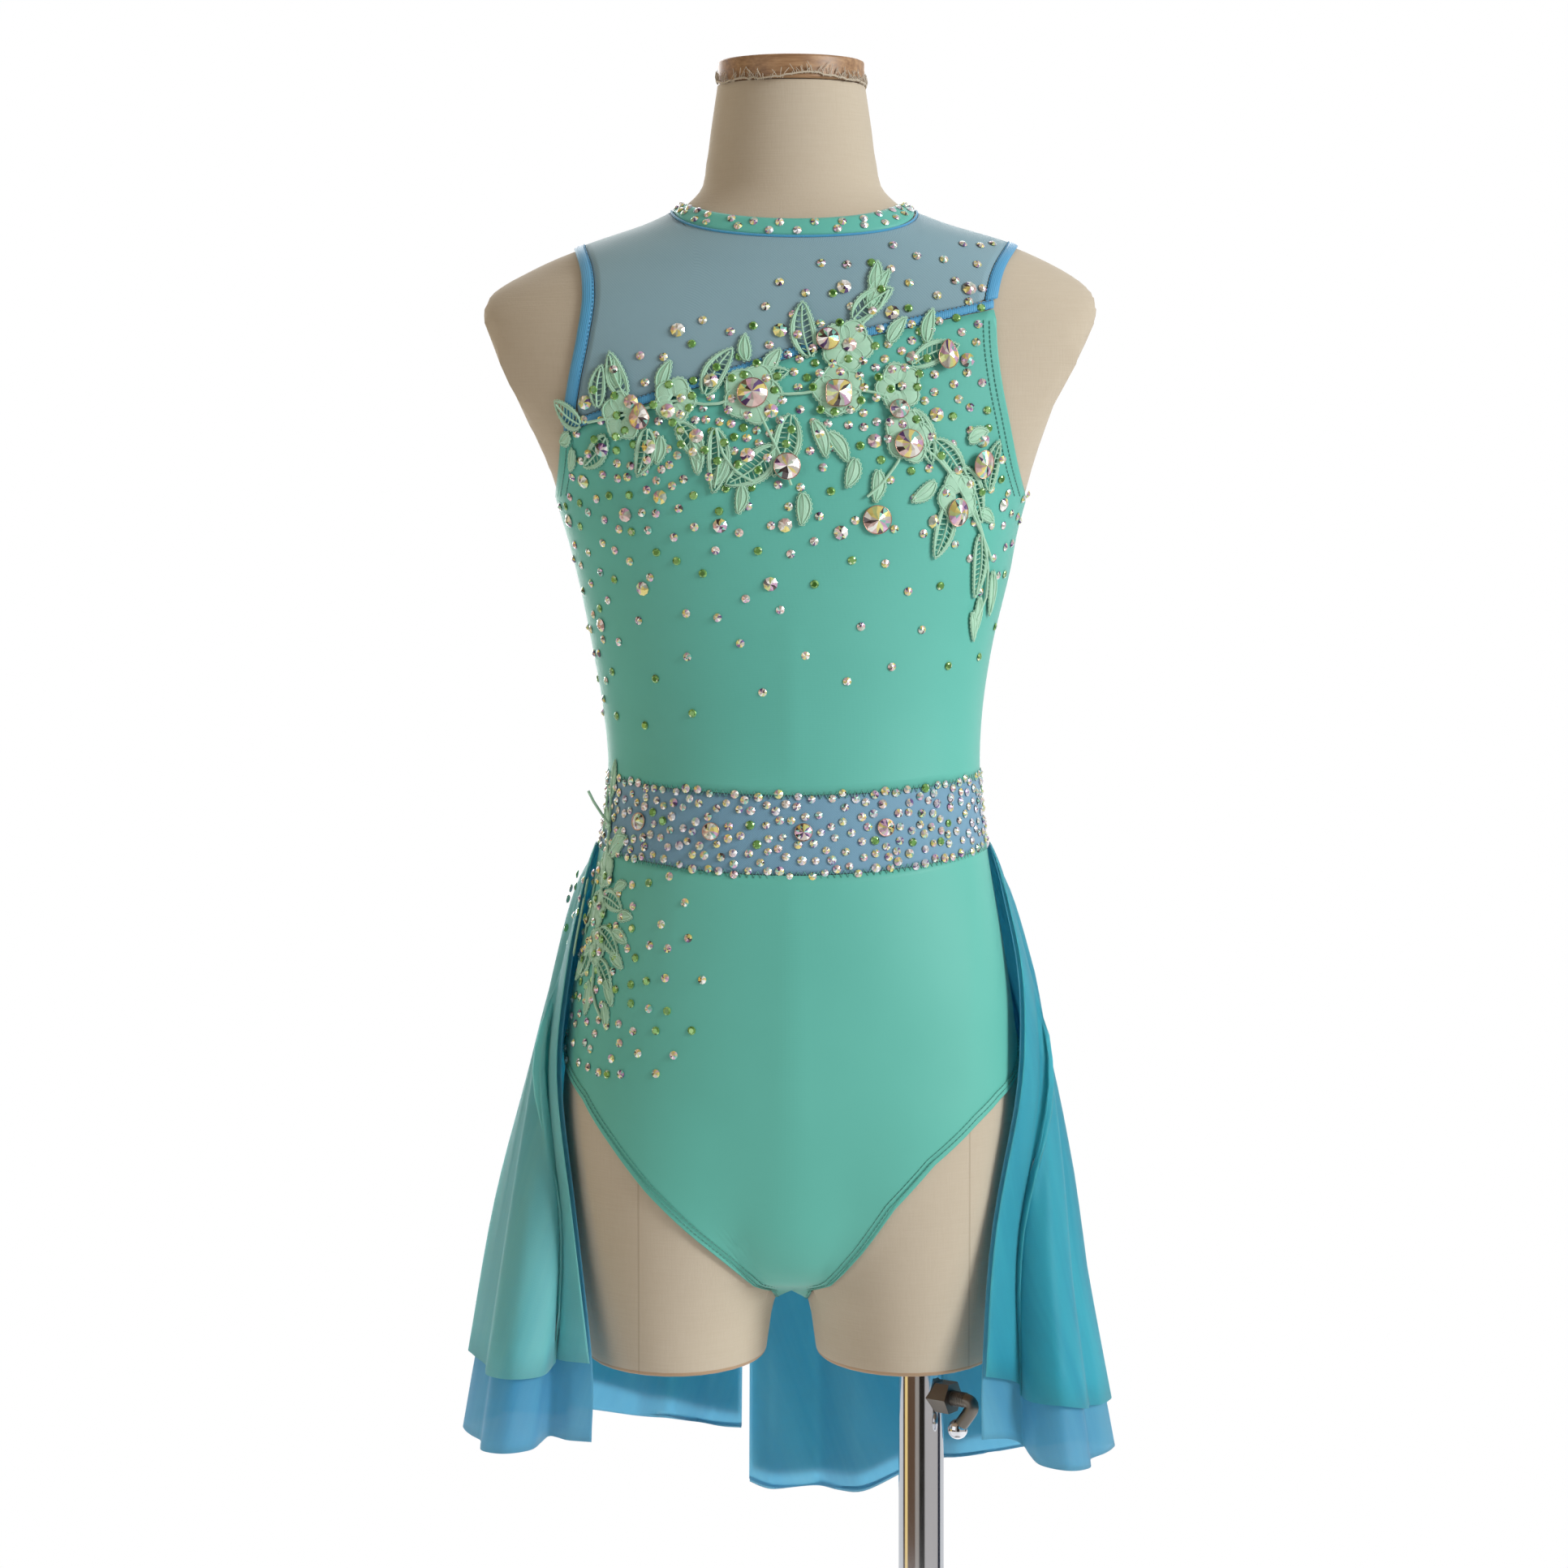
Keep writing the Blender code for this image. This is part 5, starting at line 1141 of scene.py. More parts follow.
def makeForm(linen):
    rays, split = formPiece["rays"], formPiece["split"]
    angles = np.arange(rays) * 360 / rays
    levels = np.interp(np.linspace(0, 1, formPiece["levels"]), *formPiece["spacing"])
    body = np.stack([ring(angles, level, True) for level in levels])
    ends = ring(np.array([0.0, 180.0]), split)
    depths = np.linspace(ends[0, 1], ends[1, 1], formPiece["saddle"] + 2)[1:-1]
    start = np.stack([0 * depths, depths, np.full(len(depths), fan)], axis=1)
    saddle = hit(start, np.array([0.0, 0.0, -1.0]))
    mesh = gridMesh(body, closed=True)
    for side in (1, -1):
        part = gridMesh(thighRows(side, angles, split, saddle), closed=True)
        mesh.from_mesh(meshData("thigh", part))
    bmesh.ops.remove_doubles(mesh, verts=mesh.verts, dist=2e-5)
    rims = [e for e in mesh.edges if e.is_boundary]
    bmesh.ops.holes_fill(mesh, edges=rims, sides=0)
    bmesh.ops.recalc_face_normals(mesh, faces=mesh.faces)
    cutter = bmesh.new()
    bmesh.ops.create_cone(cutter, cap_ends=True, segments=32, radius1=formPiece["rodBore"] * mm,
                          radius2=formPiece["rodBore"] * mm, depth=0.2)
    bmesh.ops.translate(cutter, verts=cutter.verts, vec=(0, 0, formPiece["rodTop"] * mm - 0.1))
    made = addPiece("dressForm", mesh, linen, replaced=("dress_form",), slot="linen")
    hole = addPiece("rodHole", cutter, linen)
    cut = made.modifiers.new("rodHole", "BOOLEAN")
    cut.object = hole
    applied = bpy.data.meshes.new_from_object(made.evaluated_get(bpy.context.evaluated_depsgraph_get()))
    made.modifiers.clear()
    made.data = applied
    bpy.data.objects.remove(hole)
    made.data.shade_smooth()
    made.data.set_sharp_from_angle(angle=math.radians(50))
    print("form:", len(made.data.polygons), "faces")
    return made


neckTop = {
    "centre": -2.0,  # its middle along y
    "radius": 40.5,
    "low": 1231.4,
    "top": 1244.5,
    "dome": 3.0,
    "edge": 1.4,
    "rim": 1232.4,  # height of the linen's cut edge
    "fringe": 300,  # loose linen threads round it
    "fringeReach": (1.5, 7.0),
    "turn": 1.1,  # how thick the linen's folded edge is
}


def makeNeckTop(wood, linen, linenThread):
    r, low, top = neckTop["radius"], neckTop["low"], neckTop["top"]
    edge, dome = neckTop["edge"], neckTop["dome"]
    profile = [(0, low), (r - 1, low), (r, low + 1), (r, top - edge)]
    profile += [(r - edge * (1 - math.cos(a)), top - edge * (1 - math.sin(a))) for a in (0.4, 0.8, 1.2)]
    profile += [(r - edge - (r - edge) * s, top + dome * (1 - (1 - s) ** 2)) for s in (0.1, 0.3, 0.6, 1.0)]
    turnedPiece("neckCap", profile, wood, 96, "form", (formX, neckTop["centre"]), ("neck_cap",), "wood")
    rng = random.Random(5)
    edges = []
    for turn in np.arange(0, 360, 4):
        wave = 1.2 * math.sin(math.radians(turn * 3 + 40)) + 0.7 * math.sin(math.radians(turn * 7))
        edges.append((turn, neckTop["rim"] + wave + rng.uniform(-0.5, 0.5)))
    line = np.array([ring(turn, 1230.0) * (1, 1, 0) + (0, 0, height) for turn, height in edges])
    centre = np.array([0.0, neckTop["centre"], 0.0])
    away = unit((line - centre) * (1, 1, 0))
    line = np.where((np.arange(3) < 2)[None, :], centre + away * (r + 0.9), line)
    threadRuns("linenEdge", [line], neckTop["turn"] / 2, linen, sides=1, rings=True)
    runs = []
    for _ in range(neckTop["fringe"]):
        k = rng.randrange(len(line))
        reach = rng.uniform(*neckTop["fringeReach"])
        tangent = np.array([-away[k][1], away[k][0], 0.0]) * rng.uniform(-0.8, 0.8)
        start = line[k] + (0, 0, -0.8) + tangent * 2
        bow = away[k] * rng.uniform(0.0, 0.9)
        middle = start + (0, 0, reach * 0.5) + tangent * reach * 0.3 + bow
        runs.append(np.array([start, middle, start + (0, 0, reach) + tangent * reach * 0.9 + bow * 0.4]))
    threadRuns("linenFringe", runs, 0.2, linenThread, sides=0)


# The leotard

clothFit = {
    "panel": 1.7,  # form to the outer face of a spandex panel
    "panelWall": 0.6,
    "mesh": 1.5,
    "meshWall": 0.45,
    "elastic": 2.05,
    "binding": 2.15,
    "roll": 0.5,  # how far a folded binding's edges drop from its middle
    "neckRoll": 0.6,
    "bindingWall": 0.5,
    "piping": 0.75,  # radius of the cord under the neck band
    "pipingLift": 1.7,
}

halves = ((True, -1, "Front"), (False, 1, "Back"))  # front or not, which way it faces along y, its name

# soft ridges pressed into the stretch cloth: a line of (x, height), its width and its depth
frontCreases = (
    (((-60, 806), (-64, 770), (-70, 744)), 6.0, 0.35),
    (((-39, 603), (-31, 606), (-22, 611)), 1.6, -0.55),
    (((-34, 598), (-26, 600), (-17, 604)), 1.5, -0.65),
    (((-30, 592), (-22, 593), (-14, 596)), 1.5, -0.6),
    (((-25, 586), (-18, 586), (-11, 588)), 1.4, -0.5),
    (((-96, 900), (-88, 893), (-74, 890)), 3.0, -0.3),
    (((98, 905), (86, 896), (72, 894)), 3.2, -0.35),
    (((-118, 990), (-104, 978), (-92, 972)), 4.0, 0.4),
    (((119, 992), (108, 978), (100, 966)), 4.4, 0.4),
)

# folds with a sharp crest and long slopes, down the middle and the wearer's left hip
frontFolds = (
    (((0, 948), (0, 890), (0, 850)), 11.0, 1.2),
    (((0, 812), (0, 720), (0, 640), (0, 582)), 18.0, 2.7),
    (((97, 812), (96, 750), (93, 680)), 9.0, 1.3),
)

backCreases = (
    (((0, 940), (-1, 890), (0, 856)), 4.5, -0.6),
    (((0, 800), (1, 740), (0, 660), (0, 600)), 4.5, -0.8),
    (((40, 642), (30, 628), (22, 618)), 2.0, -0.5),
    (((-44, 648), (-33, 632), (-25, 622)), 2.2, -0.55),
    (((-97, 903), (-80, 892), (-60, 889)), 3.4, -0.4),
    (((96, 899), (82, 891), (58, 890)), 3.2, -0.4),
    (((60, 872), (40, 868), (18, 870)), 3.0, -0.35),
    (((-64, 876), (-38, 871), (-20, 873)), 3.0, -0.35),
)


def creased(points, front):
    # how far each point moves out for the ridges and folds near it
    flat = points[..., [0, 2]]
    total = np.zeros(points.shape[:-1])
    soft = [(*row, 2) for row in (frontCreases if front else backCreases)]
    sharp = [(*row, 1) for row in frontFolds if front]
    for line, width, depth, power in soft + sharp:
        line = np.asarray(line, float)
        nearest = np.full(total.shape, 1e9)
        share = np.zeros(total.shape)
        steps = len(line) - 1
        for k, (start, end) in enumerate(zip(line, line[1:])):
            way = end - start
            t = np.clip(((flat - start) @ way) / (way @ way), 0, 1)
            distance = np.linalg.norm(flat - start - t[..., None] * way, axis=-1)
            closer = distance < nearest
            share = np.where(closer, (k + t) / steps, share)
            nearest = np.minimum(nearest, distance)
        fade = np.sin(np.clip(share, 0.03, 0.97) * math.pi) ** 0.6
        total += depth * fade * np.exp(-(nearest / width) ** power)
    return total


def panelPoints(surface, front, lift):
    return lifted(surface, lift + creased(surface, front))


def rolled(surface, lift, roll, axis=0):
    # a folded band: its middle rows stand proud of its edges
    rows = surface.shape[axis]
    share = np.linspace(-1, 1, rows)
    heights = lift - roll * np.abs(share) ** 2.6
    shape = [1, 1]
    shape[axis] = rows
    return lifted(surface, np.broadcast_to(heights.reshape(shape), surface.shape[:2]))


def yokeSurface(front, side):
    halfGap = seamElastic / 2 + 2 * seam
    inset = armBinding + 2 * seam
    left, right = (armholeLine(name, front, inset, low) for name, low in bindingLow.items())
    low = trimTo(diagonalLine(front, halfGap), left, right)
    left = np.concatenate([low[:1], left[left[:, 1] > low[0, 1] + 1]])
    right = np.concatenate([low[-1:], right[right[:, 1] > low[-1, 1] + 1]])
    top = np.concatenate([shoulderLine(-1, left[-1])[::-1], neckLine(front)[1:-1],
                          shoulderLine(1, right[-1])])
    low, top = evenly(onGrid(low), 49), evenly(onGrid(top), 49)
    return upper(patch(onGrid(left), onGrid(right), low, top, 26, panelCrowd), side)


def bodiceSurface(front, side):
    halfGap = seamElastic / 2 + 2 * seam
    left = armholeLine("left", front, 0.0, underarm + 7)
    right = armholeLine("right", front, 0.0, underarm + 7)
    top = trimTo(diagonalLine(front, -halfGap), left, right)
    angles = np.linspace(-90, 90, 61)
    low = ring(roundForm(angles, front), waistHeight(angles, waistTop, front) + seam)[:, [0, 2]]
    sideSeam = np.stack([np.full(2, -90.0), [low[0, 1], underarm]], axis=1)
    left = np.concatenate([left[left[:, 1] < top[0, 1] - 1], top[:1]])
    left = np.concatenate([sideSeam[1:], onGrid(left)])
    right = np.concatenate([right[right[:, 1] < top[-1, 1] - 1], top[-1:]])
    right = np.concatenate([sideSeam[1:] * (-1, 1), onGrid(right)])
    top = np.concatenate([evenly(left, 14)[:-1], evenly(onGrid(top), 46), evenly(right, 20)[::-1][1:]])
    low = evenly(onGrid(low), len(top))
    return upper(patch(sideSeam, sideSeam * (-1, 1), low, top, 44), side)


def elasticSurface(front, side):
    left, right = (armholeLine(name, front, 0.0, low) for name, low in bindingLow.items())
    shifts = np.linspace(-seamElastic / 2, seamElastic / 2, 6)
    edges = [trimTo(diagonalLine(front, shift), left, right) for shift in shifts]
    return upper(np.stack([evenly(onGrid(edge), 70) for edge in edges]), side)


def armholeSurface(name, low):
    strips = []
    for front, side, _ in halves:
        slant = diagonalLine(front, seamElastic / 2 + seam)
        edges = []
        for inset in np.linspace(0.0, armBinding, 6):
            line = armholeLine(name, front, inset, low)
            line = line[line[:, 1] > np.interp(line[:, 0], slant[:, 0], slant[:, 1])]
            edges.append(upper(evenly(onGrid(line), 34, panelCrowd), side))
        strips.append(np.stack(edges, axis=1))
    grid = np.concatenate([strips[0], strips[1][::-1][1:]])
    grid[len(strips[0]) - 1, :, 1] = 0.0
    return grid


def makeUpper(looks):
    # yokes, bodice, the slanting elastics, armhole bindings and the neck band
    for front, side, word in halves:
        low = word.lower()
        yoke = panelPoints(yokeSurface(front, side), front, clothFit["mesh"])
        clothSheet("yoke" + word, yoke, clothFit["meshWall"], looks["yoke"],
                   replaced=("yoke_" + low,), slot="mesh_cloth")
        bodice = panelPoints(bodiceSurface(front, side), front, clothFit["panel"])
        clothSheet("bodice" + word, bodice, clothFit["panelWall"], looks["mint"],
                   replaced=("bodice_" + low,), slot="spandex")
        elastic = rolled(elasticSurface(front, side), clothFit["elastic"], clothFit["roll"])
        clothSheet("chestElastic" + word, elastic, clothFit["bindingWall"], looks["binding"],
                   replaced=("chest_elastic_" + low,), slot="binding")
    for name, low in bindingLow.items():
        points = rolled(armholeSurface(name, low), clothFit["binding"], clothFit["roll"], axis=1)
        clothSheet("armholeBinding" + name.title(), points, clothFit["bindingWall"], looks["binding"],
                   replaced=("armhole_binding_" + name,), slot="binding")
    angles = np.arange(120) * 3.0
    rows = np.stack([ring(angles, neckAt(angles, t)) for t in np.linspace(0, 1, 8)])
    clothSheet("neckBinding", rolled(rows, clothFit["binding"], clothFit["neckRoll"]),
               clothFit["bindingWall"], looks["mint"], closed=True, replaced=("neck_binding",),
               slot="spandex")
    piping = [lifted(ring(angles, neckHeight(angles, True) - 0.6), clothFit["pipingLift"])]
    threadRuns("neckPiping", piping, clothFit["piping"], looks["blueThread"], rings=True, caps=False)
    print("upper part made")


def makeWaist(looks):
    for front, _, word in halves:
        angles = np.linspace(-90, 90, 61)
        turn = roundForm(angles, front)
        low, top = waistHeight(angles, waistLow, front), waistHeight(angles, waistTop, front)
        rows = np.stack([ring(turn, low * (1 - t) + top * t) for t in np.linspace(0, 1, 14)])
        clothSheet("waistInsert" + word, lifted(rows, clothFit["mesh"]), clothFit["meshWall"],
                   looks["waist"], replaced=("waist_insert_" + word.lower(),), slot="mesh_cloth")
    print("waist made")


def legLines(front):
    # the leg openings' edges on the form, side seam to gusset
    side = -1 if front else 1
    if front:
        left, right = np.array(legLeft, float), np.array(legRight, float)
    else:
        right = np.array(legBack, float)
        left = right * (-1, 1)
    ways = np.array([[x, 0.0, gussetLow - fan] for x in (-gusset, 0.0, gusset)])
    ends = hit([0.0, 0.0, fan], unit(ways))
    sides = ring(np.array([-90.0, 90.0]), legSide)
    left, right = (facing(leg[:, 0], leg[:, 1], side) for leg in (left, right))
    left = np.concatenate([sides[:1], left, ends[:1]])
    right = np.concatenate([sides[1:], right, ends[2:]])
    return left, right, ends[1:2]


def briefSurface(front):
    half = 34
    angles = np.linspace(-90, 90, 2 * half + 1)
    top = ring(roundForm(angles, front), waistHeight(angles, waistLow, front) - seam)
    left, right, middle = legLines(front)
    low = np.concatenate([evenly(left, half), middle, evenly(right, half)[::-1]])
    low = settled(low) if front else low
    lowStart = np.maximum(low * (0.0, 0.0, 1.0), (0.0, 0.0, fan))
    lowWay = unit(low - lowStart)
    topStart = np.stack([torso["lean"](top[:, 2]), 0 * top[:, 2], top[:, 2]], axis=1)
    topWay = unit(top - topStart)
    rows = []
    for t in np.linspace(0, 1, 61):
        way = unit((1 - t) * topWay + t * lowWay)
        rows.append(hit((1 - t) * topStart + t * lowStart, way))
    fine = np.stack(rows)
    columns = [evenly(fine[:, j], 61, 1.35) for j in range(fine.shape[1])]
    return np.stack(columns, axis=1)[::-1]


hemRidge = {"reach": 6.0, "rise": 0.35, "groove": 0.5}  # the leg openings' turned edge


def makeBrief(looks):
    for front, _, word in halves:
        surface = briefSurface(front)
        lift = clothFit["panel"] + creased(surface, front)
        fromEdge = np.linalg.norm(surface - surface[:1], axis=2)
        turned = np.clip(1 - (fromEdge / hemRidge["reach"]) ** 4, 0, 1)
        groove = np.exp(-((fromEdge - hemRidge["reach"]) ** 2)) * hemRidge["groove"]
        points = lifted(surface, lift + turned * hemRidge["rise"] - groove)
        clothSheet("brief" + word, points, clothFit["panelWall"], looks["mint"],
                   replaced=("brief_" + word.lower(),), slot="spandex")
    print("brief made")


def insetLine(line, distance):
    # a line on the form moved over its surface, towards the middle of the body
    line = evenly(line, 90)
    across = np.cross(unit(np.gradient(line, axis=0)), outward(line))
    moved = line + across * distance
    return hit(moved - outward(line) * 12.0, outward(line), reach=30.0, steps=16)


sewing = {
    "thread": 0.26,  # radius
    # from a leg opening's edge, and how far the cloth rises there
    "hemRows": ((2.6, hemRidge["rise"]), (5.0, 0.1)),
    "armholeRows": (3.8, 7.0),
    "seamStitch": (2.4, 1.6),  # from stitch to stitch, and its reach
    "zigzag": 1.7,  # half its height
    "zigzagThread": 0.3,
}


def makeStitching(looks):
    runs = []
    lift = clothFit["panel"] + 0.25
    for front, side, _ in halves:
        left, right, _ = legLines(front)
        for distance, rise in sewing["hemRows"]:
            runs += stitches(insetLine(left, distance * side), lift + rise)
            runs += stitches(insetLine(right, -distance * side), lift + rise)
        for name in ("left", "right"):
            slant = diagonalLine(front, -6.0)
            for inset in sewing["armholeRows"]:
                line = armholeLine(name, front, inset, underarm + 8)
                line = line[line[:, 1] < np.interp(line[:, 0], slant[:, 0], slant[:, 1])]
                if len(line) > 4:
                    line = upper(evenly(onGrid(line), 24), side)
                    runs += stitches(line, lift)
    threadRuns("mintStitches", runs, sewing["thread"], looks["hemThread"], sides=0)
    zigzags = []
    for seamAt in (waistTop, waistLow):
        for front in (True, False):
            angles = np.linspace(-90, 90, 190)
            heights = waistHeight(angles, seamAt, front) + sewing["zigzag"] * (-1) ** np.arange(len(angles))
            zigzags.append(lifted(ring(roundForm(angles, front), heights), clothFit["panel"] + 0.3))
    threadRuns("waistZigzag", zigzags, sewing["zigzagThread"], looks["thread"], sides=0)
    seams = []
    for name, low in bindingLow.items():
        points = armholeSurface(name, low)
        seams += stitches(points[:, -1], clothFit["panel"] + 0.2, *sewing["seamStitch"])
    for front, side, _ in halves:
        elastic = elasticSurface(front, side)
        for edge in (elastic[0], elastic[-1]):
            seams += stitches(edge, clothFit["panel"] + 0.4, *sewing["seamStitch"])
    threadRuns("blueStitches", seams, sewing["thread"], looks["blueThread"], sides=0)
    print("stitching made:", len(runs) + len(seams), "stitches")


# The skirt

skirtCut = {
    "finer": 5,  # columns and rows for each of the form's own
    "step": 1.7,  # from one layer to the next
    "face": 0.7,  # the under layer's outer face
    "wall": 0.4,
    "seamTuck": (0.9, 2.2),  # how far the two layers are drawn in at the waist seam
    "tuckReach": 26.0,
    "gather": 0.5,  # depth of the small gathers under the seam
    "gatherPitch": 5.5,
    "gatherReach": 46.0,
    "ripple": 1.1,  # depth of the soft ripples between the folds
    "ripplePitch": (13, 38),
    "rippleLean": 0.12,  # how far they slant for each unit down
    "swell": ((0, 20, 76, 145, 190, 240), (0.0, 1.6, 5.4, 4.4, 3.2, 0.0)),  # the right side's, by depth
    "swellReach": 60.0,
}


def skirtRipples(grid, seed):
    # small gathers under the seam and soft ripples that grow towards the hem
    rng = random.Random(seed)
    top = runLengths(grid[:1], 1)
    down = grid[:1, :, 2] - grid[:, :, 2]
    waves = np.zeros(down.shape)
    for _ in range(4):
        pitch = skirtCut["gatherPitch"] * rng.uniform(0.7, 1.7)
        waves += np.sin(2 * math.pi * top / pitch + rng.uniform(0, 6)) / 4
    small = waves * skirtCut["gather"] * np.exp(-(down / skirtCut["gatherReach"]) ** 1.4)
    small *= np.clip(down / 8, 0, 1)
    soft = np.zeros(down.shape)
    for _ in range(5):
        pitch = rng.uniform(*skirtCut["ripplePitch"])
        lean = rng.uniform(-skirtCut["rippleLean"], skirtCut["rippleLean"])
        wave = np.sin(2 * math.pi * (top + down * lean) / pitch + rng.uniform(0, 6))
        soft += wave * rng.uniform(0.4, 1.0) / 5 * np.sin(down / rng.uniform(60, 120) + rng.uniform(0, 6))
    soft *= skirtCut["ripple"] * np.clip(down / 90, 0, 1)
    edge = np.minimum(np.arange(grid.shape[1]), np.arange(grid.shape[1])[::-1])[None, :]
    return (small + soft) * np.clip(edge / 6, 0, 1)


def skirtLayer(coarse, away, lift, tuck, seed, swell):
    # one layer's outer and inner faces
    face = refined(refined(coarse + away * lift, skirtCut["finer"], 1), skirtCut["finer"], 0)
    normal = sheetOffsets(face)
    if swell:
        fall = face[:1, :, 2] - face[:, :, 2]
        near = np.exp(-(face[..., 1] / skirtCut["swellReach"]) ** 2) * (face[..., 0] > 0)
        face = face + (near * np.interp(fall, *skirtCut["swell"]))[..., None] * (1.0, 0.0, 0.0)
    down = face[:1, :, 2] - face[:, :, 2]
    tucked = tuck * np.clip(1 - down / skirtCut["tuckReach"], 0, 1) ** 2
    face = face + normal * skirtRipples(face, seed)[..., None] - outward(face) * tucked[..., None]
    return face, face - normal * skirtCut["wall"]


def makeSkirt(looks):
    for hem, sign, word, seed in ((hemRight, 1, "Right", 21), (hemLeft, -1, "Left", 34)):
        under = skirtGrid(hem, sign)
        away = sheetOffsets(under)
        low = word.lower()
        face, back = skirtLayer(under, away, skirtCut["face"], skirtCut["seamTuck"][0], seed,
                                sign > 0)
        clothSheet("skirtUnder" + word, face, back, looks["under" + word],
                   replaced=("skirt_under_" + low,), slot="under_cloth")
        spread = skirtSpread * np.minimum(3 * np.array(skirtRows), 1)[:, None, None]
        lift = skirtCut["step"] + skirtCut["face"] + spread
        face, back = skirtLayer(under[:-1], away[:-1], lift, skirtCut["seamTuck"][1], seed, sign > 0)
        clothSheet("skirtOuter" + word, face, back, looks["outer"],
                   replaced=("skirt_outer_" + low,), slot="outer_cloth")
    print("skirt made")


# Lace

laceFit = {
    "chestLift": 2.75,
    "hipLift": 2.1,
    "skirtLift": 6.5,  # for the sprigs that lie over the skirt's edge
    "plate": 0.5,
    "dome": 0.6,
    "cord": 0.52,  # radius of the cords round each petal
    "picot": 0.27,  # radius, pitch and height of the small loops outside them
    "picotPitch": 2.2,
    "picotRise": 0.9,
    "bar": 0.32,
    "stem": 0.8,
    "open": 9.5,  # leaves this wide have an open centre crossed by bars
    "band": 0.66,  # where the satin at an open leaf's edge begins
    "bow": 0.06,  # how far a leaf's middle line bows, for each unit of its length
}

# small sprigs that lie between the thick leaves: x, height, turn, length, width
chestSprigs = (
    (-118, 1038, 200, 12, 6), (-116, 1030, 235, 13, 6), (-92, 1062, 100, 16, 7), (-70, 1060, 70, 17, 7),
    (-69, 1036, 255, 15, 6), (-52, 1034, 275, 18, 7), (-24, 1076, 95, 14, 6), (-14, 1069, 60, 15, 7),
    (12, 1044, 285, 20, 7), (20, 1038, 300, 18, 7), (42, 1104, 70, 22, 8), (46, 1112, 100, 18, 7),
    (52, 1086, 55, 16, 7), (72, 1086, 80, 18, 7), (94, 1034, 20, 16, 7), (76, 1012, 215, 18, 7),
    (100, 996, 340, 14, 6), (100, 950, 265, 20, 7), (96, 942, 285, 16, 6), (34, 1024, 250, 16, 7),
    (-34, 1024, 240, 16, 6), (-26, 1010, 262, 15, 6), (6, 1006, 268, 17, 7), (46, 1018, 262, 17, 7),
)

hipSprigs = (
    (-110, 790, 200, 12, 6), (-113, 772, 215, 13, 6), (-112, 752, 240, 14, 7), (-108, 740, 262, 18, 8),
    (-99, 742, 300, 15, 7), (-96, 756, 330, 13, 6), (-94, 790, 20, 12, 5), (-92, 776, 5, 12, 5),
    (-94, 812, 60, 13, 6), (-101, 820, 115, 13, 6), (-100, 730, 285, 14, 6), (-95, 768, 340, 14, 6),
)

skirtSprigs = (
    (-108, 792, 205, 15, 7), (-112, 782, 222, 15, 7), (-115, 773, 238, 14, 6), (-117, 764, 255, 13, 6),
    (-110, 776, 190, 12, 5),
)

hipTwig = ((-99, -30, 824), (-104, -29, 831), (-108, -28, 837), (-111, -28, 843))  # stands off the body

chestTendrils = (
    ((96, 1000), (101, 984), (104, 966), (103, 950), (98, 938)),
    ((30, 1084), (38, 1096), (47, 1104), (52, 1114)),
    ((-40, 1040), (-36, 1026), (-28, 1016), (-20, 1012)),
    ((-21, 1058), (-14, 1042), (-6, 1026), (0, 1010)),
    ((62, 1036), (56, 1022), (47, 1010), (40, 1004)),
)

hipTendrils = (
    ((-96, 842), (-102, 846), (-107, 843), (-108, 837), (-104, 834)),
    ((-104, 759), (-111, 752), (-116, 744), (-119, 738)),
    ((-106, 736), (-104, 728), (-101, 722)),
)


def flatToForm(points, lift):
    # (distance round the body, height) with a lift above the form's front
    points = np.asarray(points, float)
    half = torso["half"](points[..., 1])
    turn = np.clip(points[..., 0] / half, -laceEnd, laceEnd)
    across = torso["lean"](points[..., 1]) + half * np.sin(turn)
    return lifted(facing(across, points[..., 1], -1), np.broadcast_to(lift, across.shape))


def placedFlat(points, across, height, turn):
    points = np.asarray(points, float)
    c, s = math.cos(math.radians(turn)), math.sin(math.radians(turn))
    x, z = points[..., 0], points[..., 1]
    return np.stack([unrolled(across, height) + c * x - s * z, height + s * x + c * z], axis=-1)


def placeAll(items):
    # many flat shapes, each with its lift, carried to the form at once
    flats = np.concatenate([flat.reshape(-1, 2) for flat, _ in items])
    lifts = np.concatenate([np.broadcast_to(lift, flat.shape[:-1]).ravel() for flat, lift in items])
    ends = np.cumsum([flat.size // 2 for flat, _ in items])[:-1]
    parts = np.split(flatToForm(flats, lifts), ends)
    return [part.reshape(*flat.shape[:-1], 3) for part, (flat, _) in zip(parts, items)]


def leafHalf(t):
    # half width of a pointed leaf, as a share of its whole width
    return 0.46 * np.sin(math.pi * np.clip(t, 0, 1) ** 0.85) ** 0.75 + 0.05 * (1 - t)


def leafBend(t, length):
    return laceFit["bow"] * length * np.sin(math.pi * t)


def petalGrid(length, width, low, high):
    # a satin patch between two shares of a leaf's half width, domed across
    t = np.linspace(0.02, 0.985, 9)[:, None]
    s = np.linspace(low, high, 5)[None, :]
    flat = np.stack([t * length + 0 * s, leafHalf(t) * width * s + leafBend(t, length)], axis=-1)
    over = (2 * s - low - high) / (high - low)
    rise = laceFit["dome"] * (1 - over**2) * np.sin(math.pi * np.clip(t, 0.05, 0.95)) ** 0.5
    return flat, rise


def scalloped(line):
    # small loops of thread along the outside of an outline
    length = np.linalg.norm(np.diff(line, axis=0), axis=1).sum()
    line = evenly(line, max(9, int(4 * length / laceFit["picotPitch"])))
    along = unit(np.gradient(line, axis=0))
    away = np.stack([along[:, 1], -along[:, 0]], axis=1)
    rise = 0.2 + laceFit["picotRise"] * np.abs(np.sin(np.arange(len(line)) * math.pi / 4))
    return line + away * rise[:, None]


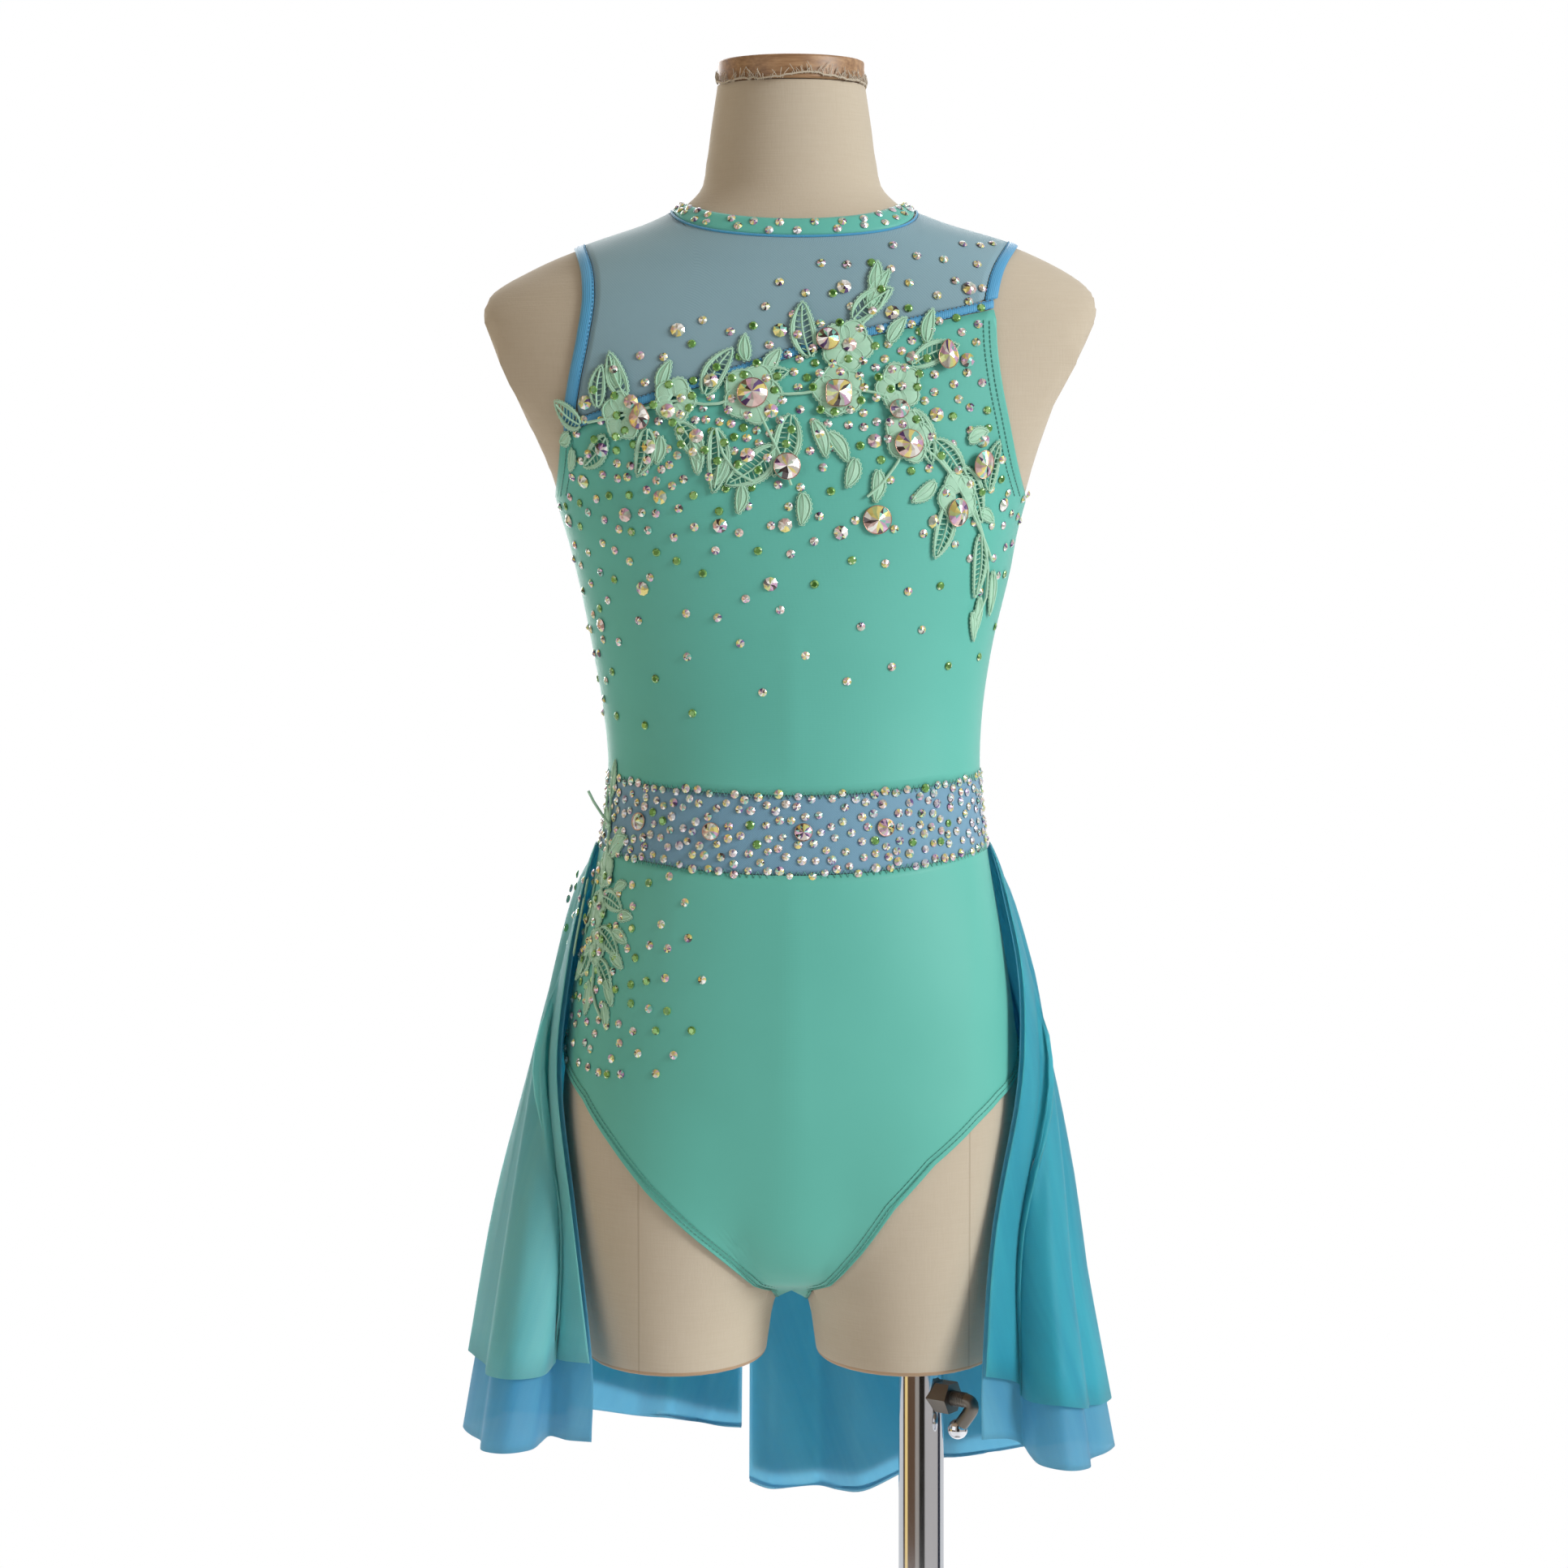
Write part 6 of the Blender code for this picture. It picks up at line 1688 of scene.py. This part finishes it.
def addLeaf(row, lift, thick, parts):
    # satin, cords, picots and bars of one leaf
    across, height, turn, length, width = row
    place = (across, height, turn)
    openCentre = width >= laceFit["open"]
    band = laceFit["band"]
    for low, high in ((-1.0, -band), (band, 1.0)) if openCentre else ((-1.0, 1.0),):
        flat, rise = petalGrid(length, width, low, high)
        parts["plates"].append((placedFlat(flat, *place), lift + 0.3 + rise))
    t = np.linspace(0.0, 1.0, 15)
    bend = leafBend(t, length)
    sides = [np.stack([t * length, sign * leafHalf(t) * width + bend], axis=1) for sign in (-1, 1)]
    around = np.concatenate([sides[0], sides[1][::-1][1:]])
    parts["cords"].append((placedFlat(around, *place), lift + 0.5))
    parts["picots"].append((placedFlat(scalloped(around), *place), lift + 0.3))
    vein = np.stack([t[:-1] * length, bend[:-1]], axis=1)
    parts["cords"].append((placedFlat(vein, *place), lift + 0.65 + 0.3 * thick))
    if openCentre:
        for share in np.linspace(0.12, 0.84, max(4, int(length / 3.4))):
            half = float(leafHalf(np.array(share))) * width * (band + 0.06)
            middle = leafBend(share, length)
            tip = (share + 0.05) * length
            bar = np.array([[tip, middle - half], [share * length, middle], [tip, middle + half]])
            parts["bars"].append((placedFlat(evenly(bar, 5), *place), lift + 0.45))


def addBlossom(across, height, radius, lift, parts):
    for k in range(5):
        place = (across, height, 72 * k + 7 * across)
        t = np.linspace(0.16, 1.0, 7)[:, None]
        s = np.linspace(-1, 1, 7)[None, :]
        wide = 0.52 * radius * np.sin(math.pi * np.clip(t * 0.86, 0, 1)) ** 0.8
        flat = np.stack([t * radius * (1 - 0.1 * s**2), wide * s], axis=-1)
        rise = laceFit["dome"] * 1.2 * (1 - np.abs(s) ** 2) * np.sin(math.pi * t * 0.9)
        parts["plates"].append((placedFlat(flat, *place), lift + 0.35 + rise))
        rim = np.concatenate([flat[:, 0], flat[-1, 1:-1], flat[::-1, -1]])
        parts["cords"].append((placedFlat(rim, *place), lift + 0.6))
        parts["picots"].append((placedFlat(scalloped(rim), *place), lift + 0.4))


def makeLace(name, leaves, sprigs, blossoms, stem, tendrils, lift, looks, node, over=(), twigs=()):
    parts = {"plates": [], "cords": [], "picots": [], "bars": [], "stems": []}
    for rows, thick, rowLift in ((leaves, 1.0, lift), (sprigs, 0.0, lift), (over, 0.0, laceFit["skirtLift"])):
        for row in rows:
            addLeaf(row, rowLift - 0.15 * (1 - thick), thick, parts)
    for blossom in blossoms:
        addBlossom(*blossom, lift + 0.25, parts)
    for line in (stem, *tendrils):
        flat = evenly([(unrolled(x, z), z) for x, z in line], 3 * len(line))
        parts["stems"].append((flat, lift + 0.6))
    mesh = bmesh.new()
    for points in placeAll(parts["plates"]):
        part = gridMesh(points)
        addWall(part, points - outward(points) * laceFit["plate"])
        data = meshData("petal", part)
        mesh.from_mesh(data)
        bpy.data.meshes.remove(data)
    addPiece(name + "Petals", mesh, looks["lace"], replaced=(node,), slot="lace_thread")
    stems = placeAll(parts["stems"]) + [np.array(twig, float) for twig in twigs]
    threadRuns(name + "Cords", placeAll(parts["cords"]), laceFit["cord"], looks["laceCord"], sides=1)
    threadRuns(name + "Picots", placeAll(parts["picots"]), laceFit["picot"], looks["laceCord"], sides=0)
    threadRuns(name + "Stems", stems, laceFit["stem"], looks["laceCord"], sides=2)
    threadRuns(name + "Bars", placeAll(parts["bars"]), laceFit["bar"], looks["laceCord"], sides=0)


# Stones

stoneCut = {
    "girdle": 0.14,  # heights above the seat, as shares of half the width
    "bezel": 0.32,
    "table": 0.42,
    "apex": 0.66,
    "shoulder": 0.44,  # the pointed cut's middle ring
    "shoulderWidth": 0.56,
    "backWidth": 0.9,
    "bezelWidth": 0.82,
    "tableWidth": 0.56,
    "sides": 14,
    "rim": 0.26,  # radius of the metal edge round a large stone
    "lacedSeat": 4.6,  # form to a large stone's back, on lace
    "plainSeat": 2.0,
    "small": 2.35,  # radius of a small stone
    "middling": 3.9,
    "smallSides": 9,
    "smallSeat": 1.9,
    "smallLacedSeat": 3.7,
}


def crownMesh(outline, half, pointed):
    # a cut stone about the origin, its back in the plane z = 0, each face marked with its sector
    mesh = bmesh.new()
    sector = mesh.faces.layers.int.new("sector")
    tiers = [(stoneCut["backWidth"], 0.0, False), (1.0, stoneCut["girdle"], False)]
    if pointed:
        tiers.append((stoneCut["shoulderWidth"], stoneCut["shoulder"], True))
    else:
        tiers += [(stoneCut["bezelWidth"], stoneCut["bezel"], True),
                  (stoneCut["tableWidth"], stoneCut["table"], False)]
    loops = []
    for scale, lift, turned in tiers:
        corners = (outline + np.roll(outline, -1, axis=0)) / 2 if turned else outline
        loops.append([mesh.verts.new((x * scale * mm, y * scale * mm, lift * half * mm)) for x, y in corners])
    tip = mesh.verts.new((0, 0, stoneCut["apex"] * half * mm)) if pointed else None
    mesh.faces.new(loops[0][::-1])
    count = len(outline)
    for j in range(count):
        k = (j + 1) % count
        base, girdle, middle = loops[:3]
        faces = [(base[j], base[k], girdle[k], girdle[j]), (girdle[j], girdle[k], middle[j]),
                 (middle[j], girdle[k], middle[k])]
        if pointed:
            faces.append((middle[j], middle[k], tip))
        else:
            faces += [(middle[j], middle[k], loops[3][k]), (loops[3][j], middle[j], loops[3][k])]
        for face in faces:
            mesh.faces.new(face)[sector] = j
    if not pointed:
        mesh.faces.new(loops[3])[sector] = count
    bmesh.ops.recalc_face_normals(mesh, faces=mesh.faces)
    return mesh


def joinStones(name, template, stands, rng, look, **marks):
    # copies of one stone as one mesh, each with its own tone in each sector of its facets
    template.verts.index_update()
    sector = template.faces.layers.int["sector"]
    corners = np.array([vert.co for vert in template.verts])
    faces = [[vert.index for vert in face.verts] for face in template.faces]
    sectors = np.array([face[sector] for face in template.faces])
    template.free()
    stands = np.array([np.array(stand) for stand in stands])
    places = np.einsum("sij,vj->svi", stands[:, :3, :3], corners) + stands[:, None, :3, 3]
    copies = [[corner + n * len(corners) for corner in face] for n in range(len(stands)) for face in faces]
    data = bpy.data.meshes.new(name)
    data.from_pydata(places.reshape(-1, 3).tolist(), [], copies)
    tones = rng.random((len(stands), sectors.max() + 1))[:, sectors]
    tones = np.clip(tones * 0.94 + rng.random(tones.shape) * 0.05, 0, 1)
    data.attributes.new("facet", "FLOAT", "FACE").data.foreach_set("value", tones.astype(np.float32).ravel())
    return addData(name, data, look, smooth=False, **marks)


def stoneOutline(kind, half, tall, sides):
    turns = np.arange(sides) * 2 * math.pi / sides + math.pi / 2
    x, z = np.cos(turns), np.sin(turns)
    if kind == "drop":
        x, z = x * (1 - 0.42 * np.maximum(z, 0)), np.where(z > 0, z * 1.12, z * 0.88)
    if kind == "square":
        power = (np.abs(x) ** 4 + np.abs(z) ** 4) ** -0.25
        x, z = x * power, z * power
    return np.stack([x * half, z * tall], axis=1)


def frameAt(place, normal, turn=0.0, size=1.0):
    # a matrix that stands a stone on the cloth at a place of the form, turned about its normal
    right = np.cross((0.0, 0.0, 1.0), normal)
    right = right / np.linalg.norm(right)
    up = np.cross(normal, right)
    c, s = math.cos(turn), math.sin(turn)
    axes = np.stack([c * right + s * up, c * up - s * right, normal], axis=1)
    matrix = Matrix.Identity(4)
    for i in range(3):
        for j in range(3):
            matrix[i][j] = float(axes[i, j]) * size
    matrix.translation = Vector(carried(place))
    return matrix


def makeLargeStones(looks):
    rng = np.random.default_rng(12)
    runs = []
    for index, row in enumerate(stoneTable, start=1):
        across, height, half, tall, kind, onLace = row
        place = facing(across, height, -1)
        normal = outward(place)
        seat = stoneCut["lacedSeat"] if onLace else stoneCut["plainSeat"]
        crown = crownMesh(stoneOutline(kind, half, tall, stoneCut["sides"]), half, True)
        stand = frameAt(place + normal * seat, normal)
        joinStones(f"largeStone{index}", crown, [stand], rng, looks["shiftingStone"],
                   replaced=(f"stone_{kind}_{index}",), slot="glass")
        edge = stoneOutline(kind, half, tall, 28)
        axes = np.array(stand.to_3x3())
        runs.append(place + normal * (seat + stoneCut["girdle"] * half) + edge @ axes[:, :2].T)
    threadRuns("stoneRims", runs, stoneCut["rim"], looks["setting"], sides=1, rings=True, caps=False)
    print("large stones made")


def chestStoneSpacing(slant, across, height):
    # how far apart the small stones lie at a place of the front, or nothing where there are none
    below = float(np.interp(across, slant[:, 0], slant[:, 1])) - height
    if below < 0:
        reach = 46 if across > 20 else 16 + 0.24 * max(across + 120, 0)
        return 8.8 - 0.14 * below + 0.02 * max(20 - across, 0) if -below < reach else None
    if across > 84 and below < 150:
        return 7.2 + 0.03 * below
    if across < -94 and height > 884:
        return 9.6 + 0.02 * below
    for depth, spacing in smallStones["below"]:
        if below < depth:
            return spacing
    return None


def middlingSpacing(slant, across, height):
    below = float(np.interp(across, slant[:, 0], slant[:, 1])) - height
    return 21.0 + 0.1 * abs(below) if -34 < below < 120 else None


def hipStoneSpacing(across, height):
    spacing = 5.2 + 0.19 * max(0, across + 104) + 0.04 * max(0, 765 - height)
    return spacing if across < -46 and spacing < 17 else None


def scatteredStones(seed, tries, heights, reach, spacingAt, taken):
    # darts thrown at the front and kept where they lie far enough from those before
    rng = random.Random(seed)
    kept = []
    for _ in range(tries):
        height = rng.uniform(*heights)
        across = rng.uniform(-reach, reach)
        spacing = spacingAt(across, height)
        if spacing is None or abs(across) > torsoHalf(height) - 1 or not insideFront(across, height):
            continue
        flat = (unrolled(across, height), height)
        spacing *= rng.uniform(0.88, 1.22)
        if any(math.dist(flat, other[0]) < max(spacing, other[1]) for other in kept):
            continue
        if all(math.dist((across, height), other[:2]) > other[2] + 2.6 for other in taken):
            kept.append((flat, spacing * 0.8, (across, height)))
    return [place for *_, place in kept]


def waistScatter(rng, front, taken):
    # stones crowded over the waist insert and its seams, closer together at the sides
    tries = 4600
    angles = rng.uniform(-90, 90, tries)
    low, top = waistHeight(angles, waistLow, front), waistHeight(angles, waistTop, front)
    places = ring(roundForm(angles, front), low + (top - low) * rng.uniform(-0.02, 1.03, tries))
    apart = rng.uniform(0.94, 1.18, tries) * (4.7 + 0.9 * np.cos(np.radians(angles)) ** 2)
    kept = places[:1]
    for place, spacing in zip(places[1:], apart[1:]):
        if np.linalg.norm(kept - place, axis=1).min() < spacing:
            continue
        if not front or all(math.dist(place[[0, 2]], other[:2]) > other[2] + 2.5 for other in taken):
            kept = np.concatenate([kept, place[None]])
    return kept


def torsoHalf(height):
    return float(torso["half"](height) * torso["plate"](height))


def insideFront(across, height):
    # whether a place of the front lies on cloth rather than in an armhole or on the neck band
    if height < underarm + 10:
        return True
    left, right = (float(armhole[name](height)) for name in ("left", "right"))
    slope = torsoHalf(height) > abs(across) + 4
    return left + 8.5 < across < right - 8.5 and slope and height < neckLowFront - 4


def laceCover(leaves, blossoms):
    # circles that stand for the thick leaves and blossoms, to seat the small stones on
    circles = [(unrolled(x, z), z, r) for x, z, r in blossoms]
    for across, height, turn, length, width in leaves:
        for t in (0.3, 0.6):
            c, s = math.cos(math.radians(turn)), math.sin(math.radians(turn))
            centre = (unrolled(across, height) + c * t * length, height + s * t * length)
            circles.append((*centre, width * 0.42))
    return circles


smallStones = {
    # seed, tries, lowest and highest, and how far to either side
    "middlingField": (3, 500, (900, 1130), 126),
    "chestField": (8, 12000, (880, 1142), 130),
    "hipField": (15, 2500, (690, 800), 124),
    "below": ((40, 5.9), (60, 7.4), (80, 10.4), (108, 14.0), (146, 19.5), (196, 27.0)),  # spacing by depth
    "greens": 0.24,  # share of green ones on plain cloth, then on lace
    "lacedGreens": 0.46,
    "overSkirtGreens": 0.4,
    "neckViolets": 0.4,
    "waistKinds": (0.04, 0.5),  # green below the first share, violet below the second
    "waistSizes": (0.84, 1.08),  # against the small stones'
    "neckCount": 34,  # in each of the neck band's two rows
    "neckRows": (0.3, 0.72),
    "overSkirt": ((-112, 786), (-117, 779), (-113, 770), (-118, 763), (-116, 755), (-109, 781),
                  (-107, 791), (-111, 793), (-115, 785), (-110, 774)),
}


def frontStones(rng, large):
    # place, seat, kind and size of each small stone on the front
    spots = []
    cover = laceCover(chestLeaves, chestBlossoms) + laceCover(hipLeaves, hipBlossoms)
    slant = diagonalLine(True, 0.0)
    middling = scatteredStones(*smallStones["middlingField"], lambda *at: middlingSpacing(slant, *at), large)
    taken = large + [(*place, stoneCut["middling"]) for place in middling]
    chest = scatteredStones(*smallStones["chestField"], lambda *at: chestStoneSpacing(slant, *at), taken)
    hip = scatteredStones(*smallStones["hipField"], hipStoneSpacing, [])
    for size, group in ((stoneCut["middling"], middling), (stoneCut["small"], chest + hip)):
        for place, (across, height) in zip(facing(*np.array(group).T, -1), group):
            flat = (unrolled(across, height), height)
            laced = any(math.dist(flat, circle[:2]) < circle[2] + 1.5 for circle in cover)
            greens = smallStones["lacedGreens" if laced else "greens"]
            green = size < stoneCut["middling"] and rng.random() < greens
            spots.append((place, stoneCut["smallLacedSeat" if laced else "smallSeat"],
                          "green" if green else "shifting", size))
    for place in facing(*np.array(smallStones["overSkirt"], float).T, -1):
        kind = "green" if rng.random() < smallStones["overSkirtGreens"] else "shifting"
        spots.append((place, laceFit["skirtLift"] + 1.0, kind, stoneCut["small"]))
    return spots


def bandStones(rng, large):
    # the same for the neck band's two rows and for the waist insert
    spots = []
    count = smallStones["neckCount"]
    for row, share in enumerate(smallStones["neckRows"]):
        angles = (np.arange(count) + 0.5 * row + rng.uniform(-0.2, 0.2, count)) * 360 / count
        share = share + rng.uniform(-0.07, 0.07, count)
        for place in ring(angles, neckAt(angles, share)):
            kind = "violet" if rng.random() < smallStones["neckViolets"] else "shifting"
            spots.append((place, clothFit["binding"], kind, stoneCut["small"]))
    onWaist = [row for row in large if row[1] < waistTop[1]]
    greenShare, violetShare = smallStones["waistKinds"]
    for front in (True, False):
        for place in waistScatter(rng, front, onWaist):
            pick = rng.random()
            kind = "green" if pick < greenShare else "violet" if pick < violetShare else "shifting"
            size = stoneCut["small"] * rng.uniform(*smallStones["waistSizes"])
            spots.append((place, clothFit["panel"] + 0.15, kind, size))
    return spots


def makeSmallStones(looks):
    rng = np.random.default_rng(77)
    large = [(row[0], row[1], max(row[2], row[3])) for row in stoneTable]
    spots = frontStones(rng, large)
    spots += bandStones(rng, large)
    normals = outward(np.array([spot[0] for spot in spots]))
    groups = {"green": [], "shifting": [], "violet": []}
    for normal, (place, seat, kind, size) in zip(normals, spots):
        groups[kind].append(frameAt(place + normal * seat, normal, rng.uniform(0, 6), size))
    for kind in groups:
        crown = crownMesh(stoneOutline("round", 1.0, 1.0, stoneCut["smallSides"]), 1.0, kind != "green")
        joinStones(f"small{kind.title()}Stones", crown, groups[kind], rng, looks[kind + "Stone"])
    print("small stones:", {name: len(places) for name, places in groups.items()})


# The stand

standSizes = {
    "tube": 12.5,
    "tubeBore": 11.2,
    "rod": 10.6,
    "rodSpan": (190.0, 660.0),
    "head": 530.6,
    "foot": 8.3,
    "base": 168.0,
    "plate": 7.0,
    "boss": 24.0,
    "bossTop": 40.0,
    "socketFloor": 8.0,  # the tube stands in the boss down to here
    "socketGap": 0.3,
    "clampHeight": 507.0,
    "clampBearing": -35.0,
    "screw": 3.9,
    "screwStart": 11.0,
    "screwReach": 37.0,
    "handle": 21.0,
    "handleWay": (-0.62, -0.785),
    "ball": 5.6,
    "thread": 1.1,  # pitch of the screw's thread
    "threadTurns": 17,
    "threadRadius": 0.3,
}


def rounded(radius, height, edge):
    # a few points round a turned edge that ends at a height
    return [(radius - edge * (1 - math.cos(a)), height - edge * (1 - math.sin(a)))
            for a in (0.0, 0.4, 0.8, 1.2, math.pi / 2)]


def makeStand(looks):
    s = standSizes
    tube = [(s["tube"], s["foot"]), (s["tube"], s["head"] - 0.5), (s["tube"] - 0.5, s["head"]),
            (s["tubeBore"], s["head"]), (s["tubeBore"], s["foot"])]
    turnedPiece("standTube", tube, looks["chrome"], 96, "stand", replaced=("stand_tube",), slot="chrome")
    low, top = s["rodSpan"]
    rod = [(0, low), (s["rod"] - 1, low), (s["rod"], low + 1), (s["rod"], top), (0, top)]
    turnedPiece("formRod", rod, looks["chrome"], 64, "rod", replaced=("form_rod",), slot="chrome")
    socket, floor, plate = s["tube"] + s["socketGap"], s["socketFloor"], s["plate"]
    base = [(0, 0), (s["base"] - 0.8, 0), (s["base"], 0.8)] + rounded(s["base"], plate, 1.6)
    base += [(s["boss"] + 4, plate + 0.6), (s["boss"] + 1.5, plate + 2), (s["boss"], plate + 6)]
    base += rounded(s["boss"] - 1, s["bossTop"], 1.5) + [(socket, s["bossTop"]), (socket, floor), (0, floor)]
    turnedPiece("basePlate", base, looks["steel"], 128, "stand", replaced=("base_plate",), slot="steel")
    print("stand made")


def makeClamp(looks):
    # a screw bent down into a handle with a ball at its end; these points run from the tube's axis
    s = standSizes
    upright = np.array([0.0, 0.0, 1.0])
    bearing = math.radians(s["clampBearing"])
    way = np.array([math.cos(bearing), math.sin(bearing), 0.0])
    middle = upright * s["clampHeight"]
    tip = middle + way * s["screwReach"]
    down = s["handleWay"][0] * way + upright * s["handleWay"][1]
    ball = tip + down * s["handle"]
    corners = [middle + way * s["screwStart"], tip - way * 6, tip - way * 1.6 + down * 1.4, tip + down * 6,
               ball - down * 1.5]
    path = evenly(corners, 25)
    for _ in range(6):
        path[1:-1] = 0.5 * path[1:-1] + 0.25 * (path[:-2] + path[2:])
    threadRuns("clampScrew", [path - (formX, 0, 0)], s["screw"], looks["darkSteel"], sides=6, body="clamp",
               replaced=("clamp_screw",), slot="chrome")
    turns = np.arange(0.0, s["threadTurns"] * 2 * math.pi, 0.35)
    side = np.cross(way, upright)
    across = np.cos(turns)[:, None] * side + np.sin(turns)[:, None] * upright
    spiral = middle + way * (s["screwStart"] + s["thread"] * turns[:, None] / (2 * math.pi))
    threadRuns("clampThread", [spiral + across * s["screw"] - (formX, 0, 0)], s["threadRadius"],
               looks["darkSteel"], body="clamp")
    knob = bmesh.new()
    bmesh.ops.create_uvsphere(knob, u_segments=32, v_segments=18, radius=s["ball"] * mm)
    bmesh.ops.translate(knob, verts=knob.verts, vec=tuple(ball * mm))
    addPiece("clampBall", knob, looks["chrome"], "clamp", slot="chrome")
    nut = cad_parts["clamp_nut"].data
    nut.materials.clear()
    nut.materials.append(looks["darkSteel"].material)
    print("clamp made")


def addFloor():
    # a wide plain disc under the stand
    look = Look("floor", sceneColour(244, 244, 246), 0.6)
    grain = look.noise(look.objectPlace(), 60.0, 3.0)
    look.put(look.shader, {"Roughness": grain * 0.1 + 0.55})
    look.bump(grain, 0.02, 0.0005)
    mesh = bmesh.new()
    bmesh.ops.create_circle(mesh, cap_ends=True, segments=96, radius=lightSetup["floorRadius"])
    bmesh.ops.translate(mesh, verts=mesh.verts, vec=(formX * mm, 0, -0.0006))
    data = meshData("floor", mesh)
    data.materials.append(look.material)
    floor = bpy.data.objects.new("floor", data)
    bpy.context.scene.collection.objects.link(floor)


def makeLooks():
    c = clothColours
    return {
        "linen": linenCloth(),
        "linenThread": spunThread("linenThread", c["linen"], c["linenDark"]),
        "wood": turnedWood(),
        "chrome": polishedMetal("chromePlate", sceneColour(226, 228, 232), 0.06, 0.08),
        "steel": paintedSteel(),
        "darkSteel": polishedMetal("darkSteel", sceneColour(122, 117, 110), 0.26, 0.2),
        "mint": stretchCloth("mintSpandex", c["mint"], c["mintDeep"]),
        "yoke": netCloth("yokeMesh", c["meshBlue"], c["meshDeep"], 0.9),
        "waist": netCloth("waistMesh", c["waistBlue"], c["waistDeep"], 0.94),
        "binding": foldedElastic("bindingBlue", c["bindingBlue"], c["bindingDeep"]),
        "thread": spunThread("mintThread", c["thread"], c["mintDeep"]),
        "hemThread": spunThread("hemThread", c["hemThread"], c["mintDeep"]),
        "blueThread": spunThread("blueThread", c["blueThread"], c["skirtDeep"]),
        "lace": spunThread("laceSatin", c["lace"], c["laceDeep"], 700.0),
        "laceCord": spunThread("laceCord", c["lace"], c["laceDeep"], 1100.0),
        "underRight": skirtCloth("underBlueRight", c["underBlue"], c["underDeep"], 0.7),
        "underLeft": skirtCloth("underBlueLeft", c["underBlue"], c["underDeep"], 0.7, 0.08),
        # the outer layer's lighter -X tones are partly painted light for its shaded side
        "outer": skirtCloth("outerAqua", c["skirtMint"], c["skirtMintDeep"], 0.84,
                            beyond=(c["skirtCyan"], c["skirtDeep"])),
        "shiftingStone": cutCrystal("shifting"),
        "greenStone": cutCrystal("green"),
        "violetStone": cutCrystal("violet"),
        "setting": polishedMetal("stoneRim", sceneColour(214, 168, 150), 0.25, 0.1),
    }


def main():
    addCamera()
    addStudio()
    looks = makeLooks()
    print("looks made")
    makeForm(looks["linen"])
    makeNeckTop(looks["wood"], looks["linen"], looks["linenThread"])
    makeStand(looks)
    makeClamp(looks)
    makeUpper(looks)
    makeWaist(looks)
    makeBrief(looks)
    makeStitching(looks)
    makeSkirt(looks)
    makeLace("chestLace", chestLeaves, chestSprigs, chestBlossoms, chestStem, chestTendrils,
             laceFit["chestLift"], looks, "lace_chest")
    makeLace("hipLace", hipLeaves, hipSprigs, hipBlossoms, hipStem, hipTendrils,
             laceFit["hipLift"], looks, "lace_hip", over=skirtSprigs, twigs=(hipTwig,))
    print("lace made")
    makeLargeStones(looks)
    makeSmallStones(looks)
    addFloor()


main()
